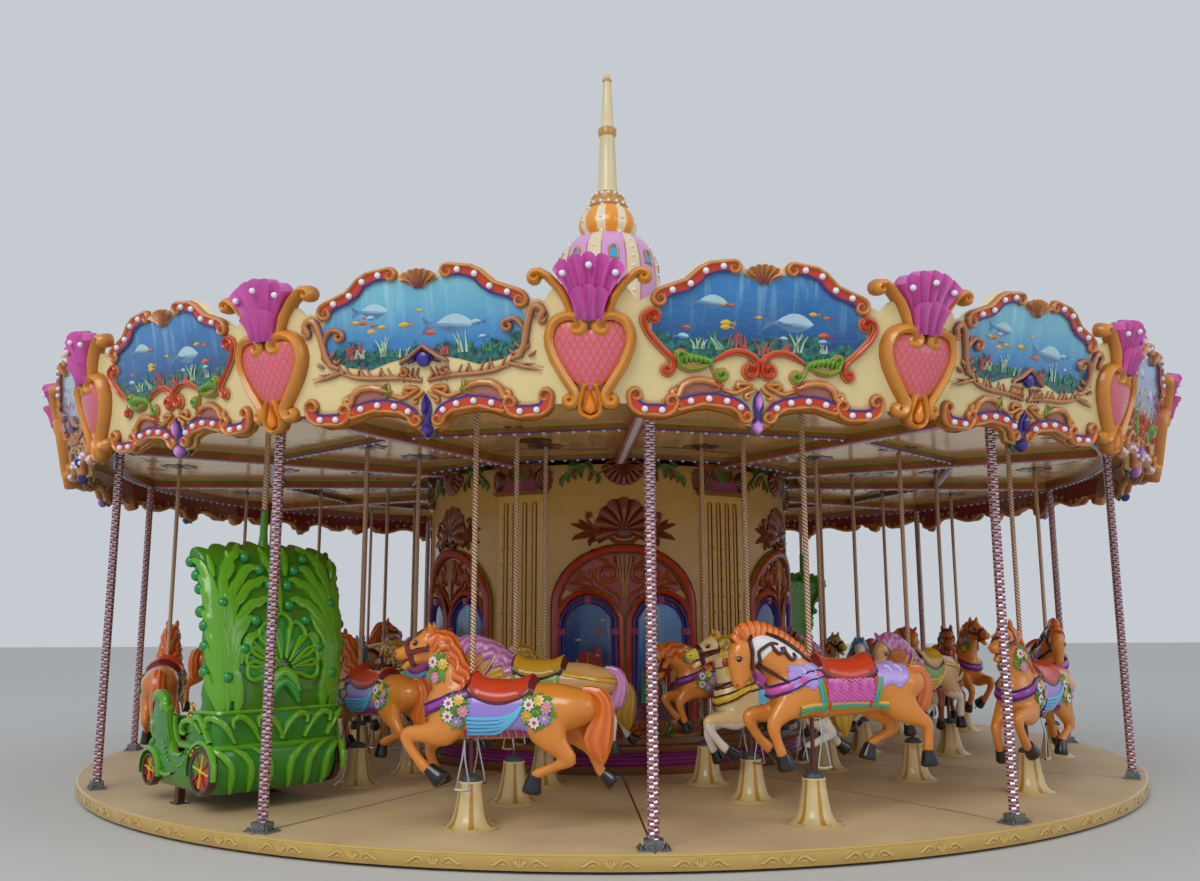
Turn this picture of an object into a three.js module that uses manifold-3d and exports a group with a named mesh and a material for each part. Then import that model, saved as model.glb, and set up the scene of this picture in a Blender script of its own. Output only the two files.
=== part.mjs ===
// Fairground carousel: a fixed round machine drum, and around it a turning deck with 12 bays of mounts,
// two chariots, twelve posts, a ceiling, sixteen leaning boards, a roof, a dome and a spire.
// Millimetres, +Z up. The origin is the centre of the ride on the ground, and post 1 stands at -Y.

import * as THREE from 'three'
import { mergeVertices } from 'three/addons/utils/BufferGeometryUtils.js'
import Module from 'manifold-3d'

const wasm = await Module()
wasm.setup()

// Driving dimensions
const fit = 0.3 // left between pieces that rest on each other
const deckTop = 120
const deckRadius = 5115
const deckInnerRadius = 2080
const deckPlate = 60
const fasciaWidth = 50
const fasciaFoot = 20
const bays = 12
const bayAngle = 30
const postCircle = 5000
const postRadius = 36
const ceilingBeamFoot = deckTop + 2770
const ceilingFoot = deckTop + 2840
const ceilingThickness = 30
const ceilingTop = ceilingFoot + ceilingThickness
const drumTop = deckTop + 2775
const drumRadius = 1850
const pilasterRadius = 1925
const drumBaseRadius = 2050
const boardCount = 16
const boardAngle = 360 / boardCount
const boardCentre = 7.1 // degrees from post 1 to the middle of the first board
const boardFoot = deckTop + 2400
const boardFootApothem = 5220
const boardLean = THREE.MathUtils.degToRad(13)
const boardThickness = 50
const ornamentBack = 42
const heartProud = 45
const crownProud = 70
const roofRadius = 5150
const roofEave = deckTop + 3000
const roofTop = deckTop + 4600
const roofTopRadius = 640
const roofThickness = 40
const ringSegments = 36
const poleSides = 6

const outerCircle = 4450
const middleCircle = 3480
const innerCircle = 2630
const poleRadius = 19
const rodRadius = 15
const slideClearance = 0.8
const restLift = 60 // mounts of odd and even groups stand this much under and over the middle of their stroke
const strokeHalf = 140
const bellHeight = 350
const bellRadius = 188
const rodFootAtMiddle = 180
const rodRunout = 10
const poleTopAtMiddle = ceilingTop + 145

const chariotBays = [4, 10]
const chariotTurn = -1.5 // degrees from the middle of its bay
const chariotCircle = 4300

const paint = {
  drumBase: { color: 0x7a4a28, roughness: 0.4, metalness: 0 },
  drum: { color: 0xb8903c, roughness: 0.4, metalness: 0 },
  arcade: { color: 0x9a2a10, roughness: 0.35, metalness: 0 },
  deck: { color: 0xc8a878, roughness: 0.6, metalness: 0 },
  post: { color: 0xc0b0b4, roughness: 0.3, metalness: 0.8 },
  ceiling: { color: 0xb89040, roughness: 0.2, metalness: 0.7 },
  board: { color: 0xe8d9a0, roughness: 0.35, metalness: 0 },
  roof: { color: 0xc8b890, roughness: 0.6, metalness: 0 },
  dome: { color: 0xe0a8d8, roughness: 0.35, metalness: 0 },
  pumpkin: { color: 0xf2a030, roughness: 0.3, metalness: 0 },
  spire: { color: 0xd8c8a0, roughness: 0.35, metalness: 0 },
  horse: { color: 0xe8964a, roughness: 0.25, metalness: 0 },
  chariot: { color: 0x4fa01e, roughness: 0.25, metalness: 0 }
}

const carousel = new THREE.Group()

// Helpers: three.js geometry in, closed solid out
function solidOf(geometry) {
  const bare = geometry.index ? geometry.toNonIndexed() : geometry.clone()
  bare.deleteAttribute('normal')
  bare.deleteAttribute('uv')
  const merged = mergeVertices(bare, 1e-3)
  return new wasm.Manifold(new wasm.Mesh({
    numProp: 3,
    vertProperties: Float32Array.from(merged.attributes.position.array),
    triVerts: Uint32Array.from(merged.index.array)
  }))
}

function geometryOf(solid) {
  const mesh = solid.getMesh()
  const geometry = new THREE.BufferGeometry()
  geometry.setAttribute('position', new THREE.BufferAttribute(Float32Array.from(mesh.vertProperties), 3))
  geometry.setIndex(new THREE.BufferAttribute(Uint32Array.from(mesh.triVerts), 1))
  geometry.computeVertexNormals()
  return geometry
}

function union(solids) {
  return solids.reduce((whole, solid) => whole.add(solid))
}

function addMesh(name, solid, finish, place = {}) {
  const mesh = new THREE.Mesh(geometryOf(solid), new THREE.MeshStandardMaterial(finish))
  mesh.name = name
  mesh.position.set(place.x ?? 0, place.y ?? 0, place.z ?? 0)
  mesh.rotation.z = THREE.MathUtils.degToRad(place.turn ?? 0)
  carousel.add(mesh)
  return mesh
}

// A profile of [radius, height] points turned about the vertical axis
function turned(profile, segments, turn = 0) {
  const points = profile.map(([radius, height]) => new THREE.Vector2(radius, height))
  const lathe = new THREE.LatheGeometry(points, segments)
  lathe.rotateX(Math.PI / 2)
  lathe.rotateZ(THREE.MathUtils.degToRad(turn))
  return solidOf(lathe)
}

// An upright prism of a regular polygon or circle
function prism(radius, foot, top, segments, turn = 0) {
  return turned([[0, foot], [radius, foot], [radius, top], [0, top]], segments, turn)
}

function box(length, width, height, x, y, z) {
  return solidOf(new THREE.BoxGeometry(length, width, height).translate(x, y, z))
}

// A side view outline in [x, z], given a thickness across y
function plate(outline, thickness, y) {
  const shape = new THREE.Shape(outline.map(([x, z]) => new THREE.Vector2(x, z)))
  const geometry = new THREE.ExtrudeGeometry(shape, { depth: thickness, bevelEnabled: false })
  geometry.translate(0, 0, -thickness / 2)
  geometry.rotateX(Math.PI / 2)
  geometry.translate(0, y, 0)
  return solidOf(geometry)
}

// The wedge from one angle to another, counted from -Y, a hair short on both sides
function wedge(from, to, reach) {
  const middle = THREE.MathUtils.degToRad((from + to) / 2)
  const half = THREE.MathUtils.degToRad((to - from) / 2)
  const shape = new THREE.Shape()
  shape.moveTo(0, 0)
  shape.lineTo(reach * Math.sin(half), -reach * Math.cos(half))
  shape.lineTo(reach * Math.sin(half), -reach)
  shape.lineTo(-reach * Math.sin(half), -reach)
  shape.lineTo(-reach * Math.sin(half), -reach * Math.cos(half))
  shape.closePath()
  const geometry = new THREE.ExtrudeGeometry(shape, { depth: 2 * reach, bevelEnabled: false })
  geometry.translate(0, -fit / 2 / Math.sin(half), -reach)
  geometry.rotateZ(middle)
  return solidOf(geometry)
}

// Where something stands: radius and angle from -Y, counter-clockwise from above
function around(radius, angle) {
  const t = THREE.MathUtils.degToRad(angle)
  return { x: radius * Math.sin(t), y: -radius * Math.cos(t) }
}

function standAt(solid, radius, angle) {
  const { x, y } = around(radius, angle)
  return solid.rotate([0, 0, angle]).translate([x, y, 0])
}

// Fixed drum
const drumBaseTop = 420
const drumSides = 6
const drumTurn = 1.2 // degrees from post 1 to the middle of the drum's first side
const doorWidth = 560
const doorFoot = deckTop + 550
const doorCrown = deckTop + 1570
const doorOffset = 9.9 // degrees from the middle of a side to each of its two doors
const bearingRadius = 350
const housingTop = drumTop - 60
const recessStart = 1500 // radius from which the recesses are cut outwards
const recessReach = 800

function drumBase() {
  return turned([
    [0, 0],
    [drumBaseRadius, 0],
    [drumBaseRadius, 200],
    [drumBaseRadius - 40, 220],
    [drumBaseRadius - 40, 340],
    [drumBaseRadius, 360],
    [drumBaseRadius - 60, drumBaseTop],
    [0, drumBaseTop]
  ], ringSegments)
}

function drumHousing() {
  const wall = prism(drumRadius, drumBaseTop + fit, housingTop, ringSegments)
  const bearing = prism(bearingRadius, housingTop - 10, ceilingFoot - fit, 24)
  return wall.add(bearing)
}

function drumArcade() {
  const outer = turned([
    [drumRadius + fit, drumBaseTop + fit],
    [pilasterRadius, drumBaseTop + fit],
    [pilasterRadius, drumTop],
    [drumRadius + fit, drumTop],
    [drumRadius + fit, drumBaseTop + fit]
  ], ringSegments)
  const recesses = []
  for (let side = 0; side < drumSides; side += 1) {
    for (const half of [-1, 1]) {
      const doorway = archedOpening(doorWidth, doorFoot, doorCrown)
      recesses.push(doorway.rotate([0, 0, drumTurn + side * 360 / drumSides + half * doorOffset]))
    }
  }
  return outer.subtract(union(recesses))
}

// A round-headed opening cut inwards from the outside of the drum
function archedOpening(width, foot, crown) {
  const springing = crown - width / 2
  const shape = new THREE.Shape()
  shape.moveTo(-width / 2, foot)
  shape.lineTo(width / 2, foot)
  shape.lineTo(width / 2, springing)
  shape.absarc(0, springing, width / 2, 0, Math.PI, false)
  shape.closePath()
  const geometry = new THREE.ExtrudeGeometry(shape, { depth: recessReach, bevelEnabled: false, curveSegments: 5 })
  geometry.rotateX(Math.PI / 2)
  geometry.translate(0, -recessStart, 0)
  return solidOf(geometry)
}

// Turning deck with the bells that guide the mounts' rods
function deckRing() {
  return turned([
    [deckInnerRadius, deckTop - deckPlate],
    [deckRadius - fasciaWidth, deckTop - deckPlate],
    [deckRadius - fasciaWidth, fasciaFoot],
    [deckRadius, fasciaFoot],
    [deckRadius, deckTop],
    [deckInnerRadius, deckTop],
    [deckInnerRadius, deckTop - deckPlate]
  ], ringSegments)
}

function bell() {
  return turned([
    [0, deckTop - 10],
    [bellRadius, deckTop - 10],
    [100, deckTop + 120],
    [72, deckTop + bellHeight - 40],
    [50, deckTop + bellHeight],
    [0, deckTop + bellHeight]
  ], poleSides)
}

function bellBore() {
  const foot = deckTop + rodFootAtMiddle - strokeHalf - rodRunout
  return prism(rodRadius + slideClearance, foot, deckTop + bellHeight + 10, poleSides)
}

// Every mount: its bay, its row and where it stands
function mountPlaces() {
  const rows = [
    { row: 'outer', radius: outerCircle, scale: 1 },
    { row: 'middle', radius: middleCircle, scale: 0.92 },
    { row: 'inner', radius: innerCircle, scale: 0.8 }
  ]
  const places = []
  for (let bay = 0; bay < bays; bay += 1) {
    rows.forEach(({ row, radius, scale }, rank) => {
      const chariotHere = chariotBays.includes(bay)
      if (row === 'outer' && chariotHere) return
      const moved = row === 'middle' && chariotHere
      places.push({
        name: `${row}_horse_${String(bay + 1).padStart(2, '0')}`,
        radius: moved ? radius - 150 : radius,
        angle: bayAngle / 2 + bay * bayAngle + (moved ? 2.9 : 0),
        scale,
        high: (bay + rank) % 2 === 0
      })
    })
  }
  return places
}
const mounts = mountPlaces()

function deckQuarter(quarter) {
  const from = quarter * 90
  const here = mounts.filter(({ angle }) => angle > from && angle < from + 90)
  const ring = deckRing().intersect(wedge(from, from + 90, 2 * deckRadius))
  const bells = here.map(({ radius, angle }) => standAt(bell(), radius, angle))
  const bores = here.map(({ radius, angle }) => standAt(bellBore(), radius, angle))
  return union([ring, ...bells]).subtract(union(bores))
}

// Posts: three to a quarter, joined by their length of the rim
const flangeSide = 200
const flangeDepth = 130
const flangeThickness = 12
const rimWidth = 90

function post(angle) {
  const shaft = prism(postRadius, deckTop + fit, ceilingFoot - fit - 5, 8)
  const flange = box(flangeSide, flangeDepth, flangeThickness, 0, 0, deckTop + fit + flangeThickness / 2)
  return standAt(shaft.add(flange), postCircle, angle)
}

function postQuarter(quarter) {
  const from = quarter * 90 - 15
  const rim = turned([
    [postCircle - rimWidth / 2, ceilingBeamFoot],
    [postCircle + rimWidth / 2, ceilingBeamFoot],
    [postCircle + rimWidth / 2, ceilingFoot - fit],
    [postCircle - rimWidth / 2, ceilingFoot - fit],
    [postCircle - rimWidth / 2, ceilingBeamFoot]
  ], ringSegments)
  const arc = rim.intersect(wedge(from, from + 90, 2 * deckRadius))
  const posts = [0, 1, 2].map((index) => post(quarter * 90 + index * bayAngle))
  return union([arc, ...posts])
}

// Ceiling: a sixteen-sided plate that carries radial and cross beams, with a hole for each pole
const beamWidth = 110
const beamInnerEnd = 1990
const beamOuterEnd = postCircle - rimWidth / 2 - 25
const beamSink = 5 // how far the beams reach into the sheet that carries them
const crossCircles = [2100, 3570]
const crossBeam = { width: 70, height: 45 }

function boardApothem(height) {
  return boardFootApothem + (height - boardFoot) * Math.tan(boardLean)
}

function ceiling() {
  const backApothem = boardApothem(ceilingFoot) - boardThickness / Math.cos(boardLean) - fit
  const corner = backApothem / Math.cos(Math.PI / boardCount)
  const sheet = prism(corner, ceilingFoot, ceilingTop, boardCount, boardCornerTurn)
  const beamLength = beamOuterEnd - beamInnerEnd
  const beams = []
  for (let bay = 0; bay < bays; bay += 1) {
    const beam = box(beamWidth, beamLength, ceilingFoot - ceilingBeamFoot + beamSink, 0, 0,
      (ceilingFoot + ceilingBeamFoot + beamSink) / 2)
    beams.push(standAt(beam, beamInnerEnd + beamLength / 2, bay * bayAngle))
    for (const circle of crossCircles) {
      const cross = box(2 * circle * Math.tan(Math.PI / bays), crossBeam.width, crossBeam.height, 0, 0,
        ceilingFoot + beamSink - crossBeam.height / 2)
      beams.push(standAt(cross, circle, (bay + 0.5) * bayAngle))
    }
  }
  const holes = mounts.map(({ radius, angle }) => standAt(
    prism(poleRadius + slideClearance, ceilingBeamFoot, ceilingTop + 10, poleSides), radius, angle))
  return union([sheet, ...beams]).subtract(union(holes))
}

// Leaning boards with a heart and a shell crown over each joint. Their outlines are in the board's plane,
// u along it from its middle and v up its slope from the foot, and are given for u over 0.
const boardCornerTurn = boardCentre + boardAngle / 2
const boardShoulder = 262
const boardCorner = 985
const pendantFoot = [[0, 105], [100, 165], [130, 235]]
const lowerArches = [[320, 262], [500, 225], [620, 195], [760, 215]]
const frameTop = [
  [780, 887], [700, 930], [520, 1020], [440, 1105], [360, 1150], [270, 1165], [110, 1110], [0, 1143]
]
const heartHalf = [
  [0, 175], [69, 235], [150, 262], [130, 350], [215, 520],
  [272, 650], [250, 745], [190, 785], [100, 785], [0, 741]
]
const crownHalf = [
  [0, 760], [104, 770], [150, 905], [262, 1020], [355, 1000], [350, 1050], [250, 1055], [190, 1095], [0, 1150]
]

function boardPlane(solid, angle, apothem) {
  const leaning = solid.rotate([THREE.MathUtils.radToDeg(boardLean), 0, 0])
  return leaning.translate([0, -apothem, boardFoot]).rotate([0, 0, angle])
}

// Both halves of an outline that starts and ends on its axis
function mirrored(half) {
  const otherHalf = half.filter(([u]) => u > 0).reverse()
  return [...half, ...otherHalf.map(([u, v]) => [-u, v])]
}

// A plate in the board's plane, set back from its face or proud of it
function boardPlate(half, back, front) {
  const shape = new THREE.Shape(mirrored(half).map(([u, v]) => new THREE.Vector2(u, v)))
  const geometry = new THREE.ExtrudeGeometry(shape, { depth: front - back, bevelEnabled: false })
  geometry.rotateX(Math.PI / 2)
  geometry.translate(0, -back, 0)
  return solidOf(geometry)
}

function boardHalfWidth(slope) {
  return (boardFootApothem + slope * Math.sin(boardLean)) * Math.tan(Math.PI / boardCount) + 2
}

function board(angle) {
  const half = [
    ...pendantFoot,
    ...lowerArches,
    [boardHalfWidth(boardShoulder), boardShoulder],
    [boardHalfWidth(boardCorner), boardCorner],
    ...frameTop
  ]
  return boardPlane(boardPlate(half, -boardThickness, 0), angle, boardFootApothem)
}

function boardQuarter(quarter) {
  const from = boardCentre - boardAngle / 2 + quarter * 90
  const cornerRise = boardFootApothem / Math.cos(Math.PI / boardCount)
  const pieces = []
  for (let index = 0; index < 4; index += 1) {
    pieces.push(board(from + (index + 0.5) * boardAngle))
  }
  for (let index = 0; index <= 4; index += 1) {
    const angle = from + index * boardAngle
    pieces.push(boardPlane(boardPlate(heartHalf, -ornamentBack, heartProud), angle, cornerRise))
    pieces.push(boardPlane(boardPlate(crownHalf, -ornamentBack, crownProud), angle, cornerRise))
  }
  return union(pieces).intersect(wedge(from, from + 90, 2 * deckRadius))
}

// Roof, dome, finial and spire
function roof() {
  const slope = Math.atan2(roofTop - roofEave, roofRadius - roofTopRadius)
  const drop = roofThickness / Math.cos(slope)
  return turned([
    [roofRadius - 60, ceilingTop + fit],
    [roofRadius, ceilingTop + fit],
    [roofRadius, roofEave],
    [roofTopRadius, roofTop],
    [0, roofTop],
    [0, roofTop - drop],
    [roofTopRadius - 40, roofTop - drop],
    [roofRadius - 60, roofEave - drop],
    [roofRadius - 60, ceilingTop + fit]
  ], ringSegments)
}

function domeProfile() {
  return [
    [0, 4600],
    [560, 4600],
    [590, 4850],
    [600, 5100],
    [588, 5194],
    [574, 5313],
    [535, 5452],
    [412, 5612],
    [250, 5660],
    [0, 5660]
  ].map(([radius, height]) => [radius, height + deckTop + fit])
}

function pumpkinProfile() {
  return [
    [0, 5660],
    [250, 5660],
    [322, 5760],
    [327, 5830],
    [300, 5930],
    [230, 6010],
    [0, 6010]
  ].map(([radius, height]) => [radius, height + deckTop + 2 * fit])
}

function spireProfile() {
  return [
    [0, 6010],
    [215, 6010],
    [236, 6050],
    [215, 6100],
    [180, 6110],
    [186, 6176],
    [130, 6205],
    [118, 6226],
    [88, 6914],
    [108, 6960],
    [108, 7010],
    [78, 7049],
    [47, 7605],
    [57, 7637],
    [35, 7660],
    [35, 7700],
    [0, 7724]
  ].map(([radius, height]) => [radius, height + deckTop + 3 * fit])
}

// A mount: pole, rod and figure as one casting, nose along +x, its pole on the origin, at mid stroke
const headUp = [
  [0.03, 0.98], [0.30, 0.80], [0.33, 1.08], [0.46, 1.05], [0.57, 1.13], [0.57, 1.22],
  [0.40, 1.36], [0.28, 1.41], [0.13, 1.33], [-0.06, 1.02]
]
const headDown = [
  [0.03, 0.95], [0.36, 0.75], [0.42, 0.95], [0.46, 0.85], [0.55, 0.84], [0.66, 1.16],
  [0.58, 1.28], [0.36, 1.33], [0.15, 1.22], [-0.06, 1.02]
]
const frontLeg = [[0.06, 0.76], [0.30, 0.80], [0.46, 0.68], [0.22, 0.35], [0.13, 0.39], [0.28, 0.62]]
const frontLegStraight = [[0.08, 0.78], [0.28, 0.80], [0.38, 0.52], [0.30, 0.31], [0.20, 0.34]]
const hindLeg = [[-0.45, 0.70], [-0.66, 0.80], [-0.76, 0.55], [-0.52, 0.35], [-0.43, 0.38], [-0.60, 0.55]]
const hindLegBack = [[-0.56, 0.76], [-0.76, 0.84], [-0.84, 0.60], [-0.95, 0.36], [-0.84, 0.36], [-0.70, 0.58]]
const trunk = [
  [0.34, 0.86], [0.22, 0.66], [-0.20, 0.60], [-0.62, 0.70],
  [-0.81, 0.84], [-0.74, 0.99], [-0.45, 1.04], [0.05, 1.02]
]
const tail = [[-0.66, 0.90], [-0.84, 0.99], [-0.96, 0.85], [-0.92, 0.46], [-0.83, 0.52]]

function metres(outline, scale) {
  return outline.map(([x, z]) => [x * 1000 * scale, 1000 * (0.6 + (z - 0.6) * scale)])
}

function horse(scale, bowed) {
  const pieces = [
    plate(metres(trunk, scale), 340 * scale, 0),
    plate(metres(bowed ? headDown : headUp, scale), 170 * scale, 0),
    plate(metres(frontLeg, scale), 90 * scale, 95 * scale),
    plate(metres(frontLegStraight, scale), 90 * scale, -95 * scale),
    plate(metres(hindLeg, scale), 95 * scale, 100 * scale),
    plate(metres(hindLegBack, scale), 95 * scale, -100 * scale),
    plate(metres(tail, scale), 70 * scale, 0)
  ]
  return union(pieces)
}

function mount(scale, high) {
  const figure = horse(scale, high).translate([0, 0, deckTop])
  const pole = prism(poleRadius, deckTop + 650, poleTopAtMiddle, poleSides)
  const rod = prism(rodRadius, deckTop + rodFootAtMiddle, deckTop + 700, poleSides)
  return figure.add(pole).add(rod).translate([0, 0, high ? restLift : -restLift])
}

// A chariot, driving along +x: a tub with rounded corners and a doorway on its outer side, a seat, a tall
// leaf back that curls forward at the top, side wings, four wheels, two legs and a pole
const tub = { halfWidth: 540, wall: 60, floorTop: 300 }
const tubPlan = [[-760, 250], [-700, 450], [-560, 540], [320, 540], [500, 400], [600, 150]]
const tubSide = [
  [-700, 150], [-100, 125], [480, 160], [580, 300], [560, 480], [430, 570], [350, 740], [120, 760], [60, 660],
  [-320, 700], [-640, 900], [-740, 800], [-760, 450]
]
const tubInside = [[-600, 300], [290, 300], [290, 900], [-600, 900]]
const doorway = { from: -345, to: 40, foot: 370 }
const doorHeight = 600
const seatSide = [[-640, 290], [-320, 290], [-320, 570], [-640, 570]]
const leafBack = [
  [-720, 700], [-740, 800], [-680, 1200], [-600, 1550], [-480, 1840], [-300, 1930],
  [-280, 1860], [-410, 1760], [-500, 1500], [-570, 1200], [-620, 700]
]
const leafWing = [
  [-640, 650], [-350, 690], [-300, 1000], [-270, 1300], [-190, 1560], [-110, 1780], [-300, 1870], [-480, 1760]
]
const frontWheel = { x: 280, z: 237, radius: 125 }
const rearWheel = { x: -600, z: 310, radius: 185 }
const wheelThickness = 60
const legs = [[0, 400], [0, -350]]
const legSide = 60
const legHeight = 190
const planHeight = 2000 // more than the chariot's height, so that the plan cuts all of it
const chariotPole = { x: -330, foot: 1830, radius: 22 }

function roundedPlan() {
  const half = tubPlan.map(([x, y]) => new THREE.Vector2(x, y))
  const otherHalf = tubPlan.map(([x, y]) => new THREE.Vector2(x, -y)).reverse()
  const shape = new THREE.Shape([...half, ...otherHalf])
  return solidOf(new THREE.ExtrudeGeometry(shape, { depth: planHeight, bevelEnabled: false }))
}

function wheel({ x, z, radius }, side) {
  const disc = new THREE.CylinderGeometry(radius, radius, wheelThickness, 12)
  disc.translate(x, side * tub.halfWidth, z)
  return solidOf(disc)
}

function chariot() {
  const width = 2 * tub.halfWidth
  const innerWidth = width - 2 * tub.wall
  const inside = plate(tubInside, innerWidth, 0)
  const doorLength = doorway.to - doorway.from
  const doorMiddle = (doorway.to + doorway.from) / 2
  const doorRise = doorway.foot + doorHeight / 2
  const door = box(doorLength, 4 * tub.wall, doorHeight, doorMiddle, tub.halfWidth, doorRise)
  const wings = plate(leafWing, width, 0).subtract(plate(leafWing, innerWidth, 0))
  const shell = union([
    plate(tubSide, width, 0).subtract(inside).subtract(door),
    plate(seatSide, innerWidth + 2, 0),
    plate(leafBack, width, 0),
    wings
  ]).intersect(roundedPlan())
  const wheels = [1, -1].flatMap((side) => [wheel(frontWheel, side), wheel(rearWheel, side)])
  const feet = legs.map(([x, y]) => box(legSide, legSide, legHeight, x, y, legHeight / 2 + fit))
  const pole = prism(chariotPole.radius, chariotPole.foot, ceilingFoot - deckTop - fit, poleSides)
    .translate([chariotPole.x, 0, 0])
  return union([shell, ...wheels, ...feet, pole])
}

// The assembly
addMesh('drum_base', drumBase(), paint.drumBase)
addMesh('drum_housing', drumHousing(), paint.drum)
addMesh('drum_arcade', drumArcade(), paint.arcade)
for (let quarter = 0; quarter < 4; quarter += 1) {
  addMesh(`deck_${quarter + 1}`, deckQuarter(quarter), paint.deck)
  addMesh(`posts_${quarter + 1}`, postQuarter(quarter), paint.post)
  addMesh(`rounding_boards_${quarter + 1}`, boardQuarter(quarter), paint.board)
}
addMesh('ceiling', ceiling(), paint.ceiling)
addMesh('roof', roof(), paint.roof)
addMesh('dome', turned(domeProfile(), 24), paint.dome)
addMesh('pumpkin', turned(pumpkinProfile(), 24), paint.pumpkin)
addMesh('spire', turned(spireProfile(), 12), paint.spire)
for (const { name, radius, angle, scale, high } of mounts) {
  addMesh(name, mount(scale, high), paint.horse, { ...around(radius, angle), turn: angle + 180 })
}
chariotBays.forEach((bay, index) => {
  const angle = bayAngle / 2 + bay * bayAngle + chariotTurn
  const place = around(chariotCircle, angle)
  addMesh(`chariot_${index + 1}`, chariot(), paint.chariot, { ...place, z: deckTop, turn: angle + 180 })
})

export default carousel
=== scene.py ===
import math

import bpy
import numpy as np
from mathutils import Matrix, Vector
from mathutils.bvhtree import BVHTree
from mathutils.geometry import delaunay_2d_cdt, tessellate_polygon


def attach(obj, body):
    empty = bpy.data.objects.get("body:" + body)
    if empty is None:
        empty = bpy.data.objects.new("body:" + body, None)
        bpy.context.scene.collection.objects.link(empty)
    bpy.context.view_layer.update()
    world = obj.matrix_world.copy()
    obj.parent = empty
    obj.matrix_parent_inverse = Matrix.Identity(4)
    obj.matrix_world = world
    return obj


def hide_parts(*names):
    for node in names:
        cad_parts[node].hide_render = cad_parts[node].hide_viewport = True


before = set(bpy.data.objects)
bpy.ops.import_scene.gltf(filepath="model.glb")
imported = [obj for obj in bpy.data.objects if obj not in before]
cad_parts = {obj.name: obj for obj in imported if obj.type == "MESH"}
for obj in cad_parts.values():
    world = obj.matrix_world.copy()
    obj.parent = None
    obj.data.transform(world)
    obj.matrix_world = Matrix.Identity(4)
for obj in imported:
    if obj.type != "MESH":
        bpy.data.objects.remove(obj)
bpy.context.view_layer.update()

print("frame loaded")

# Everything is in metres. Angles round the ride are in degrees from -Y, growing towards +X.
ride = {
    "deckTop": 0.12,
    "postCircle": 5.0,
    "beamFoot": 2.89,
    "ceilingFoot": 2.96,
}


# Node and material kit
def linear(code):
    values = [int(code[i:i + 2], 16) / 255 for i in (1, 3, 5)]
    return tuple([c / 12.92 if c <= 0.04045 else ((c + 0.055) / 1.055) ** 2.4 for c in values] + [1.0])


# A node with its links and settings; where out names an output, that is handed back
def addNode(tree, kind, links=None, out=None, **settings):
    node = tree.nodes.new(kind)
    for key, value in settings.items():
        setattr(node, key, value)
    for socket, value in (links or {}).items():
        if isinstance(value, bpy.types.NodeSocket):
            tree.links.new(value, node.inputs[socket])
        else:
            node.inputs[socket].default_value = value
    return node if out is None else node.outputs[out]


# A material with its finish; relief is its fine unevenness: bumps in a metre, detail, strength and depth
def newMaterial(name, roughness=0.4, metallic=0.0, coat=0.0, relief=None):
    material = bpy.data.materials.new(name)
    material.use_nodes = True
    tree = material.node_tree
    shader = tree.nodes["Principled BSDF"]
    shader.inputs["Roughness"].default_value = roughness
    shader.inputs["Metallic"].default_value = metallic
    if coat:
        shader.inputs["Coat Weight"].default_value = coat
        shader.inputs["Coat Roughness"].default_value = 0.12
    if relief:
        scale, detail, strength, depth = relief
        place = addNode(tree, "ShaderNodeTexCoord", out="Object")
        grain = addNode(tree, "ShaderNodeTexNoise",
                        {"Vector": place, "Scale": scale, "Detail": detail, "Roughness": 0.55}, "Fac")
        bump = addNode(tree, "ShaderNodeBump", {"Height": grain, "Strength": strength, "Distance": depth},
                       "Normal")
        tree.links.new(bump, shader.inputs["Normal"])
    return material, tree, shader


# Soft-edged patches, so many in a metre: a noise cut off between two of its levels
def patches(tree, scale, detail, low, high, least=0.0, most=1.0, where=None, roughness=0.55):
    where = where or addNode(tree, "ShaderNodeTexCoord", out="Object")
    cloud = addNode(tree, "ShaderNodeTexNoise",
                    {"Vector": where, "Scale": scale, "Detail": detail, "Roughness": roughness}, "Fac")
    return addNode(tree, "ShaderNodeMapRange", {0: cloud, 1: low, 2: high, 3: least, 4: most}, 0)


# Gloss enamel sprayed on glass-fibre mouldings: a clear shine, painted shade that darkens it in the hollows
# (the attribute named shade) and the faint unevenness of a hand-sprayed coat, in clouds of some 110 mm
def enamel(name, light, dark, roughness):
    material, tree, shader = newMaterial(name, roughness, coat=0.35, relief=(160.0, 2.0, 0.06, 0.002))
    shade = addNode(tree, "ShaderNodeAttribute", out="Fac", attribute_name="shade")
    clouds = patches(tree, 9.0, 3.0, 0.3, 0.7, -0.08, 0.08)
    # random clouds of tone plus the painted shade of the hollows
    cloudsAndShade = addNode(tree, "ShaderNodeMath", {0: clouds, 1: shade}, 0, operation="ADD", use_clamp=True)
    colour = addNode(tree, "ShaderNodeMix", {0: cloudsAndShade, 6: linear(light), 7: linear(dark)}, 2,
                     data_type="RGBA")
    tree.links.new(colour, shader.inputs["Base Color"])
    return material


paints = {}


def addPaints(tones, kind="", roughness=0.28):
    for name, (light, dark) in tones.items():
        paints[name] = enamel(name + kind, light, dark, roughness)


# Gloss enamels of the boards
addPaints({
    "creamPanel": ("#E8D498", "#C4824A"),
    "caramelScroll": ("#DC9048", "#8E4C20"),
    "redEnamel": ("#D2401E", "#8E2010"),
    "navyLine": ("#3C2E84", "#221850"),
    "leafGreen": ("#79A83A", "#4A6A1E"),
    "acanthusBrown": ("#CC8A4A", "#4A2C66"),
    "redLeaf": ("#C8563A", "#A87844"),
    "magentaShell": ("#D65CB0", "#8E1C68"),
    "heartGold": ("#DE9434", "#A8601C"),
    "orangeDrop": ("#F08A1E", "#D06A14"),
    "lilacPendant": ("#D89AE0", "#7A3AA0"),
    "pendantNavy": ("#3A2A90", "#241860"),
    "maroonBack": ("#8E2C3C", "#5E1C2A"),
    "hollowRose": ("#B87866", "#8E4C3C"),
    "backOlive": ("#A89238", "#6E5A1C"),
    "backDrop": ("#4E584A", "#2A302A"),
})


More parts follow.
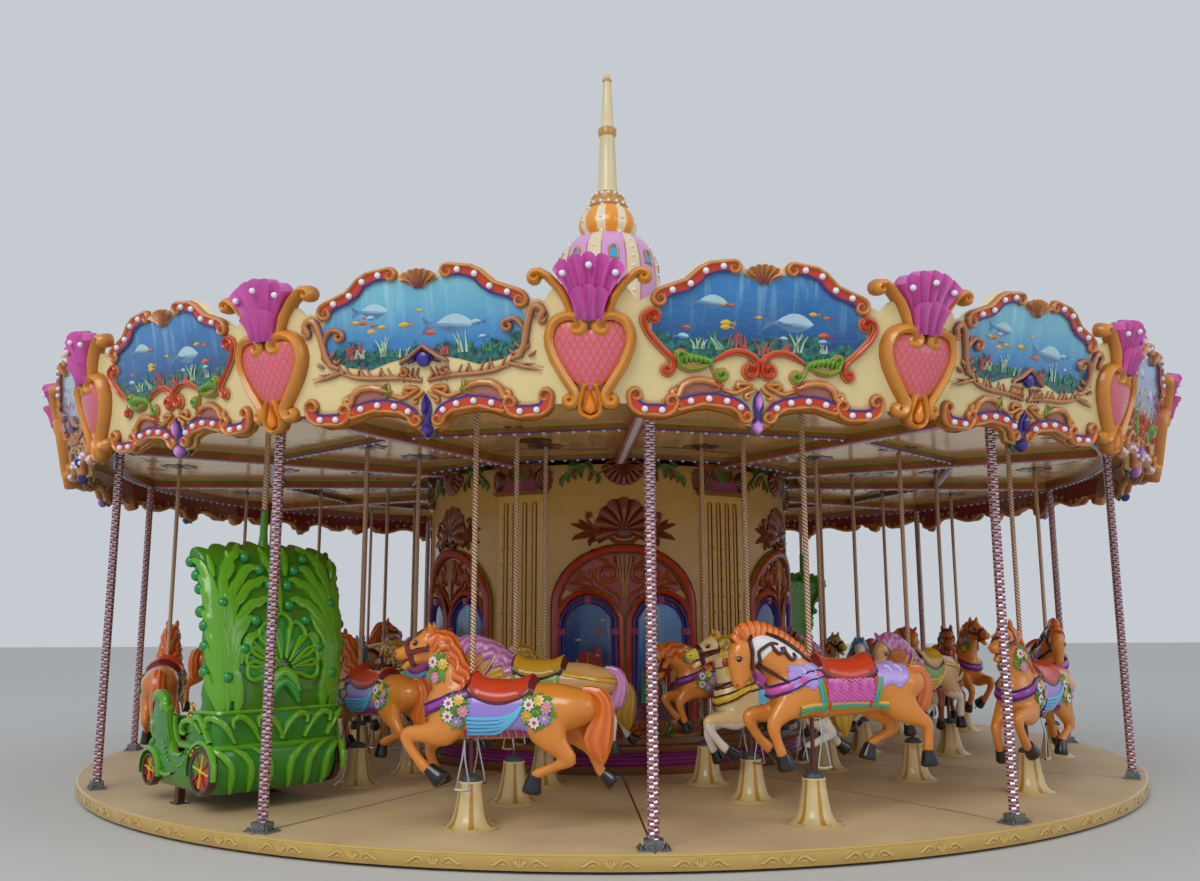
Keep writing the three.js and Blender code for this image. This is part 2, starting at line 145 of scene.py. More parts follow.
# Opal glass bulb: milky and glossy
def opalBulb():
    material, _, shader = newMaterial("opalGlassBulb", 0.12, relief=(200.0, 1.0, 0.03, 0.001))
    shader.inputs["Base Color"].default_value = linear("#ECEAF4")
    shader.inputs["Subsurface Weight"].default_value = 0.2
    shader.inputs["Subsurface Radius"].default_value = (0.01, 0.01, 0.012)
    return material


# Moulded lattice on the hearts: pink diamonds, 46 mm wide and 82 mm high, between raised orange lines,
# laid out on the board's own plane (the attribute named flat)
def latticeEnamel():
    material, tree, shader = newMaterial("latticeEnamel", 0.3, coat=0.3)
    flat = addNode(tree, "ShaderNodeAttribute", out="Vector", attribute_name="flat")
    parts = addNode(tree, "ShaderNodeSeparateXYZ", {0: flat})
    across, upward = (addNode(tree, "ShaderNodeMath", {0: parts.outputs[axis], 1: 1 / size}, 0,
                              operation="MULTIPLY")
                      for axis, size in (("X", 0.046), ("Y", 0.082)))
    lines = []
    for sign in ("ADD", "SUBTRACT"):
        both = addNode(tree, "ShaderNodeMath", {0: upward, 1: across}, 0, operation=sign)
        wave = addNode(tree, "ShaderNodeMath", {0: both, 1: 0.5}, 0, operation="PINGPONG")
        lines.append(addNode(tree, "ShaderNodeMapRange", {0: wave, 1: 0.10, 2: 0.19, 3: 1.0, 4: 0.0}, 0))
    line = addNode(tree, "ShaderNodeMath", {0: lines[0], 1: lines[1]}, 0, operation="MAXIMUM")
    rim = addNode(tree, "ShaderNodeAttribute", out="Fac", attribute_name="shade")
    diamond = addNode(tree, "ShaderNodeMix", {0: rim, 6: linear("#D2699E"), 7: linear("#D8683E")}, 2,
                      data_type="RGBA")
    colour = addNode(tree, "ShaderNodeMix", {0: line, 6: diamond, 7: linear("#E0602E")}, 2, data_type="RGBA")
    tree.links.new(colour, shader.inputs["Base Color"])
    bump = addNode(tree, "ShaderNodeBump", {"Height": line, "Strength": 0.5, "Distance": 0.004}, "Normal")
    tree.links.new(bump, shader.inputs["Normal"])
    return material


# A printed panel of open sea, with light from above and a sandy or rocky bed: a made-up scene
def seaPanel(name, top, deep, bed, seed, foot=0.6, tall=0.5, net=0.03):
    material, tree, shader = newMaterial(name, 0.18, coat=0.5, relief=(40.0, 2.0, 0.02, 0.002))
    flat = addNode(tree, "ShaderNodeAttribute", out="Vector", attribute_name="flat")
    moved = addNode(tree, "ShaderNodeMapping", {"Vector": flat, "Location": (seed, seed * 2.0, 0.0)}, 0)
    parts = addNode(tree, "ShaderNodeSeparateXYZ", {0: flat})
    height = addNode(tree, "ShaderNodeMapRange", {0: parts.outputs["Y"], 1: foot, 2: foot + tall, 3: 0.6,
                                                  4: 1.1}, 0)
    # water that lightens upwards, in drifting clouds
    clouds = patches(tree, 2.2, 3.0, 0, 1, -0.16, 0.16, moved)
    drift = addNode(tree, "ShaderNodeMath", {0: clouds, 1: height}, 0, operation="ADD")
    depth = addNode(tree, "ShaderNodeMapRange", {0: drift, 1: 0.6, 2: 1.1}, 0)
    water = addNode(tree, "ShaderNodeMix", {0: depth, 6: linear(deep), 7: linear(top)}, 2, data_type="RGBA")
    # beams of light that fade downwards
    slanted = addNode(tree, "ShaderNodeMapping",
                      {"Vector": moved, "Rotation": (0, 0, 0.35), "Scale": (7.0, 0.7, 1.0)}, 0)
    beams = patches(tree, 2.0, 2.0, 0.52, 0.72, 0.0, 0.55, slanted)
    fading = addNode(tree, "ShaderNodeMapRange", {0: height, 1: 0.7, 2: 1.1}, 0)
    shine = addNode(tree, "ShaderNodeMath", {0: beams, 1: fading}, 0, operation="MULTIPLY")
    lit = addNode(tree, "ShaderNodeMix", {0: shine, 6: water, 7: linear("#BFE8F0")}, 2, data_type="RGBA")
    # a net of ripples
    wavy = addNode(tree, "ShaderNodeMapping", {"Vector": moved, "Scale": (3.0, 9.0, 1.0)}, 0)
    ripple = addNode(tree, "ShaderNodeTexVoronoi", {"Vector": wavy, "Scale": 1.6}, "Distance",
                     feature="DISTANCE_TO_EDGE")
    glint = addNode(tree, "ShaderNodeMapRange", {0: ripple, 1: 0.0, 2: 0.07, 3: net, 4: 0.0}, 0)
    rippled = addNode(tree, "ShaderNodeMix", {0: glint, 6: lit, 7: linear("#D8F2F0")}, 2, data_type="RGBA")
    # the bed, and a ledge of rock on one side
    ragged = patches(tree, 5.0, 5.0, 0, 1, -0.22, 0.22, moved)
    rough = addNode(tree, "ShaderNodeMath", {0: ragged, 1: height}, 0, operation="ADD")
    grain = patches(tree, 26.0, 4.0, 0.35, 0.65, where=moved)
    ground = addNode(tree, "ShaderNodeMix", {0: grain, 6: linear(bed), 7: linear("#0E2A3A")}, 2,
                     data_type="RGBA")
    slope = addNode(tree, "ShaderNodeMapRange", {0: parts.outputs["X"], 1: -0.55, 2: -0.1, 3: 0.10,
                                                 4: -0.10}, 0)
    ledge = addNode(tree, "ShaderNodeMath", {0: slope, 1: drift}, 0, operation="ADD")
    low = addNode(tree, "ShaderNodeMapRange", {0: rough, 1: 0.66, 2: 0.69, 3: 1.0, 4: 0.0}, 0)
    high = addNode(tree, "ShaderNodeMapRange", {0: ledge, 1: 1.10, 2: 1.12}, 0)
    rock = addNode(tree, "ShaderNodeMath", {0: low, 1: high}, 0, operation="MAXIMUM")
    shown = addNode(tree, "ShaderNodeMix", {0: rock, 6: rippled, 7: ground}, 2, data_type="RGBA")
    tree.links.new(shown, shader.inputs["Base Color"])
    return material


paints["bulb"] = opalBulb()
paints["lattice"] = latticeEnamel()
paints["lagoon"] = seaPanel("lagoonPrint", "#7CC4D6", "#2A76BC", "#2F7C74", 3.1)
paints["reef"] = seaPanel("reefPrint", "#3E8CCC", "#12407E", "#2E8A7A", 7.7)
addPaints({
    "yellowFish": ("#E8C83A", "#C08A20"),
    "orangeFish": ("#E8743A", "#A83E20"),
    "silverFish": ("#B8D8E0", "#3A6A9A"),
    "coral": ("#D86A5A", "#8A2E50"),
    "weed": ("#4FA878", "#1E5E50"),
    "paleCoral": ("#CFE0C0", "#6A9A90"),
}, "Print", 0.2)


# Shape kit: points in a piece's own design plane (u along, v up, w proud), bent into place by a mapping.
# Each point has a tone (shade), each face a paint; flats are the places of a merged part before its bend
class Shape:
    def __init__(self):
        self.points, self.shades, self.faces, self.paints, self.flatList = [], [], [], [], []
        self.flats = None
        self.count = 0

    def add(self, points, faces, paint, shades=None):
        points = np.asarray(points, float).reshape(-1, 3)
        self.points.append(points)
        self.shades.append(np.zeros(len(points)) if shades is None else np.asarray(shades, float))
        self.faces += [tuple(i + self.count for i in face) for face in faces]
        self.paints += [paint] * len(faces)
        self.count += len(points)

    def merge(self, other, mapping=None):
        points = np.concatenate(other.points)
        self.flatList.append(points if other.flats is None else other.flats)
        self.points.append(mapping(points) if mapping else points)
        self.shades.append(np.concatenate(other.shades))
        self.faces += [tuple(i + self.count for i in face) for face in other.faces]
        self.paints += other.paints
        self.count += len(points)


# Faces between the rows of a grid; flipped ones face the other way
def gridFaces(rows, columns, closed=False, flip=False):
    faces = []
    for i in range(rows - 1):
        for j in range(columns if closed else columns - 1):
            k = (j + 1) % columns
            face = (i * columns + j, i * columns + k, (i + 1) * columns + k, (i + 1) * columns + j)
            faces.append(face[::-1] if flip else face)
    return faces


def fullTurn(count):
    return np.linspace(0, 2 * math.pi, count, endpoint=False)


def circle(centre, radius, count):
    turns = fullTurn(count)
    return np.column_stack([centre[0] + radius * np.cos(turns), centre[1] + radius * np.sin(turns)])


def unit(vectors):
    return vectors / (np.linalg.norm(vectors, axis=-1, keepdims=True) + 1e-9)


def smoothPath(points, step):
    points = np.asarray(points, float)
    if len(points) < 3:
        count = max(2, int(np.linalg.norm(points[-1] - points[0]) / step) + 1)
        return points[0] + np.linspace(0, 1, count)[:, None] * (points[-1] - points[0])
    ends = np.vstack([2 * points[0] - points[1], points, 2 * points[-1] - points[-2]])
    path = []
    for i in range(1, len(ends) - 2):
        a, b, c, d = ends[i - 1:i + 3]
        count = max(2, int(np.linalg.norm(c - b) / step))
        for t in np.linspace(0, 1, count, endpoint=False):
            path.append(0.5 * (2 * b + (c - a) * t + (2 * a - 5 * b + 4 * c - d) * t * t
                               + (3 * b - a - 3 * c + d) * t ** 3))
    path.append(points[-1])
    return np.array(path)


# A curl that carries a path on into a spiral: radius, turns and the side it winds to (1 left, -1 right)
def withCurl(path, curl, atStart=False):
    if curl is None:
        return path
    radius, turns, side = curl
    path = path[::-1] if atStart else path
    ahead = path[-1] - path[-2]
    ahead = ahead / np.linalg.norm(ahead)
    normal = side * np.array([-ahead[1], ahead[0]])
    centre = path[-1] + radius * normal
    count = max(6, int(turns * 13))
    begin = math.atan2(*(path[-1] - centre)[::-1])
    more = []
    for t in np.linspace(0, 1, count + 1)[1:]:
        reach = radius * (1 - 0.72 * t)
        angle = begin + side * turns * 2 * math.pi * t
        more.append(centre + reach * np.array([math.cos(angle), math.sin(angle)]))
    path = np.vstack([path, more])
    return path[::-1] if atStart else path


def sideways(path):
    ahead = unit(np.gradient(path, axis=0))
    return np.column_stack([-ahead[:, 1], ahead[:, 0]])


def shifted(path, offset):
    return path + sideways(path) * offset


def scrollPath(points, startCurl=None, endCurl=None, step=0.022):
    path = smoothPath(points, step)
    return withCurl(withCurl(path, endCurl), startCurl, atStart=True)


# The points that a path needs, where it has turned or gone far enough, and their share of its way
def thinned(path, bend, gap):
    steps = np.diff(path, axis=0)
    lengths = np.linalg.norm(steps, axis=1) + 1e-12
    turns = np.arccos(np.clip((steps[1:] * steps[:-1]).sum(1) / (lengths[1:] * lengths[:-1]), -1, 1))
    kept, turn, gone = [0], 0.0, 0.0
    for i in range(1, len(path) - 1):
        turn, gone = turn + turns[i - 1], gone + lengths[i - 1]
        if turn > bend or gone > gap:
            kept.append(i)
            turn = gone = 0.0
    kept.append(len(path) - 1)
    way = np.concatenate([[0], np.cumsum(lengths)])
    return kept, way[kept] / way[-1]


# A moulded bead along a path: half round, thinner at its ends, closed behind where it stands free
def bead(shape, path, width, height, paint, base=0.0, taper=(0.5, 0.5), free=None):
    kept, reach = thinned(path, 0.18 if width > 0.07 else 0.30, 0.10)
    path = path[kept]
    count = len(path)
    full = np.interp(reach, [0, 0.12, 0.88, 1], [taper[0], 1, 1, taper[1]])
    across = np.array([-1, -0.72, 0, 0.72, 1.0]) * width / 2
    rise = np.array([0, 0.72, 1.0, 0.72, 0]) * height
    # painted shade at the bead's foot, none on its crest; the closed back is shaded too
    tone = np.array([1, 0.35, 0.0, 0.35, 1.0])
    if free is not None:
        across = np.append(across, [width * 0.42, -width * 0.42])
        rise = np.append(rise, [free, free])
        tone = np.append(tone, [0.8, 0.8])
    side = sideways(path)
    columns = len(across)
    points = np.zeros((count, columns, 3))
    points[:, :, :2] = path[:, None] + side[:, None] * (across[None, :, None] * full[:, None, None])
    points[:, :, 2] = base + rise[None] * np.where(rise > 0, full[:, None], 1.0)
    faces = gridFaces(count, columns, closed=free is not None, flip=True)
    ends = [tuple(range(columns)), tuple(range((count - 1) * columns, count * columns))[::-1]]
    shape.add(points, faces + ends, paint, np.tile(tone, count))


# A flat ribbon of one width, for painted bands and for edges of painted shade
def ribbon(shape, path, width, paint, base, tones=(0, 0)):
    side = sideways(path)
    across = np.array([-0.5, 0, 0.5]) * width
    points = np.zeros((len(path), 3, 3))
    points[:, :, :2] = path[:, None] + side[:, None] * across[None, :, None]
    points[:, :, 2] = base
    tone = np.array([tones[0], (tones[0] + tones[1]) / 2, tones[1]])
    shape.add(points, gridFaces(len(path), 3, flip=True), paint, np.tile(tone, len(path)))


# Painted shade: a darker cream edge on both sides of a raised path, fading outwards
def shadeHalo(shape, path, inner, outer, level):
    count = len(path)
    for sign in (1, -1):
        points = np.full((2 * count, 3), float(level))
        points[:count, :2] = shifted(path, sign * inner)
        points[count:, :2] = shifted(path, sign * outer)
        tone = [0.75] * count + [0.0] * count
        shape.add(points, gridFaces(2, count, flip=sign < 0), "creamPanel", tone)


# A flat plate cut to an outline, with eased edges
def cutPlate(shape, outline, back, front, paint, backPaint=None, ease=0.006, shade=0.0):
    outline = np.asarray(outline, float)
    area = 0.5 * np.sum(outline[:, 0] * np.roll(outline[:, 1], -1) - np.roll(outline[:, 0],
                                                                             -1) * outline[:, 1])
    if area < 0:
        outline = outline[::-1]
    count = len(outline)
    ahead = unit(np.roll(outline, -1, 0) - np.roll(outline, 1, 0))
    inward = np.column_stack([-ahead[:, 1], ahead[:, 0]])
    inner = outline + inward * ease
    rings = [np.column_stack([inner, np.full(count, front)]),
             np.column_stack([outline, np.full(count, front - ease)]),
             np.column_stack([outline, np.full(count, back)])]
    shape.add(np.vstack(rings), gridFaces(3, count, closed=True, flip=True), paint, [shade] * (3 * count))
    triangles = tessellate_polygon([[Vector((p[0], p[1], 0)) for p in inner]])
    shape.add(rings[0], [orient(inner, t) for t in triangles], paint, [shade] * count)
    shape.add(rings[2], [orient(outline, t)[::-1] for t in triangles], backPaint or paint, [shade] * count)


def orient(points, triangle):
    a, b, c = (points[i] for i in triangle)
    turn = (b[0] - a[0]) * (c[1] - a[1]) - (b[1] - a[1]) * (c[0] - a[0])
    return tuple(triangle) if turn > 0 else tuple(triangle)[::-1]


# A field that swells from its outline to a middle point; levels are (scale, rise, tone), outline first
def domed(shape, loop, centre, levels, paint):
    loop, centre, count = np.asarray(loop, float), np.asarray(centre, float), len(loop)
    rings = [np.column_stack([centre + (loop - centre) * scale, np.full(count, rise)])
             for scale, rise, _ in levels]
    tones = [tone for _, _, tone in levels for _ in range(count)]
    faces = gridFaces(len(levels), count, closed=True)
    last = (len(levels) - 1) * count
    faces += [(last + i, last + (i + 1) % count, last + count) for i in range(count)]
    ahead = np.roll(loop, -1, 0)
    if np.sum(loop[:, 0] * ahead[:, 1] - ahead[:, 0] * loop[:, 1]) < 0:
        faces = [face[::-1] for face in faces]
    shape.add(np.vstack(rings + [[[*centre, levels[-1][1]]]]), faces, paint, tones + [levels[-1][2]])


def disc(shape, centre, radius, height, paint, tone=0.5):
    levels = ((1.0, 0.0, tone), (0.98, height * 0.8, tone), (0.6, height, tone))
    domed(shape, circle(centre, radius, 16), centre, levels, paint)


# A bead on a lower and wider one of another paint
def twoTone(shape, path, width, height, paint, edge, taper=(0.4, 0.4), border=0.010):
    bead(shape, path, width + 2 * border, height * 0.6, edge, taper=taper)
    bead(shape, path, width, height, paint, taper=taper)


# A fan of concave flutes between ridges that widens to a scalloped rim
def flutedFan(shape, foot, rim, rise, halfFoot, halfTop, lobes, lift, relief, paint, scallop, thickness=0.0):
    columns, rows = 8 * lobes + 1, 8
    s, t = np.linspace(-1, 1, columns), np.linspace(0, 1, rows)[:, None]
    wave = np.abs(np.cos(lobes * math.pi * s / 2))
    top = rim + rise * (1 - s ** 2) + scallop * wave ** 0.6
    points = np.zeros((rows, columns, 3))
    points[:, :, 0] = s[None] * (halfFoot + (halfTop - halfFoot) * t ** 1.7)
    points[:, :, 1] = foot + (top - foot)[None] * t
    points[:, :, 2] = lift + relief * ((1 - wave)[None] * (0.5 + 0.5 * t) + 0.9 * t ** 4)
    # painted shade in the flutes and towards the foot
    tone = 0.45 * wave[None] * (1 - t ** 2) + 0.5 * (1 - t) ** 2
    shape.add(points, gridFaces(rows, columns, flip=True), paint, np.clip(tone, 0, 1).ravel())
    back = points * [1, 1, 0] + [0, 0, -thickness]
    if thickness:
        shape.add(back, gridFaces(rows, columns), "maroonBack")
    rimFaces = [(i, columns + i, columns + i + 1, i + 1) for i in range(columns - 1)]
    shape.add(np.vstack([points[-1], back[-1]]), rimFaces, paint, [0.1] * columns + [0.6] * columns)
    for edge, flip in ((0, False), (-1, True)):
        faces = [(i, rows + i, rows + i + 1, i + 1) for i in range(rows - 1)]
        faces = [face[::-1] for face in faces] if flip else faces
        shape.add(np.vstack([points[:, edge], back[:, edge]]), faces, paint)


def ellipsoid(shape, centre, radii, paint, segments=10, rings=6):
    rows = []
    for v in np.linspace(0, math.pi, rings + 1)[1:-1]:
        for u in fullTurn(segments):
            rows.append((math.sin(v) * math.cos(u), math.sin(v) * math.sin(u), math.cos(v)))
    rows += [(0, 0, 1), (0, 0, -1)]
    top, bottom = len(rows) - 2, len(rows) - 1
    faces = gridFaces(rings - 1, segments, closed=True, flip=True)
    faces += [(top, j, (j + 1) % segments) for j in range(segments)]
    last = (rings - 2) * segments
    faces += [(bottom, last + (j + 1) % segments, last + j) for j in range(segments)]
    shape.add(np.array(rows) * radii + centre, faces, paint)


# A rounded strap or bead on a surface: its places and normals along the way
def laid(shape, frames, width, height, paint, tones=(0.6, 0.0), taper=1.0):
    kept, reach = thinned(np.array([p for p, _ in frames]), 0.20, 0.09)
    points = np.array([frames[i][0] for i in kept])
    normals = np.array([frames[i][1] for i in kept])
    ahead = np.gradient(points, axis=0)
    side = unit(np.cross(normals, ahead))
    across = np.array([-0.5, -0.34, 0, 0.34, 0.5])
    rise = np.array([-0.004, height * 0.8, height, height * 0.8, -0.004])
    count = len(points)
    full = np.interp(reach, [0, 0.2, 0.8, 1], [taper, 1, 1, taper])
    grid = (points[:, None] + side[:, None] * (across[None] * width * full[:, None])[:, :, None]
            + normals[:, None] * rise[None, :, None])
    # painted shade along both edges (tones[0]), tones[1] on the crest
    tone = np.tile([tones[0], tones[1], tones[1], tones[1], tones[0]], count)
    shape.add(grid.reshape(-1, 3), gridFaces(count, 5, flip=True), paint, tone)


def mirroredShape(shape):
    other = Shape()
    points = np.concatenate(shape.points) * [-1, 1, 1]
    other.add(points, [face[::-1] for face in shape.faces], "", np.concatenate(shape.shades))
    other.paints = list(shape.paints)
    return other


def makePiece(name, shape, body, replaced=(), angle=38):
    mesh = bpy.data.meshes.new(name)
    mesh.from_pydata(np.concatenate(shape.points).tolist(), [], shape.faces)
    order = sorted(set(shape.paints))
    for paint in order:
        mesh.materials.append(paints[paint])
    places = {paint: i for i, paint in enumerate(order)}
    mesh.polygons.foreach_set("material_index", [places[paint] for paint in shape.paints])
    shades = mesh.attributes.new("shade", "FLOAT", "POINT")
    shades.data.foreach_set("value", np.concatenate(shape.shades).astype(np.float32))
    if shape.flatList:
        flats = mesh.attributes.new("flat", "FLOAT_VECTOR", "POINT")
        flats.data.foreach_set("vector", np.concatenate(shape.flatList).astype(np.float32).ravel())
    mesh.validate()
    mesh.shade_smooth()
    mesh.set_sharp_from_angle(angle=math.radians(angle))
    piece = bpy.data.objects.new(name, mesh)
    bpy.context.scene.collection.objects.link(piece)
    settle(piece, body, replaced)
    return piece


def settle(piece, body, replaced=()):
    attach(piece, body)
    if replaced:
        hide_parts(*replaced)


def around(radius, angle):
    turn = math.radians(angle)
    return radius * math.sin(turn), -radius * math.cos(turn)


# Lathe: a profile of (radius, height) turned about an upright axis; rows that go up face outwards
def turned(shape, profile, paint, segments=24, centre=(0.0, 0.0), tones=None, arc=None, caps=(False, False),
           swell=None):
    profile = np.asarray(profile, float)
    count = segments + 1 if arc else segments
    angles = np.radians(np.linspace(*(arc or (0, 360)), count, endpoint=bool(arc)))
    reach = profile[:, :1] * (np.ones(count) if swell is None else swell(angles))
    grid = np.zeros((len(profile), count, 3))
    grid[:, :, 0] = centre[0] + reach * np.sin(angles)
    grid[:, :, 1] = centre[1] - reach * np.cos(angles)
    grid[:, :, 2] = profile[:, 1:]
    rows = len(profile)
    faces = gridFaces(rows, count, closed=not arc)
    if caps[0]:
        faces.append(tuple(range(count))[::-1])
    if caps[1]:
        faces.append(tuple(range((rows - 1) * count, rows * count)))
    if arc:
        section = rows - 1 if np.allclose(profile[0], profile[-1]) else rows
        faces.append(tuple(i * count for i in range(section)))
        faces.append(tuple(i * count + count - 1 for i in range(section))[::-1])
    first = len(shape.paints)
    shape.add(grid, faces, paint if isinstance(paint, str) else "",
              None if tones is None else np.repeat(tones, count))
    if not isinstance(paint, str):
        for index in range(len(faces)):
            shape.paints[first + index] = paint(index // segments, index % segments)


# A straight bar whose foot runs from start to stop
def bar(shape, start, stop, width, height, paint, tone=0.0):
    start, stop = np.array(start, float), np.array(stop, float)
    ahead = (stop - start) / np.linalg.norm(stop - start)
    side = np.array([-ahead[1], ahead[0], 0.0]) * width / 2
    side /= max(1e-9, np.hypot(ahead[0], ahead[1]))
    up = np.array([0, 0, height])
    rows = [end + corner for end in (start, stop) for corner in (side, side + up, up - side, -side)]
    shape.add(rows, gridFaces(2, 4, closed=True) + [(3, 2, 1, 0), (4, 5, 6, 7)], paint, [tone] * 8)


# A flat field between closed outlines, cut fine enough to follow a bend; every second outline is a hole
def fieldPlate(shape, loops, level, paint, step=0.06, shade=0.0):
    verts, edges, rings = [], [], []
    for loop in loops:
        loop = np.asarray(loop, float)
        dense = []
        for a, b in zip(loop, np.roll(loop, -1, 0)):
            count = max(1, math.ceil(np.linalg.norm(b - a) / step))
            dense += [a + (b - a) * t for t in np.linspace(0, 1, count, endpoint=False)]
        first = len(verts)
        verts += dense
        edges += [(first + i, first + (i + 1) % len(dense)) for i in range(len(dense))]
        rings.append(np.array(dense))
    low, high = rings[0].min(0), rings[0].max(0)
    verts += [(x, y) for x in np.arange(low[0] + step / 2, high[0], step)
              for y in np.arange(low[1] + step / 2, high[1], 3 * step)]
    points, _, faces, _, _, _ = delaunay_2d_cdt([Vector(p) for p in verts], edges, [], 0, 1e-6)
    points = np.array([tuple(p) for p in points])

    def inside(place):
        hits = 0
        for ring in rings:
            after = np.roll(ring, -1, 0)
            crosses = (ring[:, 1] > place[1]) != (after[:, 1] > place[1])
            slope = (after[:, 0] - ring[:, 0]) / np.where(crosses, after[:, 1] - ring[:, 1], 1)
            hits += np.count_nonzero(crosses & (place[0] < ring[:, 0] + (place[1] - ring[:, 1]) * slope))
        return hits % 2 == 1

    kept = [orient(points, f) for f in faces if inside(points[list(f)].mean(0))]
    shape.add(np.column_stack([points, np.full(len(points), level)]), kept, paint, [shade] * len(points))


# Design planes bent round the ride: u runs counter-clockwise, v up, w outwards
def onRing(angle, radius, base, reach=None):
    def place(p):
        turn = math.radians(angle) + p[:, 0] / (reach or radius)
        out = radius + p[:, 2]
        return np.column_stack([out * np.sin(turn), -out * np.cos(turn), base + p[:, 1]])
    return place


def onLathe(angle, profile):
    heights, radii = np.array(profile)[:, 1], np.array(profile)[:, 0]

    def place(p):
        radius = np.interp(p[:, 1], heights, radii)
        turn = math.radians(angle) + p[:, 0] / radius
        out = radius + p[:, 2]
        return np.column_stack([out * np.sin(turn), -out * np.cos(turn), p[:, 1]])
    return place


# An upright, outward-facing design plane at one place, turned about the vertical
def onStand(radius, angle, turn, height):
    x, y = around(radius, angle)
    heading = math.radians(angle + turn)
    out = np.array([math.sin(heading), -math.cos(heading), 0])
    along = np.array([math.cos(heading), math.sin(heading), 0])
    up = np.array([0, 0, 1.0])
    return lambda p: np.array([x, y, height]) + p[:, :1] * along + p[:, 1:2] * up + p[:, 2:3] * out


# Leaning boards: two designs that take turns, a heart and a shell crown over each joint
boards = {
    "count": 16,
    "centre": 7.1,
    "apothem": 5.22,
    "foot": 2.52,
    "lean": math.radians(13),
    "thickness": 0.05,
    "bandWidth": 0.075,
    "bulbRadius": 0.022,
}
boardAngle = 360 / boards["count"]
halfJoint = math.radians(boardAngle / 2)


# A board's own axes and foot, so far from the ride's centre
def leaning(angle, distance):
    turn = math.radians(angle)
    out = np.array([math.sin(turn), -math.cos(turn), 0])
    along = np.array([math.cos(turn), math.sin(turn), 0])
    up = math.sin(boards["lean"]) * out + np.array([0, 0, math.cos(boards["lean"])])
    return distance * out + np.array([0, 0, boards["foot"]]), along, up, np.cross(along, up)


def onBoard(angle):
    foot, along, up, proud = leaning(angle, boards["apothem"])
    return lambda p: foot + p[:, :1] * along + p[:, 1:2] * up + p[:, 2:3] * proud


# Over a joint the plane bends back on both sides, as the boards do
def onJoint(angle):
    foot, along, up, proud = leaning(angle, boards["apothem"] / math.cos(halfJoint))

    def place(p):
        wrap = 0.7 * math.tan(halfJoint) * (np.sqrt(p[:, :1] ** 2 + 0.05 ** 2) - 0.05)
        return foot + p[:, :1] * along + p[:, 1:2] * up + (p[:, 2:3] - wrap) * proud
    return place


def boardHalfWidth(v):
    return (boards["apothem"] + v * math.sin(boards["lean"])) * math.tan(halfJoint) + 0.002


# Right halves in the board's plane; the left halves mirror them
frameTopHalf = [(0.0, 1.13), (0.10, 1.10), (0.13, 1.145), (0.20, 1.162), (0.28, 1.165), (0.36, 1.150),
                (0.44, 1.105), (0.48, 1.055), (0.53, 1.018), (0.60, 0.995), (0.66, 0.965), (0.70, 0.925),
                (0.78, 0.887)]
shoulder = [(0.84, 0.955), (0.92, 0.99)]
lowerEdgeHalf = [(0.79, 0.262), (0.76, 0.222), (0.68, 0.196), (0.60, 0.200), (0.50, 0.228), (0.40, 0.262),
                 (0.30, 0.268), (0.20, 0.252), (0.12, 0.222), (0.09, 0.160), (0.05, 0.150), (0.0, 0.125)]
upperBandPoints = [(0.190, 1.127), (0.262, 1.124), (0.330, 1.108), (0.385, 1.080), (0.425, 1.035),
                   (0.475, 0.998), (0.540, 0.975), (0.600, 0.955), (0.655, 0.924)]
lowerBandPoints = [(0.505, 0.268), (0.455, 0.288), (0.38, 0.306), (0.30, 0.312), (0.22, 0.303), (0.15, 0.283),
                   (0.100, 0.250), (0.078, 0.205)]
shortBandPoints = [(0.788, 0.318), (0.780, 0.270), (0.742, 0.238), (0.67, 0.230), (0.60, 0.232),
                   (0.560, 0.250), (0.545, 0.285)]


# Red band for bulbs: a caramel bead that ends in volutes along one edge, a navy line along the other
def lightBand(shape, points, volutes, bulbs, bulbPlaces, base=0.022):
    width = boards["bandWidth"]
    path = smoothPath(points, 0.022)
    path = path[thinned(path, 0.16, 0.09)[0]]
    # painted shade: a darker cream strip along the band's navy-line side
    ribbon(shape, shifted(path, -width / 2 - 0.014), 0.032, "creamPanel", 0.0014, (0.0, 0.8))
    side = sideways(path)
    across = np.array([-0.5, -0.44, 0.42, 0.5]) * width
    block = np.zeros((len(path), 4, 3))
    block[:, :, :2] = path[:, None] + side[:, None] * across[None, :, None]
    block[:, :, 2] = np.array([0, base, base, 0])
    # painted shade: the red band darker down its sloping edges, most on the navy-line side
    shape.add(block, gridFaces(len(path), 4, flip=True), "redEnamel",
              np.tile([0.9, 0.25, 0.0, 0.6], len(path)))
    ribbon(shape, shifted(path, -width * 0.42), 0.015, "navyLine", base + 0.0015)
    edge = shifted(path, width * 0.42)
    for radius, ahead, atStart in ((volutes[0], 1, True), (volutes[1], -1, False)):
        edge = withCurl(edge, (radius, 1.3, ahead), atStart)
        near = edge[:17] if atStart else edge[-17:]
        disc(shape, near.mean(0), radius + 0.006, 0.020, "caramelScroll", 0.9)
    bead(shape, edge, 0.032, base + 0.018, "caramelScroll", free=-0.012)
    for u, v in bulbPlaces:
        bulbs.append((u, v, base))


def commonHalf(shape, bulbs):
    lightBand(shape, upperBandPoints, (0.040, 0.048), bulbs,
              [(0.262, 1.121), (0.372, 1.088), (0.464, 1.006), (0.575, 0.963)])
    lightBand(shape, lowerBandPoints, (0.020, 0.038), bulbs,
              [(0.434, 0.294), (0.320, 0.311), (0.206, 0.300), (0.116, 0.264)], base=0.026)
    lightBand(shape, shortBandPoints, (0.044, 0.040), bulbs, [(0.720, 0.236), (0.612, 0.233)], base=0.026)


def crownShell(shape):
    flutedFan(shape, 1.025, 1.095, 0.035, 0.030, 0.112, 5, 0.014, 0.022, "acanthusBrown", 0.018)
    for side in (1, -1):
        lip = smoothPath([(0.0, 1.028), (side * 0.06, 1.056), (side * 0.122, 1.080)], 0.03)
        bead(shape, lip, 0.026, 0.034, "caramelScroll")


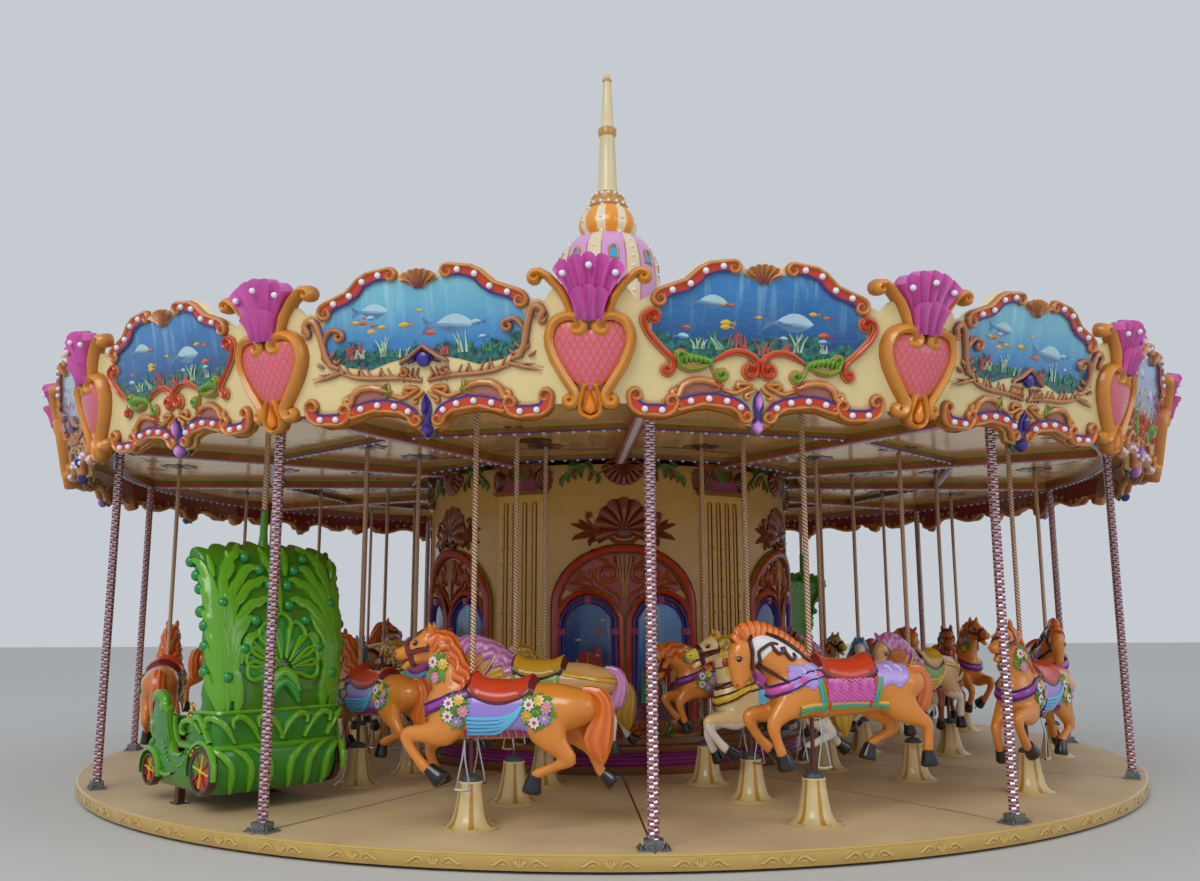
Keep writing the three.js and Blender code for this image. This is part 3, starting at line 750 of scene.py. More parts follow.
def caramelLeafScroll(shape, leafPaint):
    hollow = [(0.50, 0.315), (0.485, 0.375), (0.43, 0.408), (0.36, 0.414), (0.27, 0.395), (0.20, 0.345),
              (0.34, 0.352), (0.43, 0.338)]
    domed(shape, hollow, (0.38, 0.375), ((1.0, 0.003, 0.6), (0.6, 0.0035, 0.2)), "hollowRose")
    arch = scrollPath([(0.505, 0.335), (0.485, 0.385), (0.43, 0.418), (0.36, 0.424), (0.30, 0.412),
                       (0.255, 0.388)],
                      startCurl=(0.026, 1.0, 1))
    shadeHalo(shape, arch, 0.018, 0.040, 0.0018)
    bead(shape, arch, 0.044, 0.036, "caramelScroll", taper=(0.5, 0.4))
    for u, v, tilt in ((0.30, 0.405, 2.3), (0.265, 0.412, 1.8), (0.235, 0.405, 1.4), (0.27, 0.385, 2.9)):
        tip = (u + 0.055 * math.cos(tilt), v + 0.055 * math.sin(tilt))
        stem = smoothPath([(u, v - 0.03), ((u + tip[0]) / 2, (v + tip[1]) / 2), tip], 0.02)
        twoTone(shape, stem, 0.018, 0.034, leafPaint, "caramelScroll", (0.6, 0.1), 0.008)
    swirl = scrollPath([(0.235, 0.368), (0.19, 0.352), (0.14, 0.352), (0.09, 0.378), (0.05, 0.40),
                        (0.085, 0.412), (0.125, 0.41)], endCurl=(0.018, 0.9, -1))
    shadeHalo(shape, swirl, 0.014, 0.034, 0.0022)
    bead(shape, swirl, 0.032, 0.034, "caramelScroll", taper=(0.4, 0.4))
    lower = scrollPath([(0.012, 0.385), (0.04, 0.36), (0.075, 0.345)], endCurl=(0.018, 0.8, -1))
    bead(shape, lower, 0.030, 0.032, "caramelScroll")
    for u, v in ((0.10, 0.395), (0.135, 0.382), (0.045, 0.342)):
        bead(shape, smoothPath([(u, v), (u + 0.04, v + 0.006)], 0.02), 0.016, 0.03, leafPaint,
             taper=(0.3, 0.1))


def pendant(shape, gem):
    plate = [(0, 0.372), (0.030, 0.315), (0.034, 0.262), (0.018, 0.205), (0.030, 0.165), (0.0, 0.110),
             (-0.030, 0.165), (-0.018, 0.205), (-0.034, 0.262), (-0.030, 0.315)]
    cutPlate(shape, plate, -0.012, 0.026, "navyLine")
    upper = [(0, 0.358), (0.022, 0.320), (0.018, 0.270), (0, 0.235), (-0.018, 0.270), (-0.022, 0.320)]
    lower = [(0, 0.188), (0.036, 0.160), (0.034, 0.128), (0, 0.092), (-0.034, 0.128), (-0.036, 0.160)]
    # painted shade at the gems' rims, lightest on top
    for outline, middle in ((upper, 0.30), (lower, 0.145)):
        domed(shape, outline, (0, middle), ((1.0, 0.0, 1.0), (0.96, 0.040, 0.6), (0.5, 0.062, 0.0)), gem)


# Design with red scrolls and green leaves
def scrollDesignHalf(shape):
    side = scrollPath([(0.695, 0.835), (0.735, 0.815), (0.745, 0.765), (0.712, 0.70), (0.655, 0.635),
                       (0.59, 0.585), (0.552, 0.545), (0.545, 0.505),
                       (0.565, 0.468)], (0.036, 1.3, 1), (0.026, 1.2, 1))
    shadeHalo(shape, side, 0.018, 0.044, 0.002)
    twoTone(shape, side, 0.034, 0.040, "redEnamel", "caramelScroll")
    top = scrollPath([(0.30, 0.542), (0.24, 0.575), (0.18, 0.602), (0.12, 0.604), (0.06, 0.588),
                      (0.016, 0.545), (0.014, 0.49)], endCurl=(0.045, 1.35, 1))
    shadeHalo(shape, top, 0.018, 0.042, 0.0024)
    twoTone(shape, top, 0.034, 0.040, "redEnamel", "caramelScroll")
    for reach in range(7):
        t = reach / 6
        start = (0.50 - 0.20 * t, 0.505 + 0.022 * math.sin(t * 3))
        end = (0.53 - 0.17 * t, 0.60 - 0.035 * t)
        bead(shape, smoothPath([start, ((start[0] + end[0]) / 2 - 0.016, (start[1] + end[1]) / 2), end],
                               0.025),
             0.042, 0.040, "leafGreen", taper=(0.4, 0.5))
    rib = scrollPath([(0.285, 0.535), (0.36, 0.502), (0.45, 0.486), (0.512, 0.515), (0.528, 0.565)],
                     endCurl=(0.026, 1.0, 1))
    shadeHalo(shape, rib, 0.014, 0.036, 0.0028)
    twoTone(shape, rib, 0.032, 0.048, "leafGreen", "caramelScroll", (0.3, 0.5))
    curl = scrollPath([(0.315, 0.525), (0.295, 0.49), (0.27, 0.445)], endCurl=(0.034, 1.2, -1))
    twoTone(shape, curl, 0.030, 0.038, "leafGreen", "caramelScroll", (0.5, 0.5))
    shadeHalo(shape, curl, 0.012, 0.03, 0.003)


# Design with brown acanthus and purple hollows
def acanthusDesignHalf(shape):
    stem = scrollPath([(0.770, 0.795), (0.790, 0.835), (0.755, 0.868), (0.712, 0.846), (0.690, 0.79),
                       (0.676, 0.72), (0.66, 0.64), (0.625, 0.575), (0.575, 0.555)], (0.018, 0.9, 1))
    shadeHalo(shape, stem, 0.02, 0.046, 0.002)
    bead(shape, stem, 0.048, 0.042, "acanthusBrown", taper=(0.5, 0.6))
    inner = scrollPath([(0.672, 0.70), (0.645, 0.765), (0.60, 0.80), (0.55, 0.79)], endCurl=(0.034, 1.2, 1))
    bead(shape, inner, 0.036, 0.046, "acanthusBrown", taper=(0.4, 0.5))
    for u, v, du, dv in ((0.70, 0.83, 0.045, 0.03), (0.695, 0.80, 0.06, 0.005), (0.66, 0.76, -0.035, 0.06),
                         (0.64, 0.62, -0.05, 0.055), (0.61, 0.58, -0.055, 0.04), (0.66, 0.60, 0.035, 0.06),
                         (0.68, 0.565, 0.05, 0.035), (0.65, 0.52, 0.075, 0.0), (0.60, 0.52, 0.03, -0.02)):
        bead(shape, smoothPath([(u, v), (u + du * 0.6, v + dv * 0.4), (u + du, v + dv)], 0.02), 0.026, 0.036,
             "acanthusBrown", taper=(0.6, 0.1))
    tip = smoothPath([(0.54, 0.535), (0.62, 0.512), (0.70, 0.492), (0.765, 0.474)], 0.025)
    bead(shape, tip, 0.032, 0.032, "acanthusBrown", taper=(0.7, 0.1))
    shadeHalo(shape, tip, 0.014, 0.034, 0.0024)
    for index in range(9):
        u = 0.165 + 0.048 * index
        v = 0.498 + 0.045 * (index / 8) ** 2
        lean = 0.034 if index % 3 else -0.02
        bead(shape, smoothPath([(u, v - 0.028), (u + lean * 0.5, v + 0.012), (u + lean, v + 0.042)], 0.02),
             0.034, 0.038, "acanthusBrown", taper=(0.7, 0.3))
    foot = smoothPath([(0.02, 0.452), (0.12, 0.472), (0.24, 0.478), (0.36, 0.480), (0.46, 0.492),
                       (0.56, 0.52)], 0.03)
    bead(shape, foot, 0.030, 0.032, "acanthusBrown", taper=(0.8, 0.5))
    shadeHalo(shape, foot, 0.014, 0.036, 0.0028)
    for index in range(4):
        u = 0.03 + 0.036 * index
        bead(shape, smoothPath([(u, 0.445), (u + 0.028, 0.49), (u + 0.008, 0.535)], 0.02), 0.028, 0.040,
             "acanthusBrown", taper=(0.4, 0.4))
    arch = smoothPath([(0.0, 0.668), (0.035, 0.645), (0.075, 0.612), (0.115, 0.586), (0.15, 0.572),
                       (0.155, 0.555)], 0.02)
    bead(shape, arch, 0.032, 0.046, "acanthusBrown", taper=(0.9, 0.5))
    line = smoothPath([(0.0, 0.636), (0.04, 0.612), (0.066, 0.575), (0.11, 0.562)], 0.02)
    bead(shape, line, 0.018, 0.044, "navyLine")
    volute = scrollPath([(0.16, 0.535), (0.13, 0.53)], endCurl=(0.026, 1.2, 1))
    bead(shape, volute, 0.026, 0.042, "acanthusBrown")


def cabochon(shape, centre, radius, height, paint):
    # painted shade at the rim, lightest on the top
    levels = [(scale, centre[2] + height * rise, tone)
              for scale, rise, tone in ((1.0, 0.0, 1.0), (0.85, 0.62, 0.5), (0.5, 0.92, 0.1))]
    domed(shape, circle(centre, radius, 14), centre[:2], levels, paint)


# Picture panel inside the frame, with a few made-up fish and weed laid on it
pictureHalf = [(0.0, 1.04), (0.09, 1.072), (0.15, 1.09), (0.25, 1.088), (0.33, 1.074), (0.37, 1.045),
               (0.41, 0.995), (0.47, 0.962), (0.56, 0.935), (0.62, 0.89), (0.69, 0.80), (0.69, 0.72),
               (0.62, 0.62), (0.52, 0.56), (0.36, 0.535), (0.24, 0.575), (0.12, 0.60), (0.0, 0.572)]


def fishShape(shape, u, v, length, way, paint, level):
    body = []
    for t in np.linspace(0, 1, 9):
        body.append((t, 0.24 * math.sin(math.pi * min(1.0, t * 1.08)) ** 0.8))
    upper = body[:-1] + [(0.98, 0.04), (1.25, 0.2), (1.17, 0.0)]
    lower = [(x, -y * 0.85) for x, y in body[1:-1]] + [(0.98, -0.04), (1.25, -0.2)]
    outline = [(u + way * length * x, v + length * y) for x, y in upper + lower[::-1]]
    flat = np.array([(x, y, level) for x, y in outline])
    triangles = tessellate_polygon([[Vector((x, y, 0)) for x, y in outline]])
    tone = [0.1 if i < len(upper) - 3 else 0.9 for i in range(len(outline))]
    shape.add(flat, [orient(flat, t) for t in triangles], paint, tone)


def weedTuft(shape, u, v, height, paint, level, random):
    for _ in range(5):
        sway = random.uniform(-0.05, 0.05)
        start = u + random.uniform(-0.03, 0.03)
        path = smoothPath([(start, v), (start + sway * 0.3, v + height * 0.5),
                           (start + sway, v + height * random.uniform(0.8, 1.1))], 0.03)
        count = len(path)
        wide = 0.009 * np.linspace(1, 0.2, count)
        side = sideways(path)
        points = np.zeros((2 * count, 3))
        points[:count, :2] = path - side * wide[:, None]
        points[count:, :2] = path + side * wide[:, None]
        points[:, 2] = level
        shape.add(points, gridFaces(2, count), paint, [0.7] * count + [0.1] * count)


def picturePanel(shape, paint, seed):
    random = np.random.default_rng(seed)
    outline = np.array(pictureHalf + [(-u, v) for u, v in pictureHalf[-2:0:-1]])
    flat = np.column_stack([outline, np.full(len(outline), 0.004)])
    triangles = tessellate_polygon([[Vector((x, y, 0)) for x, y in outline]])
    shape.add(flat, [orient(flat, t) for t in triangles], paint)
    kinds = ["yellowFish", "orangeFish", "silverFish"]
    for index in range(13):
        u = random.uniform(-0.5, 0.5)
        v = random.uniform(0.68, 1.0 - 0.35 * abs(u))
        size = random.uniform(0.035, 0.085)
        fishShape(shape, u, v, size, random.choice([-1, 1]), kinds[index % 3], 0.0052 + 0.0002 * index)
    for u, v, size, way in ((0.34, 0.79, 0.27, -1), (-0.22, 0.90, 0.20, -1)):
        fishShape(shape, u, v, size, way, "silverFish", 0.0046)
    for index in range(12):
        u = random.uniform(-0.56, 0.56)
        v = 0.585 + 0.03 * abs(math.sin(u * 5))
        kind = ["weed", "coral", "paleCoral"][index % 3]
        weedTuft(shape, u, v, random.uniform(0.05, 0.13), kind, 0.0082 + 0.0002 * index, random)


def boardDesign(kind):
    half, bulbs = Shape(), []
    commonHalf(half, bulbs)
    if kind == "scroll":
        scrollDesignHalf(half)
        caramelLeafScroll(half, "redLeaf")
    else:
        acanthusDesignHalf(half)
        caramelLeafScroll(half, "leafGreen")
    whole = Shape()
    corner = [(boardHalfWidth(0.985), 0.985), (boardHalfWidth(0.262), 0.262)]
    right = frameTopHalf + shoulder + corner + lowerEdgeHalf
    outline = right + [(-u, v) for u, v in right[-2:0:-1]]
    cutPlate(whole, outline, -boards["thickness"], 0.0, "creamPanel", "maroonBack")
    for part in (half, mirroredShape(half)):
        whole.merge(part)
    lip = shifted(smoothPath([(-u, v) for u, v in lowerEdgeHalf] + lowerEdgeHalf[-2::-1], 0.03), -0.012)
    down = np.array([0, 0, -1.0])
    laid(whole, [(np.array([u, v, 0.004 - boards["thickness"]]), down) for u, v in lip], 0.040, 0.018,
         "heartGold", (1, 0.2))
    ellipsoid(whole, (0, 0.135, -0.030), (0.042, 0.052, 0.026), "backDrop", 12, 8)
    crownShell(whole)
    pendant(whole, "lilacPendant" if kind == "scroll" else "pendantNavy")
    if kind == "acanthus":
        cabochon(whole, (0, 0.585, 0.012), 0.05, 0.032, "pendantNavy")
    picturePanel(whole, "reef" if kind == "scroll" else "lagoon", 5 if kind == "scroll" else 11)
    bulbs = bulbs + [(-u, v, w) for u, v, w in bulbs]
    return whole, bulbs


def heartDesign():
    shape, bulbs = Shape(), []
    path = smoothPath([(0.0, 0.705), (0.06, 0.740), (0.13, 0.756), (0.195, 0.732), (0.232, 0.66),
                       (0.224, 0.56), (0.165, 0.47), (0.10, 0.395), (0.0, 0.330)], 0.035)
    loop = np.vstack([path, path[-2:0:-1] * [-1, 1]])
    domed(shape, loop, (0.0, 0.58), ((1.0, 0.022, 1.0), (0.86, 0.034, 0.3), (0.6, 0.044, 0.0),
                                     (0.3, 0.048, 0.0)), "lattice")
    for sign in (1, -1):
        gold = scrollPath([(0.050, 0.755), (0.090, 0.782), (0.150, 0.785), (0.210, 0.755), (0.244, 0.690),
                           (0.244, 0.61), (0.210, 0.515), (0.160, 0.430), (0.110, 0.355), (0.085, 0.31),
                           (0.096, 0.268)],
                          (0.044, 1.25, 1), (0.032, 1.2, 1)) * [sign, 1]
        drop = smoothPath([(0.0, 0.385), (0.036, 0.365), (0.056, 0.30), (0.066, 0.24), (0.046, 0.190),
                           (0.0, 0.172)],
                          0.02) * [sign, 1]
        horn = scrollPath([(0.105, 0.790), (0.128, 0.84), (0.150, 0.905), (0.195, 0.97), (0.255, 1.03),
                           (0.305, 1.058), (0.340, 1.052)], endCurl=(0.030, 1.2, -1)) * [sign, 1]
        for line, width, height, taper in ((gold, 0.074, 0.085, (0.5, 0.5)), (drop, 0.040, 0.078, (0.7, 1.0)),
                                           (horn, 0.058, 0.080, (0.9, 0.6))):
            bead(shape, line if sign > 0 else line[::-1], width, height, "heartGold", base=-0.02,
                 taper=taper if sign > 0 else taper[::-1], free=-0.03)
        disc(shape, (sign * 0.062, 0.712), 0.050, 0.040, "heartGold", 0.9)
    cutPlate(shape, [(-0.04, 0.33), (-0.05, 0.22), (0, 0.19), (0.05, 0.22), (0.04, 0.33), (0.0, 0.36)],
             -0.03, 0.02, "heartGold")
    tear = [(0, 0.345), (0.022, 0.290), (0.038, 0.245), (0.030, 0.208), (0, 0.192), (-0.030, 0.208),
            (-0.038, 0.245), (-0.022, 0.290)]
    # painted shade at the drop's rim, lightest on top
    domed(shape, tear, (0, 0.25), ((1.0, 0.02, 1.0), (0.9, 0.045, 0.5), (0.5, 0.060, 0.0)), "orangeDrop")
    flutedFan(shape, 0.77, 1.055, 0.075, 0.086, 0.218, 5, 0.030, 0.036, "magentaShell", 0.034, 0.03)
    flutedFan(shape, 0.755, 0.905, 0.040, 0.082, 0.118, 3, 0.062, 0.030, "magentaShell", 0.024)
    for u, v in ((-0.158, 1.036), (0.0, 1.082), (0.158, 1.036)):
        bulbs.append((u, v, 0.078))
    return shape, bulbs


# Bulbs and studs by Geometry Nodes: one small ball on every point, turned to the direction stored on it
def bulbTree():
    tree = bpy.data.node_groups.new("bulbs", "GeometryNodeTree")
    tree.interface.new_socket("Geometry", in_out="INPUT", socket_type="NodeSocketGeometry")
    kinds = {"Radius": "Float", "Segments": "Int", "Rings": "Int", "Finish": "Material"}
    sockets = {}
    for name, kind in kinds.items():
        socket = tree.interface.new_socket(name, in_out="INPUT", socket_type="NodeSocket" + kind)
        sockets[name] = socket.identifier
    tree.interface.new_socket("Geometry", in_out="OUTPUT", socket_type="NodeSocketGeometry")
    start = addNode(tree, "NodeGroupInput")
    facing = addNode(tree, "GeometryNodeInputNamedAttribute", {"Name": "facing"}, "Attribute",
                     data_type="FLOAT_VECTOR")
    turn = addNode(tree, "FunctionNodeAlignRotationToVector", {"Vector": facing}, "Rotation", axis="Z")
    sizes = {name: start.outputs[name] for name in ("Radius", "Segments", "Rings")}
    ball = addNode(tree, "GeometryNodeMeshUVSphere", sizes, "Mesh")
    spots = {"Points": start.outputs["Geometry"], "Instance": ball, "Rotation": turn}
    copies = addNode(tree, "GeometryNodeInstanceOnPoints", spots, "Instances")
    real = addNode(tree, "GeometryNodeRealizeInstances", {"Geometry": copies}, "Geometry")
    smooth = addNode(tree, "GeometryNodeSetShadeSmooth", {"Geometry": real}, "Geometry")
    finish = {"Geometry": smooth, "Material": start.outputs["Finish"]}
    painted = addNode(tree, "GeometryNodeSetMaterial", finish, "Geometry")
    addNode(tree, "NodeGroupOutput", {"Geometry": painted})
    return tree, sockets


bulbGroup, bulbSockets = bulbTree()


def grow(name, mesh, tree, values):
    source = bpy.data.objects.new(name + "Source", mesh)
    bpy.context.scene.collection.objects.link(source)
    modifier = source.modifiers.new("grow", "NODES")
    modifier.node_group = tree
    for key, value in values.items():
        modifier[key] = value
    graph = bpy.context.evaluated_depsgraph_get()
    grown = bpy.data.meshes.new_from_object(source.evaluated_get(graph))
    grown.name = name
    bpy.data.objects.remove(source)
    piece = bpy.data.objects.new(name, grown)
    bpy.context.scene.collection.objects.link(piece)
    return piece


def growBulbs(name, places, facings, radius, body, finish="bulb", segments=8, rings=4):
    mesh = bpy.data.meshes.new(name + "Points")
    mesh.from_pydata([tuple(p) for p in places], [], [])
    attribute = mesh.attributes.new("facing", "FLOAT_VECTOR", "POINT")
    attribute.data.foreach_set("vector", np.asarray(facings, np.float32).ravel())
    values = {"Radius": radius, "Segments": segments, "Rings": rings, "Finish": paints[finish]}
    piece = grow(name, mesh, bulbGroup, {bulbSockets[key]: value for key, value in values.items()})
    settle(piece, body)
    return piece


def makeBoards():
    designs = {kind: boardDesign(kind) for kind in ("scroll", "acanthus")}
    heart, heartBulbs = heartDesign()
    for quarter in range(4):
        shape, places, facings, sockets = Shape(), [], [], []
        for index in range(4):
            number = quarter * 4 + index
            angle = boards["centre"] + number * boardAngle
            kind = "scroll" if number % 2 == 0 else "acanthus"
            design, bulbs = designs[kind]
            for part, partBulbs, mapping in ((design, bulbs, onBoard(angle)),
                                             (heart, heartBulbs, onJoint(angle - boardAngle / 2))):
                shape.merge(part, mapping)
                low = mapping(np.array([(u, v, w) for u, v, w in partBulbs]))
                high = mapping(np.array([(u, v, w + 1) for u, v, w in partBulbs]))
                places += list(low + 0.008 * (high - low))
                facings += list(high - low)
                sockets += list(mapping(np.array([(u, v, -boards["thickness"]) for u, v, _ in partBulbs])))
        makePiece(f"boards_{quarter + 1}", shape, "rotor", [f"rounding_boards_{quarter + 1}"])
        growBulbs(f"board_bulbs_{quarter + 1}", places, facings, boards["bulbRadius"], "rotor")
        growBulbs(f"socket_backs_{quarter + 1}", sockets, facings, 0.032, "rotor", "backOlive", 6, 3)
    print("boards made")


makeBoards()


# Figure enamels: the sprayed base coat and the hand-painted trappings
addPaints({
    "coatOrange": ("#E08A32", "#B0540E"),
    "coatFawn": ("#D9A76A", "#8A5A30"),
    "coatBay": ("#A8582C", "#5E2C14"),
    "coatCream": ("#E8C890", "#A87844"),
    "coatWhite": ("#EFE9DC", "#B8A890"),
    "muzzleYellow": ("#E6D44A", "#B09A20"),
    "maneFlame": ("#F2812E", "#B8440E"),
    "manePink": ("#E2A2D6", "#A85E9A"),
    "maneDark": ("#5A3018", "#2E170C"),
    "maneBlue": ("#6FB8E8", "#2F6FB8"),
    "tackMaroon": ("#6E1C22", "#3E0E14"),
    "scrollBrown": ("#4A1C16", "#2A0E0A"),
    "clothLilac": ("#9A86D8", "#6A54B0"),
    "swagBlue": ("#6CC4EE", "#2E8CC8"),
    "fringePurple": ("#9A3AA0", "#5E1C6A"),
    "saddleGold": ("#D8A82A", "#8E6410"),
    "stripeOrange": ("#D8742A", "#A04E18"),
    "patchRed": ("#B8241E", "#7A1410"),
    "quiltPink": ("#F07ACB", "#B0308A"),
    "tealPaint": ("#3FB0B4", "#1E7A80"),
    "petalLilac": ("#B49AE6", "#7A5CC0"),
    "petalWhite": ("#F2EEEE", "#C8B8C0"),
    "petalRed": ("#D82A3C", "#9A1428"),
    "petalGold": ("#EBC03A", "#B8801A"),
    "petalPink": ("#EE9AC8", "#B85A94"),
    "petalHeart": ("#F0D84A", "#C89A1A"),
    "hoof": ("#15161A", "#050506"),
    "eyeBlack": ("#08080A", "#020202"),
    "eyeRim": ("#6E7A5A", "#2E3420"),
    "eyeWhite": ("#F4F2F0", "#D0CCC8"),
    "mouthPaint": ("#7A1E1A", "#3E0A0A"),
    "rodMaroon": ("#5A1E22", "#34100F"),
}, "Lacquer", 0.22)


# Polished steel tube of foot bars and fittings: bright, with fine drawing marks
def polishedSteel():
    material, _, shader = newMaterial("polishedSteelTube", 0.16, 1.0, relief=(300.0, 2.0, 0.05, 0.001))
    shader.inputs["Base Color"].default_value = linear("#C8CACC")
    return material


paints["chrome"] = polishedSteel()


# Brass tube with rope twist: painted highlights on the ridges and painted shade in the grooves, which wind
# round the tube's own axis, whose place is the attribute named flat
def twistedTube(name, light, dark, lead, starts, metallic, roughness, groove):
    material, tree, shader = newMaterial(name, roughness, metallic)
    place = addNode(tree, "ShaderNodeTexCoord", out="Object")
    centre = addNode(tree, "ShaderNodeAttribute", out="Vector", attribute_name="flat")
    offset = addNode(tree, "ShaderNodeVectorMath", {0: place, 1: centre}, 0, operation="SUBTRACT")
    parts = addNode(tree, "ShaderNodeSeparateXYZ", {0: offset})
    angle = addNode(tree, "ShaderNodeMath", {0: parts.outputs["Y"], 1: parts.outputs["X"]}, 0,
                    operation="ARCTAN2")
    turns, rise = (addNode(tree, "ShaderNodeMath", {0: value, 1: share}, 0, operation="MULTIPLY")
                   for value, share in ((angle, starts / (2 * math.pi)), (parts.outputs["Z"], starts / lead)))
    phase = addNode(tree, "ShaderNodeMath", {0: rise, 1: turns}, 0, operation="ADD")
    wave = addNode(tree, "ShaderNodeMath", {0: phase, 1: 0.5}, 0, operation="PINGPONG")
    twistReliefAndLight = addNode(tree, "ShaderNodeMapRange", {0: wave, 1: 0.06, 2: groove}, 0)
    # painted light and shade of the twist; the same mask drives the real bump
    colour = addNode(tree, "ShaderNodeMix", {0: twistReliefAndLight, 6: linear(dark), 7: linear(light)}, 2,
                     data_type="RGBA")
    tree.links.new(colour, shader.inputs["Base Color"])
    bump = addNode(tree, "ShaderNodeBump", {"Height": twistReliefAndLight, "Strength": 0.9, "Distance": 0.004}, "Normal")
    tree.links.new(bump, shader.inputs["Normal"])
    return material


paints["twistedBrass"] = twistedTube("twistedBrassTube", "#F0D0AC", "#763A22", 0.078, 3, 0.4, 0.28, 0.32)


# Surface kit: things laid on a body that was fused from rounded limbs
def loft(shape, stations, paint, sides=12, lobes=0, depth=0.0, twist=0.0, step=0.03, tones=(0.0, 0.0)):
    rows = smoothPath(stations, step)
    spine = rows[:, :3]
    ahead = unit(np.gradient(spine, axis=0))
    side = unit(np.array([0, 1.0, 0]) - ahead * ahead[:, 1:2])
    up = np.cross(side, ahead)
    count = len(rows)
    turn = fullTurn(sides)
    reach = np.linspace(0, 1, count)
    swell = 1 + depth * np.cos(lobes * turn[None] + twist * reach[:, None])
    points = (spine[:, None] + side[:, None] * (np.cos(turn)[None] * rows[:, 3:4] * swell)[:, :, None]
              + up[:, None] * (np.sin(turn)[None] * rows[:, 4:5] * swell)[:, :, None])
    ends = np.array([spine[0], spine[-1]])
    faces = gridFaces(count, sides, closed=True, flip=True)
    first, last = count * sides, count * sides + 1
    faces += [(first, j, (j + 1) % sides) for j in range(sides)]
    base = (count - 1) * sides
    faces += [(last, base + (j + 1) % sides, base + j) for j in range(sides)]
    tone = tones[0] + (tones[1] - tones[0]) * np.repeat(reach, sides)
    # painted shade in the grooves between lobes
    if lobes:
        tone = np.clip(tone + 0.7 * (swell.max() - swell).ravel() / max(2 * depth, 1e-6), 0, 1)
    shape.add(np.vstack([points.reshape(-1, 3), ends]), faces, paint, np.append(tone, tones))


class Surface:
    def __init__(self, points, faces):
        self.tree = BVHTree.FromPolygons([tuple(p) for p in points], [tuple(f) for f in faces])

    def cast(self, origin, direction):
        place, normal, _, _ = self.tree.ray_cast(Vector(origin), Vector(direction))
        if place is None:
            place, normal, _, _ = self.tree.find_nearest(Vector(origin))
        return np.array(place), np.array(normal)

    def near(self, point):
        place, normal, _, _ = self.tree.find_nearest(Vector(point))
        return np.array(place), np.array(normal)

    def side(self, x, z, side):
        return self.cast((x, side * 0.6, z), (0, -side, 0))

    def trunk(self, x, turn):
        a = math.radians(turn)
        out = np.array([0, math.sin(a), math.cos(a)])
        return self.cast(np.array([x, 0, horses["trunkAxis"]]) + 0.6 * out, -out)


def wrapped(shape, surface, xs, turns, offsets, paint, tones=None):
    turns = np.asarray(turns, float)
    turns = turns if turns.ndim == 2 else np.tile(turns, (len(xs), 1))
    grid = np.zeros((*turns.shape, 3))
    for i, x in enumerate(xs):
        for j, turn in enumerate(turns[i]):
            place, _ = surface.trunk(x, turn)
            a = math.radians(turn)
            grid[i, j] = place + offsets[i][j] * np.array([0, math.sin(a), math.cos(a)])
    shape.add(grid.reshape(-1, 3), gridFaces(*turns.shape), paint,
              None if tones is None else np.asarray(tones).ravel())


def basis(normal, direction):
    normal = normal / np.linalg.norm(normal)
    first = unit(direction - normal * np.dot(direction, normal))
    return first, np.cross(normal, first), normal


def daisy(shape, place, normal, radius, petal, heart):
    first, second, normal = basis(normal, np.array([0.3, 0.1, 1.0]))
    count = 16
    turns = fullTurn(count)
    outer = radius * np.where(np.arange(count) % 2 == 0, 1.0, 0.72)
    rows = [place + normal * 0.016]
    rows += [place + first * reach * math.cos(t) + second * reach * math.sin(t) + normal * 0.012
             for reach, t in zip(outer, turns)]
    faces = [(0, 1 + k, 1 + (k + 1) % count) for k in range(count)]
    # painted shade in the notches between petals and round the heart's rim
    shape.add(rows, faces, petal, [0.5] + [0.0, 0.6] * (count // 2))
    rows = [place + normal * 0.026]
    rows += [place + 0.34 * radius * (first * math.cos(t) + second * math.sin(t)) + normal * 0.014
             for t in turns[::2]]
    shape.add(rows, [(0, 1 + k, 1 + (k + 1) % 8) for k in range(8)], heart, [0.0] + [0.7] * 8)


def leaf(shape, place, normal, direction, length, width, paint):
    first, second, normal = basis(normal, direction)
    rows = [place - first * length / 2, place + normal * 0.012, place + first * length / 2 + normal * 0.004,
            place + second * width / 2 + normal * 0.002, place - second * width / 2 + normal * 0.002]
    rows = [row + normal * 0.006 for row in rows]
    # painted shade at the leaf's base and sides, none on its raised rib
    shape.add(rows, [(0, 1, 3), (1, 2, 3), (0, 4, 1), (4, 2, 1)], paint, [0.9, 0.0, 0.3, 0.7, 0.7])


# Mounts: figures in metres, nose along +x, outer side +y, height over the deck at the middle of the stroke
horses = {
    "rows": {"outer": (4.45, 1.0), "middle": (3.48, 0.92), "inner": (2.63, 0.8)},
    "chariotBays": (4, 10),
    "restLift": 0.06,
    "poleTop": 3.015,
    "poleRadius": 0.019,
    "rodRadius": 0.0145,
    "voxel": 0.013,
    "triangles": 3000,
    "trunkAxis": 0.83,
    "scaleHeight": 0.6,
    "saddleTop": 1.02,
    "rodFoot": 0.18,
    "rodTop": 0.08,
}

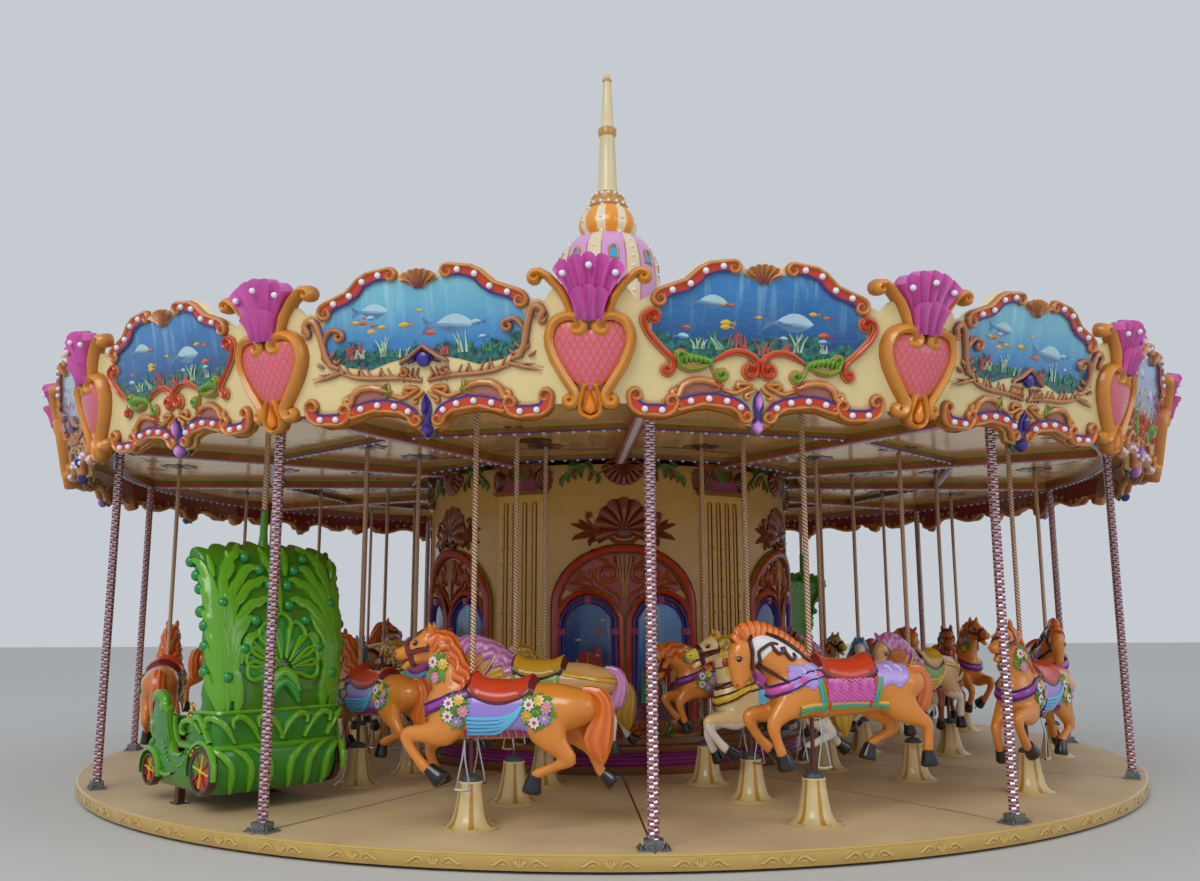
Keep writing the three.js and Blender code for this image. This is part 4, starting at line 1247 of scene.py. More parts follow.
trunkStations = [(-0.865, 0, 0.87, 0.03, 0.03), (-0.84, 0, 0.865, 0.10, 0.085), (-0.75, 0, 0.85, 0.15, 0.125),
                 (-0.60, 0, 0.84, 0.165, 0.165), (-0.40, 0, 0.83, 0.158, 0.18),
                 (-0.20, 0, 0.82, 0.158, 0.185), (0.0, 0, 0.825, 0.16, 0.195), (0.13, 0, 0.83, 0.155, 0.20),
                 (0.23, 0, 0.84, 0.13, 0.165), (0.29, 0, 0.85, 0.085, 0.105), (0.315, 0, 0.85, 0.03, 0.04)]
poses = {
    "up": {
        "neck": [(0.08, 0, 0.86, 0.13, 0.16), (0.135, 0, 0.97, 0.112, 0.150), (0.18, 0, 1.09, 0.09, 0.128),
                 (0.21, 0, 1.19, 0.074, 0.112), (0.245, 0, 1.27, 0.064, 0.095), (0.265, 0, 1.31, 0.04, 0.05)],
        "head": [(0.25, 0, 1.28, 0.055, 0.07), (0.31, 0, 1.262, 0.072, 0.095), (0.37, 0, 1.238, 0.070, 0.082),
                 (0.42, 0, 1.220, 0.056, 0.066), (0.47, 0, 1.203, 0.047, 0.050),
                 (0.52, 0, 1.188, 0.049, 0.046), (0.548, 0, 1.176, 0.040, 0.038),
                 (0.562, 0, 1.170, 0.016, 0.016)],
        "jaw": [(0.35, 0, 1.185, 0.05, 0.055), (0.41, 0, 1.150, 0.040, 0.034), (0.46, 0, 1.118, 0.034, 0.022),
                (0.488, 0, 1.098, 0.036, 0.024), (0.505, 0, 1.085, 0.018, 0.012)],
        "eye": (0.392, 1.262), "nostril": (0.540, 1.190), "ear": ((0.290, 1.335), (0.305, 1.405)),
        "legs": [([(0.10, 0.085, 0.78, 0.07, 0.13), (0.17, 0.10, 0.69, 0.066, 0.105),
                   (0.29, 0.105, 0.675, 0.052, 0.066), (0.39, 0.105, 0.675, 0.044, 0.050),
                   (0.428, 0.105, 0.655, 0.040, 0.044), (0.40, 0.105, 0.59, 0.034, 0.038),
                   (0.345, 0.105, 0.52, 0.031, 0.034), (0.285, 0.105, 0.455, 0.036, 0.040),
                   (0.24, 0.105, 0.425, 0.034, 0.036)],
                  [(0.262, 0.105, 0.452, 0.036, 0.038), (0.215, 0.105, 0.415, 0.043, 0.050),
                   (0.172, 0.105, 0.383, 0.050, 0.058)]),
                 ([(0.12, -0.085, 0.77, 0.068, 0.12), (0.20, -0.10, 0.68, 0.06, 0.085),
                   (0.29, -0.105, 0.61, 0.046, 0.056), (0.335, -0.105, 0.555, 0.040, 0.043),
                   (0.32, -0.105, 0.48, 0.031, 0.034), (0.285, -0.105, 0.41, 0.034, 0.036),
                   (0.265, -0.105, 0.385, 0.034, 0.036)],
                  [(0.275, -0.105, 0.408, 0.035, 0.038), (0.25, -0.105, 0.365, 0.042, 0.048),
                   (0.232, -0.105, 0.325, 0.048, 0.056)]),
                 ([(-0.53, 0.08, 0.81, 0.085, 0.17), (-0.56, 0.095, 0.71, 0.076, 0.14),
                   (-0.62, 0.10, 0.62, 0.058, 0.082), (-0.69, 0.10, 0.555, 0.042, 0.050),
                   (-0.71, 0.10, 0.525, 0.038, 0.042), (-0.65, 0.10, 0.50, 0.032, 0.036),
                   (-0.56, 0.10, 0.465, 0.030, 0.032), (-0.49, 0.10, 0.435, 0.035, 0.038),
                   (-0.465, 0.10, 0.405, 0.034, 0.036)],
                  [(-0.475, 0.10, 0.425, 0.036, 0.038), (-0.458, 0.10, 0.372, 0.042, 0.048),
                   (-0.45, 0.10, 0.322, 0.048, 0.056)]),
                 ([(-0.62, -0.075, 0.80, 0.085, 0.15), (-0.70, -0.09, 0.69, 0.066, 0.10),
                   (-0.78, -0.10, 0.60, 0.046, 0.056), (-0.81, -0.10, 0.555, 0.038, 0.042),
                   (-0.835, -0.10, 0.49, 0.031, 0.034), (-0.87, -0.10, 0.43, 0.035, 0.038),
                   (-0.90, -0.10, 0.41, 0.034, 0.036)],
                  [(-0.885, -0.10, 0.428, 0.036, 0.038), (-0.92, -0.10, 0.398, 0.042, 0.048),
                   (-0.955, -0.10, 0.37, 0.048, 0.056)])],
        "tail": [(-0.77, 0, 0.955, 0.035, 0.03), (-0.865, 0, 0.94, 0.05, 0.045),
                 (-0.912, 0, 0.86, 0.056, 0.056), (-0.895, 0, 0.75, 0.060, 0.078),
                 (-0.865, 0, 0.65, 0.058, 0.100), (-0.885, 0, 0.56, 0.040, 0.064),
                 (-0.90, 0, 0.49, 0.008, 0.012)],
        "crest": [(0.335, 1.352), (0.26, 1.37), (0.19, 1.345), (0.13, 1.28), (0.095, 1.19), (0.06, 1.10),
                  (0.02, 1.03)],
    },
    "down": {
        "neck": [(0.07, 0, 0.87, 0.13, 0.16), (0.17, 0, 0.97, 0.112, 0.155), (0.275, 0, 1.05, 0.092, 0.135),
                 (0.37, 0, 1.10, 0.076, 0.110), (0.45, 0, 1.105, 0.062, 0.085), (0.49, 0, 1.09, 0.04, 0.05)],
        "head": [(0.43, 0, 1.115, 0.055, 0.070), (0.497, 0, 1.09, 0.072, 0.092),
                 (0.528, 0, 1.03, 0.068, 0.083), (0.54, 0, 0.97, 0.055, 0.066),
                 (0.541, 0, 0.92, 0.047, 0.050), (0.537, 0, 0.875, 0.049, 0.046),
                 (0.532, 0, 0.848, 0.040, 0.036), (0.53, 0, 0.834, 0.016, 0.014)],
        "jaw": [(0.45, 0, 1.03, 0.05, 0.052), (0.468, 0, 0.96, 0.040, 0.032), (0.485, 0, 0.905, 0.034, 0.022),
                (0.492, 0, 0.875, 0.034, 0.022), (0.495, 0, 0.858, 0.016, 0.012)],
        "eye": (0.555, 1.035), "nostril": (0.560, 0.865), "ear": ((0.505, 1.165), (0.555, 1.225)),
        "legs": [([(0.12, 0.085, 0.77, 0.068, 0.13), (0.24, 0.10, 0.71, 0.06, 0.088),
                   (0.325, 0.105, 0.63, 0.046, 0.055), (0.34, 0.105, 0.58, 0.041, 0.045),
                   (0.315, 0.105, 0.50, 0.032, 0.035), (0.285, 0.105, 0.42, 0.036, 0.038),
                   (0.27, 0.105, 0.395, 0.034, 0.036)],
                  [(0.277, 0.105, 0.415, 0.036, 0.038), (0.26, 0.105, 0.37, 0.043, 0.049),
                   (0.25, 0.105, 0.322, 0.049, 0.057)]),
                 ([(0.10, -0.085, 0.78, 0.07, 0.13), (0.17, -0.10, 0.69, 0.066, 0.10),
                   (0.29, -0.105, 0.665, 0.050, 0.062), (0.39, -0.105, 0.665, 0.042, 0.048),
                   (0.425, -0.105, 0.64, 0.039, 0.043), (0.39, -0.105, 0.57, 0.033, 0.036),
                   (0.34, -0.105, 0.50, 0.031, 0.034), (0.285, -0.105, 0.445, 0.036, 0.040),
                   (0.245, -0.105, 0.42, 0.034, 0.036)],
                  [(0.262, -0.105, 0.44, 0.036, 0.038), (0.215, -0.105, 0.405, 0.043, 0.049),
                   (0.175, -0.105, 0.375, 0.049, 0.057)]),
                 ([(-0.58, 0.075, 0.81, 0.085, 0.16), (-0.66, 0.09, 0.70, 0.072, 0.12),
                   (-0.77, 0.10, 0.62, 0.050, 0.065), (-0.835, 0.10, 0.585, 0.041, 0.048),
                   (-0.85, 0.10, 0.53, 0.034, 0.038), (-0.845, 0.10, 0.45, 0.032, 0.034),
                   (-0.84, 0.10, 0.39, 0.035, 0.038)],
                  [(-0.84, 0.10, 0.40, 0.037, 0.039), (-0.845, 0.10, 0.355, 0.043, 0.049),
                   (-0.85, 0.10, 0.305, 0.049, 0.057)]),
                 ([(-0.53, -0.08, 0.81, 0.085, 0.17), (-0.56, -0.095, 0.71, 0.076, 0.14),
                   (-0.63, -0.10, 0.63, 0.056, 0.076), (-0.69, -0.10, 0.57, 0.042, 0.048),
                   (-0.70, -0.10, 0.53, 0.037, 0.041), (-0.64, -0.10, 0.50, 0.032, 0.035),
                   (-0.56, -0.10, 0.465, 0.030, 0.032), (-0.50, -0.10, 0.43, 0.035, 0.037)],
                  [(-0.51, -0.10, 0.43, 0.036, 0.038), (-0.49, -0.10, 0.38, 0.042, 0.048),
                   (-0.48, -0.10, 0.335, 0.048, 0.056)])],
        "tail": [(-0.77, 0, 0.95, 0.035, 0.03), (-0.855, 0, 0.925, 0.048, 0.045),
                 (-0.895, 0, 0.85, 0.052, 0.052), (-0.885, 0, 0.76, 0.052, 0.060),
                 (-0.855, 0, 0.68, 0.044, 0.060), (-0.83, 0, 0.63, 0.008, 0.012)],
        "crest": [(0.575, 1.15), (0.50, 1.205), (0.40, 1.22), (0.29, 1.19), (0.18, 1.13), (0.08, 1.06),
                  (0.0, 1.01)],
    },
}


def fused(parts, voxel, triangles):
    mesh = bpy.data.meshes.new("limbs")
    mesh.from_pydata(np.concatenate(parts.points).tolist(), [], parts.faces)
    body = bpy.data.objects.new("limbs", mesh)
    bpy.context.scene.collection.objects.link(body)
    remesh = body.modifiers.new("remesh", "REMESH")
    remesh.mode = "VOXEL"
    remesh.voxel_size = voxel
    smooth = body.modifiers.new("smooth", "SMOOTH")
    smooth.factor = 0.6
    smooth.iterations = 4
    triangulate = body.modifiers.new("triangulate", "TRIANGULATE")
    triangulate.quad_method = "FIXED"
    decimate = body.modifiers.new("decimate", "DECIMATE")
    decimate.ratio = 1.0
    graph = bpy.context.evaluated_depsgraph_get()
    count = len(body.evaluated_get(graph).data.polygons)
    decimate.ratio = min(1.0, triangles / max(count, 1))
    graph = bpy.context.evaluated_depsgraph_get()
    result = body.evaluated_get(graph).data
    points = np.empty(len(result.vertices) * 3)
    result.vertices.foreach_get("co", points)
    faces = [tuple(polygon.vertices) for polygon in result.polygons]
    bpy.data.objects.remove(body)
    return points.reshape(-1, 3), faces


def poseBody(pose):
    rough = Shape()
    loft(rough, trunkStations, "coat", sides=18, step=0.04)
    for part in ("neck", "head", "jaw"):
        loft(rough, poses[pose][part], "coat", sides=16, step=0.02)
    for leg, _ in poses[pose]["legs"]:
        loft(rough, leg, "coat", sides=14, step=0.02)
    return fused(rough, horses["voxel"], horses["triangles"])


def hoofs(figure, pose):
    for _, hoof in poses[pose]["legs"]:
        stations = np.array(hoof) * [1, 1, 1, 1.16, 1.16]
        tip = stations[-1] + 0.25 * (stations[-1] - stations[-2])
        tip[3:] = stations[-1, 3:] * 0.75
        loft(figure, [tuple(station) for station in [*stations, tip]], "hoof", sides=10, step=0.04)


def maneLocks(figure, surface, pose, paint):
    crest = smoothPath([(x, 0, z) for x, z in poses[pose]["crest"]], 0.020)
    ahead = np.gradient(crest, axis=0)
    out = np.column_stack([ahead[:, 2], np.zeros(len(crest)), -ahead[:, 0]])
    out /= np.linalg.norm(out, axis=1)[:, None]
    out *= np.sign(out[len(out) // 2, 2])
    rows, columns = len(crest), 25
    grid, tones = np.zeros((rows, columns, 3)), np.zeros((rows, columns))
    for i in range(rows):
        axis = crest[i] - out[i] * 0.09
        reach = i / (rows - 1)
        for j in range(columns):
            t = (j - columns // 2) / (columns // 2)
            spread = 96 * t * (0.86 + 0.14 * math.cos(i * 1.14))
            a = math.radians(spread)
            sway = np.array([-0.05, 0, -0.07]) * abs(t) ** 1.5
            beam = out[i] * math.cos(a) + np.array([0, 1, 0]) * math.sin(a)
            place, _ = surface.cast(axis + sway + 0.3 * beam, -beam)
            wave = math.cos(i * 0.60 + abs(t) * 19.0)
            rise = 0.022 + 0.007 * wave if abs(t) < 0.99 else -0.006
            rise *= 0.4 + 0.6 * min(1, 5 * reach + 0.2)
            grid[i, j] = place + beam * rise
            # painted shade in the hollows between the locks
            tones[i, j] = 0.5 - 0.5 * wave
    figure.add(grid.reshape(-1, 3), gridFaces(rows, columns), paint, tones.ravel())


def maneRibs(figure, pose, paint):
    crest = smoothPath(poses[pose]["crest"], 0.007)
    normal = sideways(crest)
    normal *= np.sign(normal[len(normal) // 2, 1])
    rows = len(crest)
    reach = np.linspace(0, 1, rows)
    wave = np.abs(np.sin(15 * math.pi * reach)) ** 0.35
    full = np.minimum(1, np.minimum(4 * reach + 0.45, 5 * (1 - reach) + 0.2))
    across = np.array([-0.044, -0.040, -0.028, 0.0, 0.028, 0.040, 0.044])
    rise = np.array([-0.045, 0.02, 0.052, 0.066, 0.052, 0.02, -0.045])
    grid = np.zeros((rows, 7, 3))
    swell = full[:, None] * (0.92 + 0.08 * wave[:, None])
    grid[:, :, 1] = across[None] * (0.88 + 0.12 * wave[:, None])
    lift = np.where(rise > 0, rise[None] * swell, rise[None])
    grid[:, :, 0] = crest[:, :1] + normal[:, :1] * lift
    grid[:, :, 2] = crest[:, 1:2] + normal[:, 1:2] * lift
    # painted shade between the ribs
    tone = np.repeat(1 - wave, 7) * 0.9
    faces = gridFaces(rows, 7) + [tuple(range(7))[::-1], tuple(range((rows - 1) * 7, rows * 7))]
    figure.add(grid.reshape(-1, 3), faces, paint, tone)


def face(figure, surface, pose):
    plan = poses[pose]
    for side in (1, -1):
        (bx, bz), (tx, tz) = plan["ear"]
        loft(figure, [(bx - 0.01, side * 0.030, bz - 0.02, 0.018, 0.020),
                      (bx, side * 0.038, bz + 0.012, 0.022, 0.022),
                      ((bx + tx) / 2, side * 0.044, (bz + tz) / 2 + 0.008, 0.019, 0.017),
                      (tx, side * 0.042, tz, 0.004, 0.004)], "earPaint", sides=8, tones=(0.2, 0.6))
        place, normal = surface.side(*plan["eye"], side)
        ellipsoid(figure, place - normal * 0.003, (0.027, 0.010, 0.020), "eyeRim", 10, 4)
        ellipsoid(figure, place, (0.021, 0.0125, 0.017), "eyeBlack", 10, 6)
        # a painted highlight: a small white glint on the eye
        ellipsoid(figure, place + normal * 0.010 + [0.006, 0, 0.006], (0.005, 0.0035, 0.005),
                  "eyeWhite", 6, 4)
        lid = [surface.side(plan["eye"][0] + 0.030 * math.cos(a), plan["eye"][1] + 0.024 * math.sin(a), side)
               for a in np.linspace(0.2, math.pi - 0.1, 8)]
        laid(figure, lid, 0.012, 0.009, "coat", (0.5, 0.2), taper=0.3)
        place, normal = surface.side(*plan["nostril"], side)
        ellipsoid(figure, place - normal * 0.002, (0.011, 0.006, 0.008), "mouthPaint", 8, 4)
    foot, nose = np.array(plan["ear"][0]), np.array(plan["head"][6])[[0, 2]]
    ahead = (nose - foot) / np.linalg.norm(nose - foot)
    proud = np.array([-ahead[1], ahead[0]])
    lock = [foot + ahead * along + proud * high for along,
            high in ((-0.02, 0.010), (0.03, 0.028), (0.08, 0.024), (0.125, 0.012))]
    loft(figure, [(px, 0.0, pz, thick, thick * 0.8) for (px, pz),
                  thick in zip(lock, (0.016, 0.026, 0.022, 0.006))], "mane",
         sides=8, tones=(0.2, 0.6))
    first, second = np.array(plan["jaw"][1][:3]), np.array(plan["head"][4][:3])
    middle = (first + second) / 2
    ellipsoid(figure, middle + (middle - np.array(plan["head"][1][:3])) * 0.22, (0.034, 0.030, 0.030),
              "mouthPaint", 10, 6)


def loopRound(surface, centre, direction, radius=0.3, count=20):
    first, second, _ = basis(np.asarray(direction, float), np.array([0, 1.0, 0]))
    frames = []
    for a in np.linspace(0, 2 * math.pi, count + 1):
        beam = first * math.cos(a) + second * math.sin(a)
        frames.append(surface.cast(np.asarray(centre) + beam * radius, -beam))
    return frames


def bridle(figure, surface, pose, paint):
    head = [np.array(station[:3]) for station in poses[pose]["head"]]
    lane = (head[5] - head[2]) / np.linalg.norm(head[5] - head[2])
    laid(figure, loopRound(surface, head[4] * 0.6 + head[3] * 0.4, lane, 0.2), 0.050, 0.012, paint)
    for side in (1, -1):
        start = head[4] * 0.7 + head[3] * 0.3
        stop = head[1] - lane * 0.02 + np.array([0, 0, -0.03])
        frames = [surface.near(start * (1 - t) + stop * t + np.array([0, side * 0.09, -0.018]))
                  for t in np.linspace(0, 1, 12)]
        laid(figure, frames, 0.042, 0.012, paint)
        upper = [surface.near(stop * (1 - t) + (head[0] + np.array([0, 0, 0.07])) * t
                              + np.array([0, side * 0.09, 0]))
                 for t in np.linspace(0, 1, 8)]
        laid(figure, upper, 0.036, 0.011, paint)


def saddle(figure, surface):
    xs = np.linspace(0.02, -0.47, 14)
    reach = np.linspace(0, 1, len(xs))
    tip = 0.044 * np.exp(-((reach - 0.05) / 0.09) ** 2) + 0.036 * np.exp(-((reach - 0.94) / 0.12) ** 2)
    skirt = 0.60 + 0.40 * np.sin(math.pi * np.clip(reach * 1.06 - 0.03, 0, 1)) ** 0.8
    for paint, half, base, trim in (("saddleEdge", 88, 0.018, 0.0), ("saddleSeat", 79, 0.027, 0.016)):
        turns = np.linspace(-1, 1, 13)[None] * half * skirt[:, None]
        offsets, tones = [], []
        for i in range(len(xs)):
            share = turns[i] / turns[i, -1]
            row = base + tip[i] * np.maximum(0, np.cos(np.radians(turns[i] * 1.3))) ** 1.5
            row = np.where(np.abs(share) > 0.99, -0.004, row)
            offsets.append(row if 0 < i < len(xs) - 1 else row * 0 - 0.004)
            # painted shade: the saddle darker towards its sides, where it turns down
            tones.append(0.9 - 0.9 * np.minimum(1, np.cos(share * math.pi / 2) ** 0.5 * 1.3))
        wrapped(figure, surface, xs - trim * (1 - 2 * reach), turns, offsets, paint, tones)


def caparison(figure, surface):
    # cloth under the saddle, its pleated swags and its fringe
    xs = np.linspace(0.0, -0.43, 14)
    for side in (1, -1):
        turns = np.linspace(62, 138, 10) * side
        offsets = [[0.012 if 0 < i < 13 and j < 9 else -0.003 for j in range(10)] for i in range(14)]
        wrapped(figure, surface, xs if side > 0 else xs[::-1], turns, offsets, "cloth")
        for index in range(5):
            swag = smoothPath([(-0.40 + 0.006 * index, 78 + 4 * index),
                               (-0.33 + 0.01 * index, 96 + 7 * index), (-0.20, 108 + 8 * index),
                               (-0.02, 106 + 9 * index)], 3.0)
            frames = [surface.trunk(x, side * a) for x, a in swag]
            frames = [(p + n * 0.010, n) for p, n in frames]
            laid(figure, frames, 0.026, 0.013, "swag", (1.0, 0.0))
        for index in range(9):
            x = 0.0 - 0.052 * index
            frames = [surface.trunk(x, side * a) for a in np.linspace(136, 153, 4)]
            laid(figure, frames, 0.056, 0.014, "fringe", (0.9, 0.0), taper=0.7)


def chestStraps(figure, surface, first, second):
    guides = [(-0.02, 0.19, 0.97), (0.10, 0.19, 0.93), (0.20, 0.16, 0.87), (0.29, 0.09, 0.83),
              (0.33, 0.0, 0.81), (0.29, -0.09, 0.83), (0.20, -0.16, 0.87), (0.10, -0.19, 0.93),
              (-0.02, -0.19, 0.97)]
    path = smoothPath(guides, 0.025)[::-1]
    frames = [surface.near(p) for p in path]
    laid(figure, frames, 0.062, 0.014, first)
    for shift in (0.036, -0.036):
        frames = [surface.near(p + np.array([0, 0, shift])) for p in path]
        laid(figure, frames, 0.016, 0.020, second)


def crupper(figure, surface, first, second):
    guides = [(-0.44, 0.19, 0.95), (-0.60, 0.19, 0.92), (-0.75, 0.16, 0.88), (-0.86, 0.06, 0.86),
              (-0.87, 0.0, 0.86), (-0.86, -0.06, 0.86), (-0.75, -0.16, 0.88), (-0.60, -0.19, 0.92),
              (-0.44, -0.19, 0.95)]
    path = smoothPath(guides, 0.03)
    laid(figure, [surface.near(p) for p in path], 0.040, 0.012, first)
    laid(figure, [surface.near(p + np.array([0, 0, 0.024])) for p in path], 0.012, 0.018, second)


def garland(figure, surface, areas):
    random = np.random.default_rng(21)
    kinds = [("petalLilac", "petalHeart"), ("petalWhite", "petalRed"), ("petalGold", "petalHeart"),
             ("petalPink", "petalGold")]
    for cx, cz, rx, rz, flowers in areas:
        for side in (1, -1):
            bed = [(cx + rx * math.cos(a), cz + rz * math.sin(a)) for a in fullTurn(12)]
            sidePatch(figure, surface, bed, side, 0.006, "leafGreen")
            for _ in range(64):
                r, a = math.sqrt(random.random()), random.uniform(0, 2 * math.pi)
                place, normal = surface.side(cx + rx * r * math.cos(a), cz + rz * r * math.sin(a), side)
                direction = np.array([math.cos(a + 0.6), 0, math.sin(a + 0.6)])
                leaf(figure, place, normal, direction, 0.062, 0.026, "leafGreen")
            for index in range(flowers):
                a = 2 * math.pi * index / flowers + 0.7
                place, normal = surface.side(cx + 0.58 * rx * math.cos(a), cz + 0.62 * rz * math.sin(a), side)
                petal, heart = kinds[(index + (side > 0)) % 4]
                daisy(figure, place + normal * 0.008, normal, 0.042, petal, heart)


def sideBead(figure, surface, route, side, width, height, paint, lift=0.0, taper=0.3):
    frames = [surface.side(x, z, side) for x, z in smoothPath(route, 0.015)]
    frames = [(p + n * lift, n) for p, n in frames]
    laid(figure, frames, width, height, paint, taper=taper)


def sidePatch(figure, surface, outline, side, lift, paint, step=0.02):
    edge = smoothPath(outline + [outline[0]], step)[:-1]
    low, high = edge.min(0), edge.max(0)
    inner = [(x, z) for x in np.arange(low[0] + step, high[0], step) for z in np.arange(low[1] + step,
                                                                                        high[1], step)]
    verts = [Vector(p) for p in edge] + [Vector(p) for p in inner]
    border = [(i, (i + 1) % len(edge)) for i in range(len(edge))]
    points, _, faces, _, _, _ = delaunay_2d_cdt(verts, border, [], 1, 1e-6)
    rim = {tuple(np.round(p, 6)) for p in edge}
    rows = []
    for x, z in points:
        place, normal = surface.side(x, z, side)
        rows.append(place + normal * (0.001 if tuple(np.round((x, z), 6)) in rim else lift))
    outward = [tuple(f) if side < 0 else tuple(f)[::-1] for f in faces]
    figure.add(rows, outward, paint)


def quilting(i, j):
    if i in (0, 23) or j in (0, 14):
        return -0.002
    first, second = math.pi * (i / 2.6 + j / 2.2), math.pi * (i / 2.6 - j / 2.2)
    return 0.014 + 0.010 * abs(math.sin(first) * math.sin(second))


def laceDress(figure, surface):
    # white neck panel edged with brown scrolls, quilted cloth with bright borders, lace flaps
    for side in (1, -1):
        sidePatch(figure, surface, [(0.46, 1.16), (0.38, 1.19), (0.28, 1.165), (0.17, 1.10), (0.10, 1.045),
                                    (0.155, 1.035), (0.24, 1.070), (0.31, 1.095), (0.36, 1.060),
                                    (0.41, 1.000), (0.455, 1.05)], side, 0.006,
                  "petalWhite")
        for route in ([(0.455, 0.96), (0.462, 1.06), (0.466, 1.165), (0.38, 1.20), (0.27, 1.172),
                       (0.16, 1.105), (0.09, 1.045), (0.04, 1.01)],
                      [(0.405, 0.98), (0.40, 1.03), (0.415, 1.08), (0.385, 1.105), (0.33, 1.135),
                       (0.28, 1.128)],
                      [(0.33, 1.135), (0.31, 1.10), (0.275, 1.07), (0.245, 1.085), (0.262, 1.108)],
                      [(0.24, 1.11), (0.225, 1.07), (0.19, 1.03), (0.16, 1.045), (0.178, 1.068)]):
            sideBead(figure, surface, route, side, 0.030, 0.018, "scrollBrown", lift=0.003, taper=0.6)
    for side in (1, -1):
        xs, turns = np.linspace(-0.03, -0.41, 24), np.linspace(62, 122, 15)
        offsets = [[quilting(i, j) for j in range(15)] for i in range(24)]
        # painted shade in the dips of the quilting
        wrapped(figure, surface, xs if side > 0 else xs[::-1], turns * side, offsets, "quiltPink",
                [[1 - (offsets[i][j] - 0.014) / 0.010 for j in range(15)] for i in range(24)])
        for x0, x1, paint in ((-0.010, -0.035, "redEnamel"), (0.010, -0.010, "leafGreen"),
                              (0.035, 0.010, "tealPaint"), (-0.405, -0.43, "redEnamel"),
                              (-0.43, -0.455, "tealPaint"), (-0.455, -0.475, "leafGreen")):
            frames = [surface.trunk((x0 + x1) / 2 - 0.04 * (a - 66) / 60 * (1 if x0 > -0.2 else -1), side * a)
                      for a in np.linspace(64, 134, 9)]
            laid(figure, frames, abs(x0 - x1) + 0.004, 0.020, paint)
        for angle, paint in ((124, "petalGold"), (130, "tealPaint"), (136, "leafGreen")):
            frames = [surface.trunk(x, side * (angle + 3 * math.sin(x * 9)))
                      for x in np.linspace(0.16, -0.52, 18)]
            laid(figure, frames, 0.026, 0.014, paint)
        for cx in (0.10, -0.56):
            sidePatch(figure, surface, [(cx + 0.12, 0.99), (cx - 0.11, 0.995), (cx - 0.13, 0.91),
                                        (cx - 0.04, 0.83), (cx + 0.03, 0.86),
                                        (cx + 0.12, 0.82)], side, 0.012, "petalLilac")
            for dx in (0.04, -0.04):
                sideBead(figure, surface, [(cx + dx + 0.03, 0.95), (cx + dx, 0.97), (cx + dx - 0.03, 0.94),
                                           (cx + dx, 0.915),
                                           (cx + dx + 0.02, 0.93)], side, 0.008, 0.008, "petalWhite",
                         lift=0.012)


def stripesDress(figure, surface, pose):
    neck = [np.array(s[:3]) for s in poses[pose]["neck"]]
    for t in np.linspace(0.30, 0.92, 7):
        place = neck[1] * (1 - t) + neck[4] * t
        lane = neck[4] - neck[1] + np.array([-0.14, 0, 0.02])
        laid(figure, loopRound(surface, place, lane, 0.3, 18), 0.020, 0.008, "stripe")
    collar = loopRound(surface, neck[1] * 0.9 + neck[2] * 0.1, neck[3] - neck[1], 0.35, 22)
    laid(figure, collar, 0.05, 0.016, "fringe")
    laid(figure, [(p + n * 0.012, n) for p, n in collar], 0.018, 0.010, "petalGold")


def patchesDress(figure, surface, pose):
    neck = [np.array(s[:3]) for s in poses[pose]["neck"]]
    for side in (1, -1):
        for row in range(3):
            for column in range(2):
                t = 0.30 + 0.24 * row
                place = neck[1] * (1 - t) + neck[4] * t + np.array([0.04 - 0.09 * column, 0, 0])
                x, z = place[0], place[2]
                h = 0.030
                sidePatch(figure, surface, [(x + h, z + h), (x - h, z + h), (x - h, z - h), (x + h, z - h)],
                          side, 0.012, "patchRed" if (row + column) % 2 else "petalGold", 0.03)
    collar = loopRound(surface, neck[1] * 0.95 + neck[2] * 0.05, neck[3] - neck[1], 0.35, 22)
    laid(figure, collar, 0.045, 0.016, "tack")
    for t in np.linspace(0.1, 0.9, 3):
        lane = neck[4] - neck[1]
        laid(figure, loopRound(surface, neck[1] * (1 - t) + neck[4] * t, lane, 0.3, 18), 0.012, 0.009, "tack")


def stirrups(figure):
    def rod(route, radius=0.006):
        loft(figure, [(*p, radius, radius) for p in route], "chrome", sides=5, step=0.06)
    for side in (1, -1):
        rod([(0.0, 0.0, 0.615), (-0.01, side * 0.06, 0.625), (-0.02, side * 0.13, 0.645),
             (-0.03, side * 0.165, 0.70)])
        rod([(0.005, side * 0.125, 0.64), (0.010, side * 0.150, 0.52), (0.035, side * 0.155, 0.40),
             (0.045, side * 0.155, 0.335)])
        rod([(0.005, side * 0.125, 0.64), (-0.010, side * 0.150, 0.52), (-0.035, side * 0.155, 0.40),
             (-0.045, side * 0.155, 0.335)])
        rod([(0.055, side * 0.155, 0.33), (0.0, side * 0.155, 0.322), (-0.055, side * 0.155, 0.33)], 0.009)


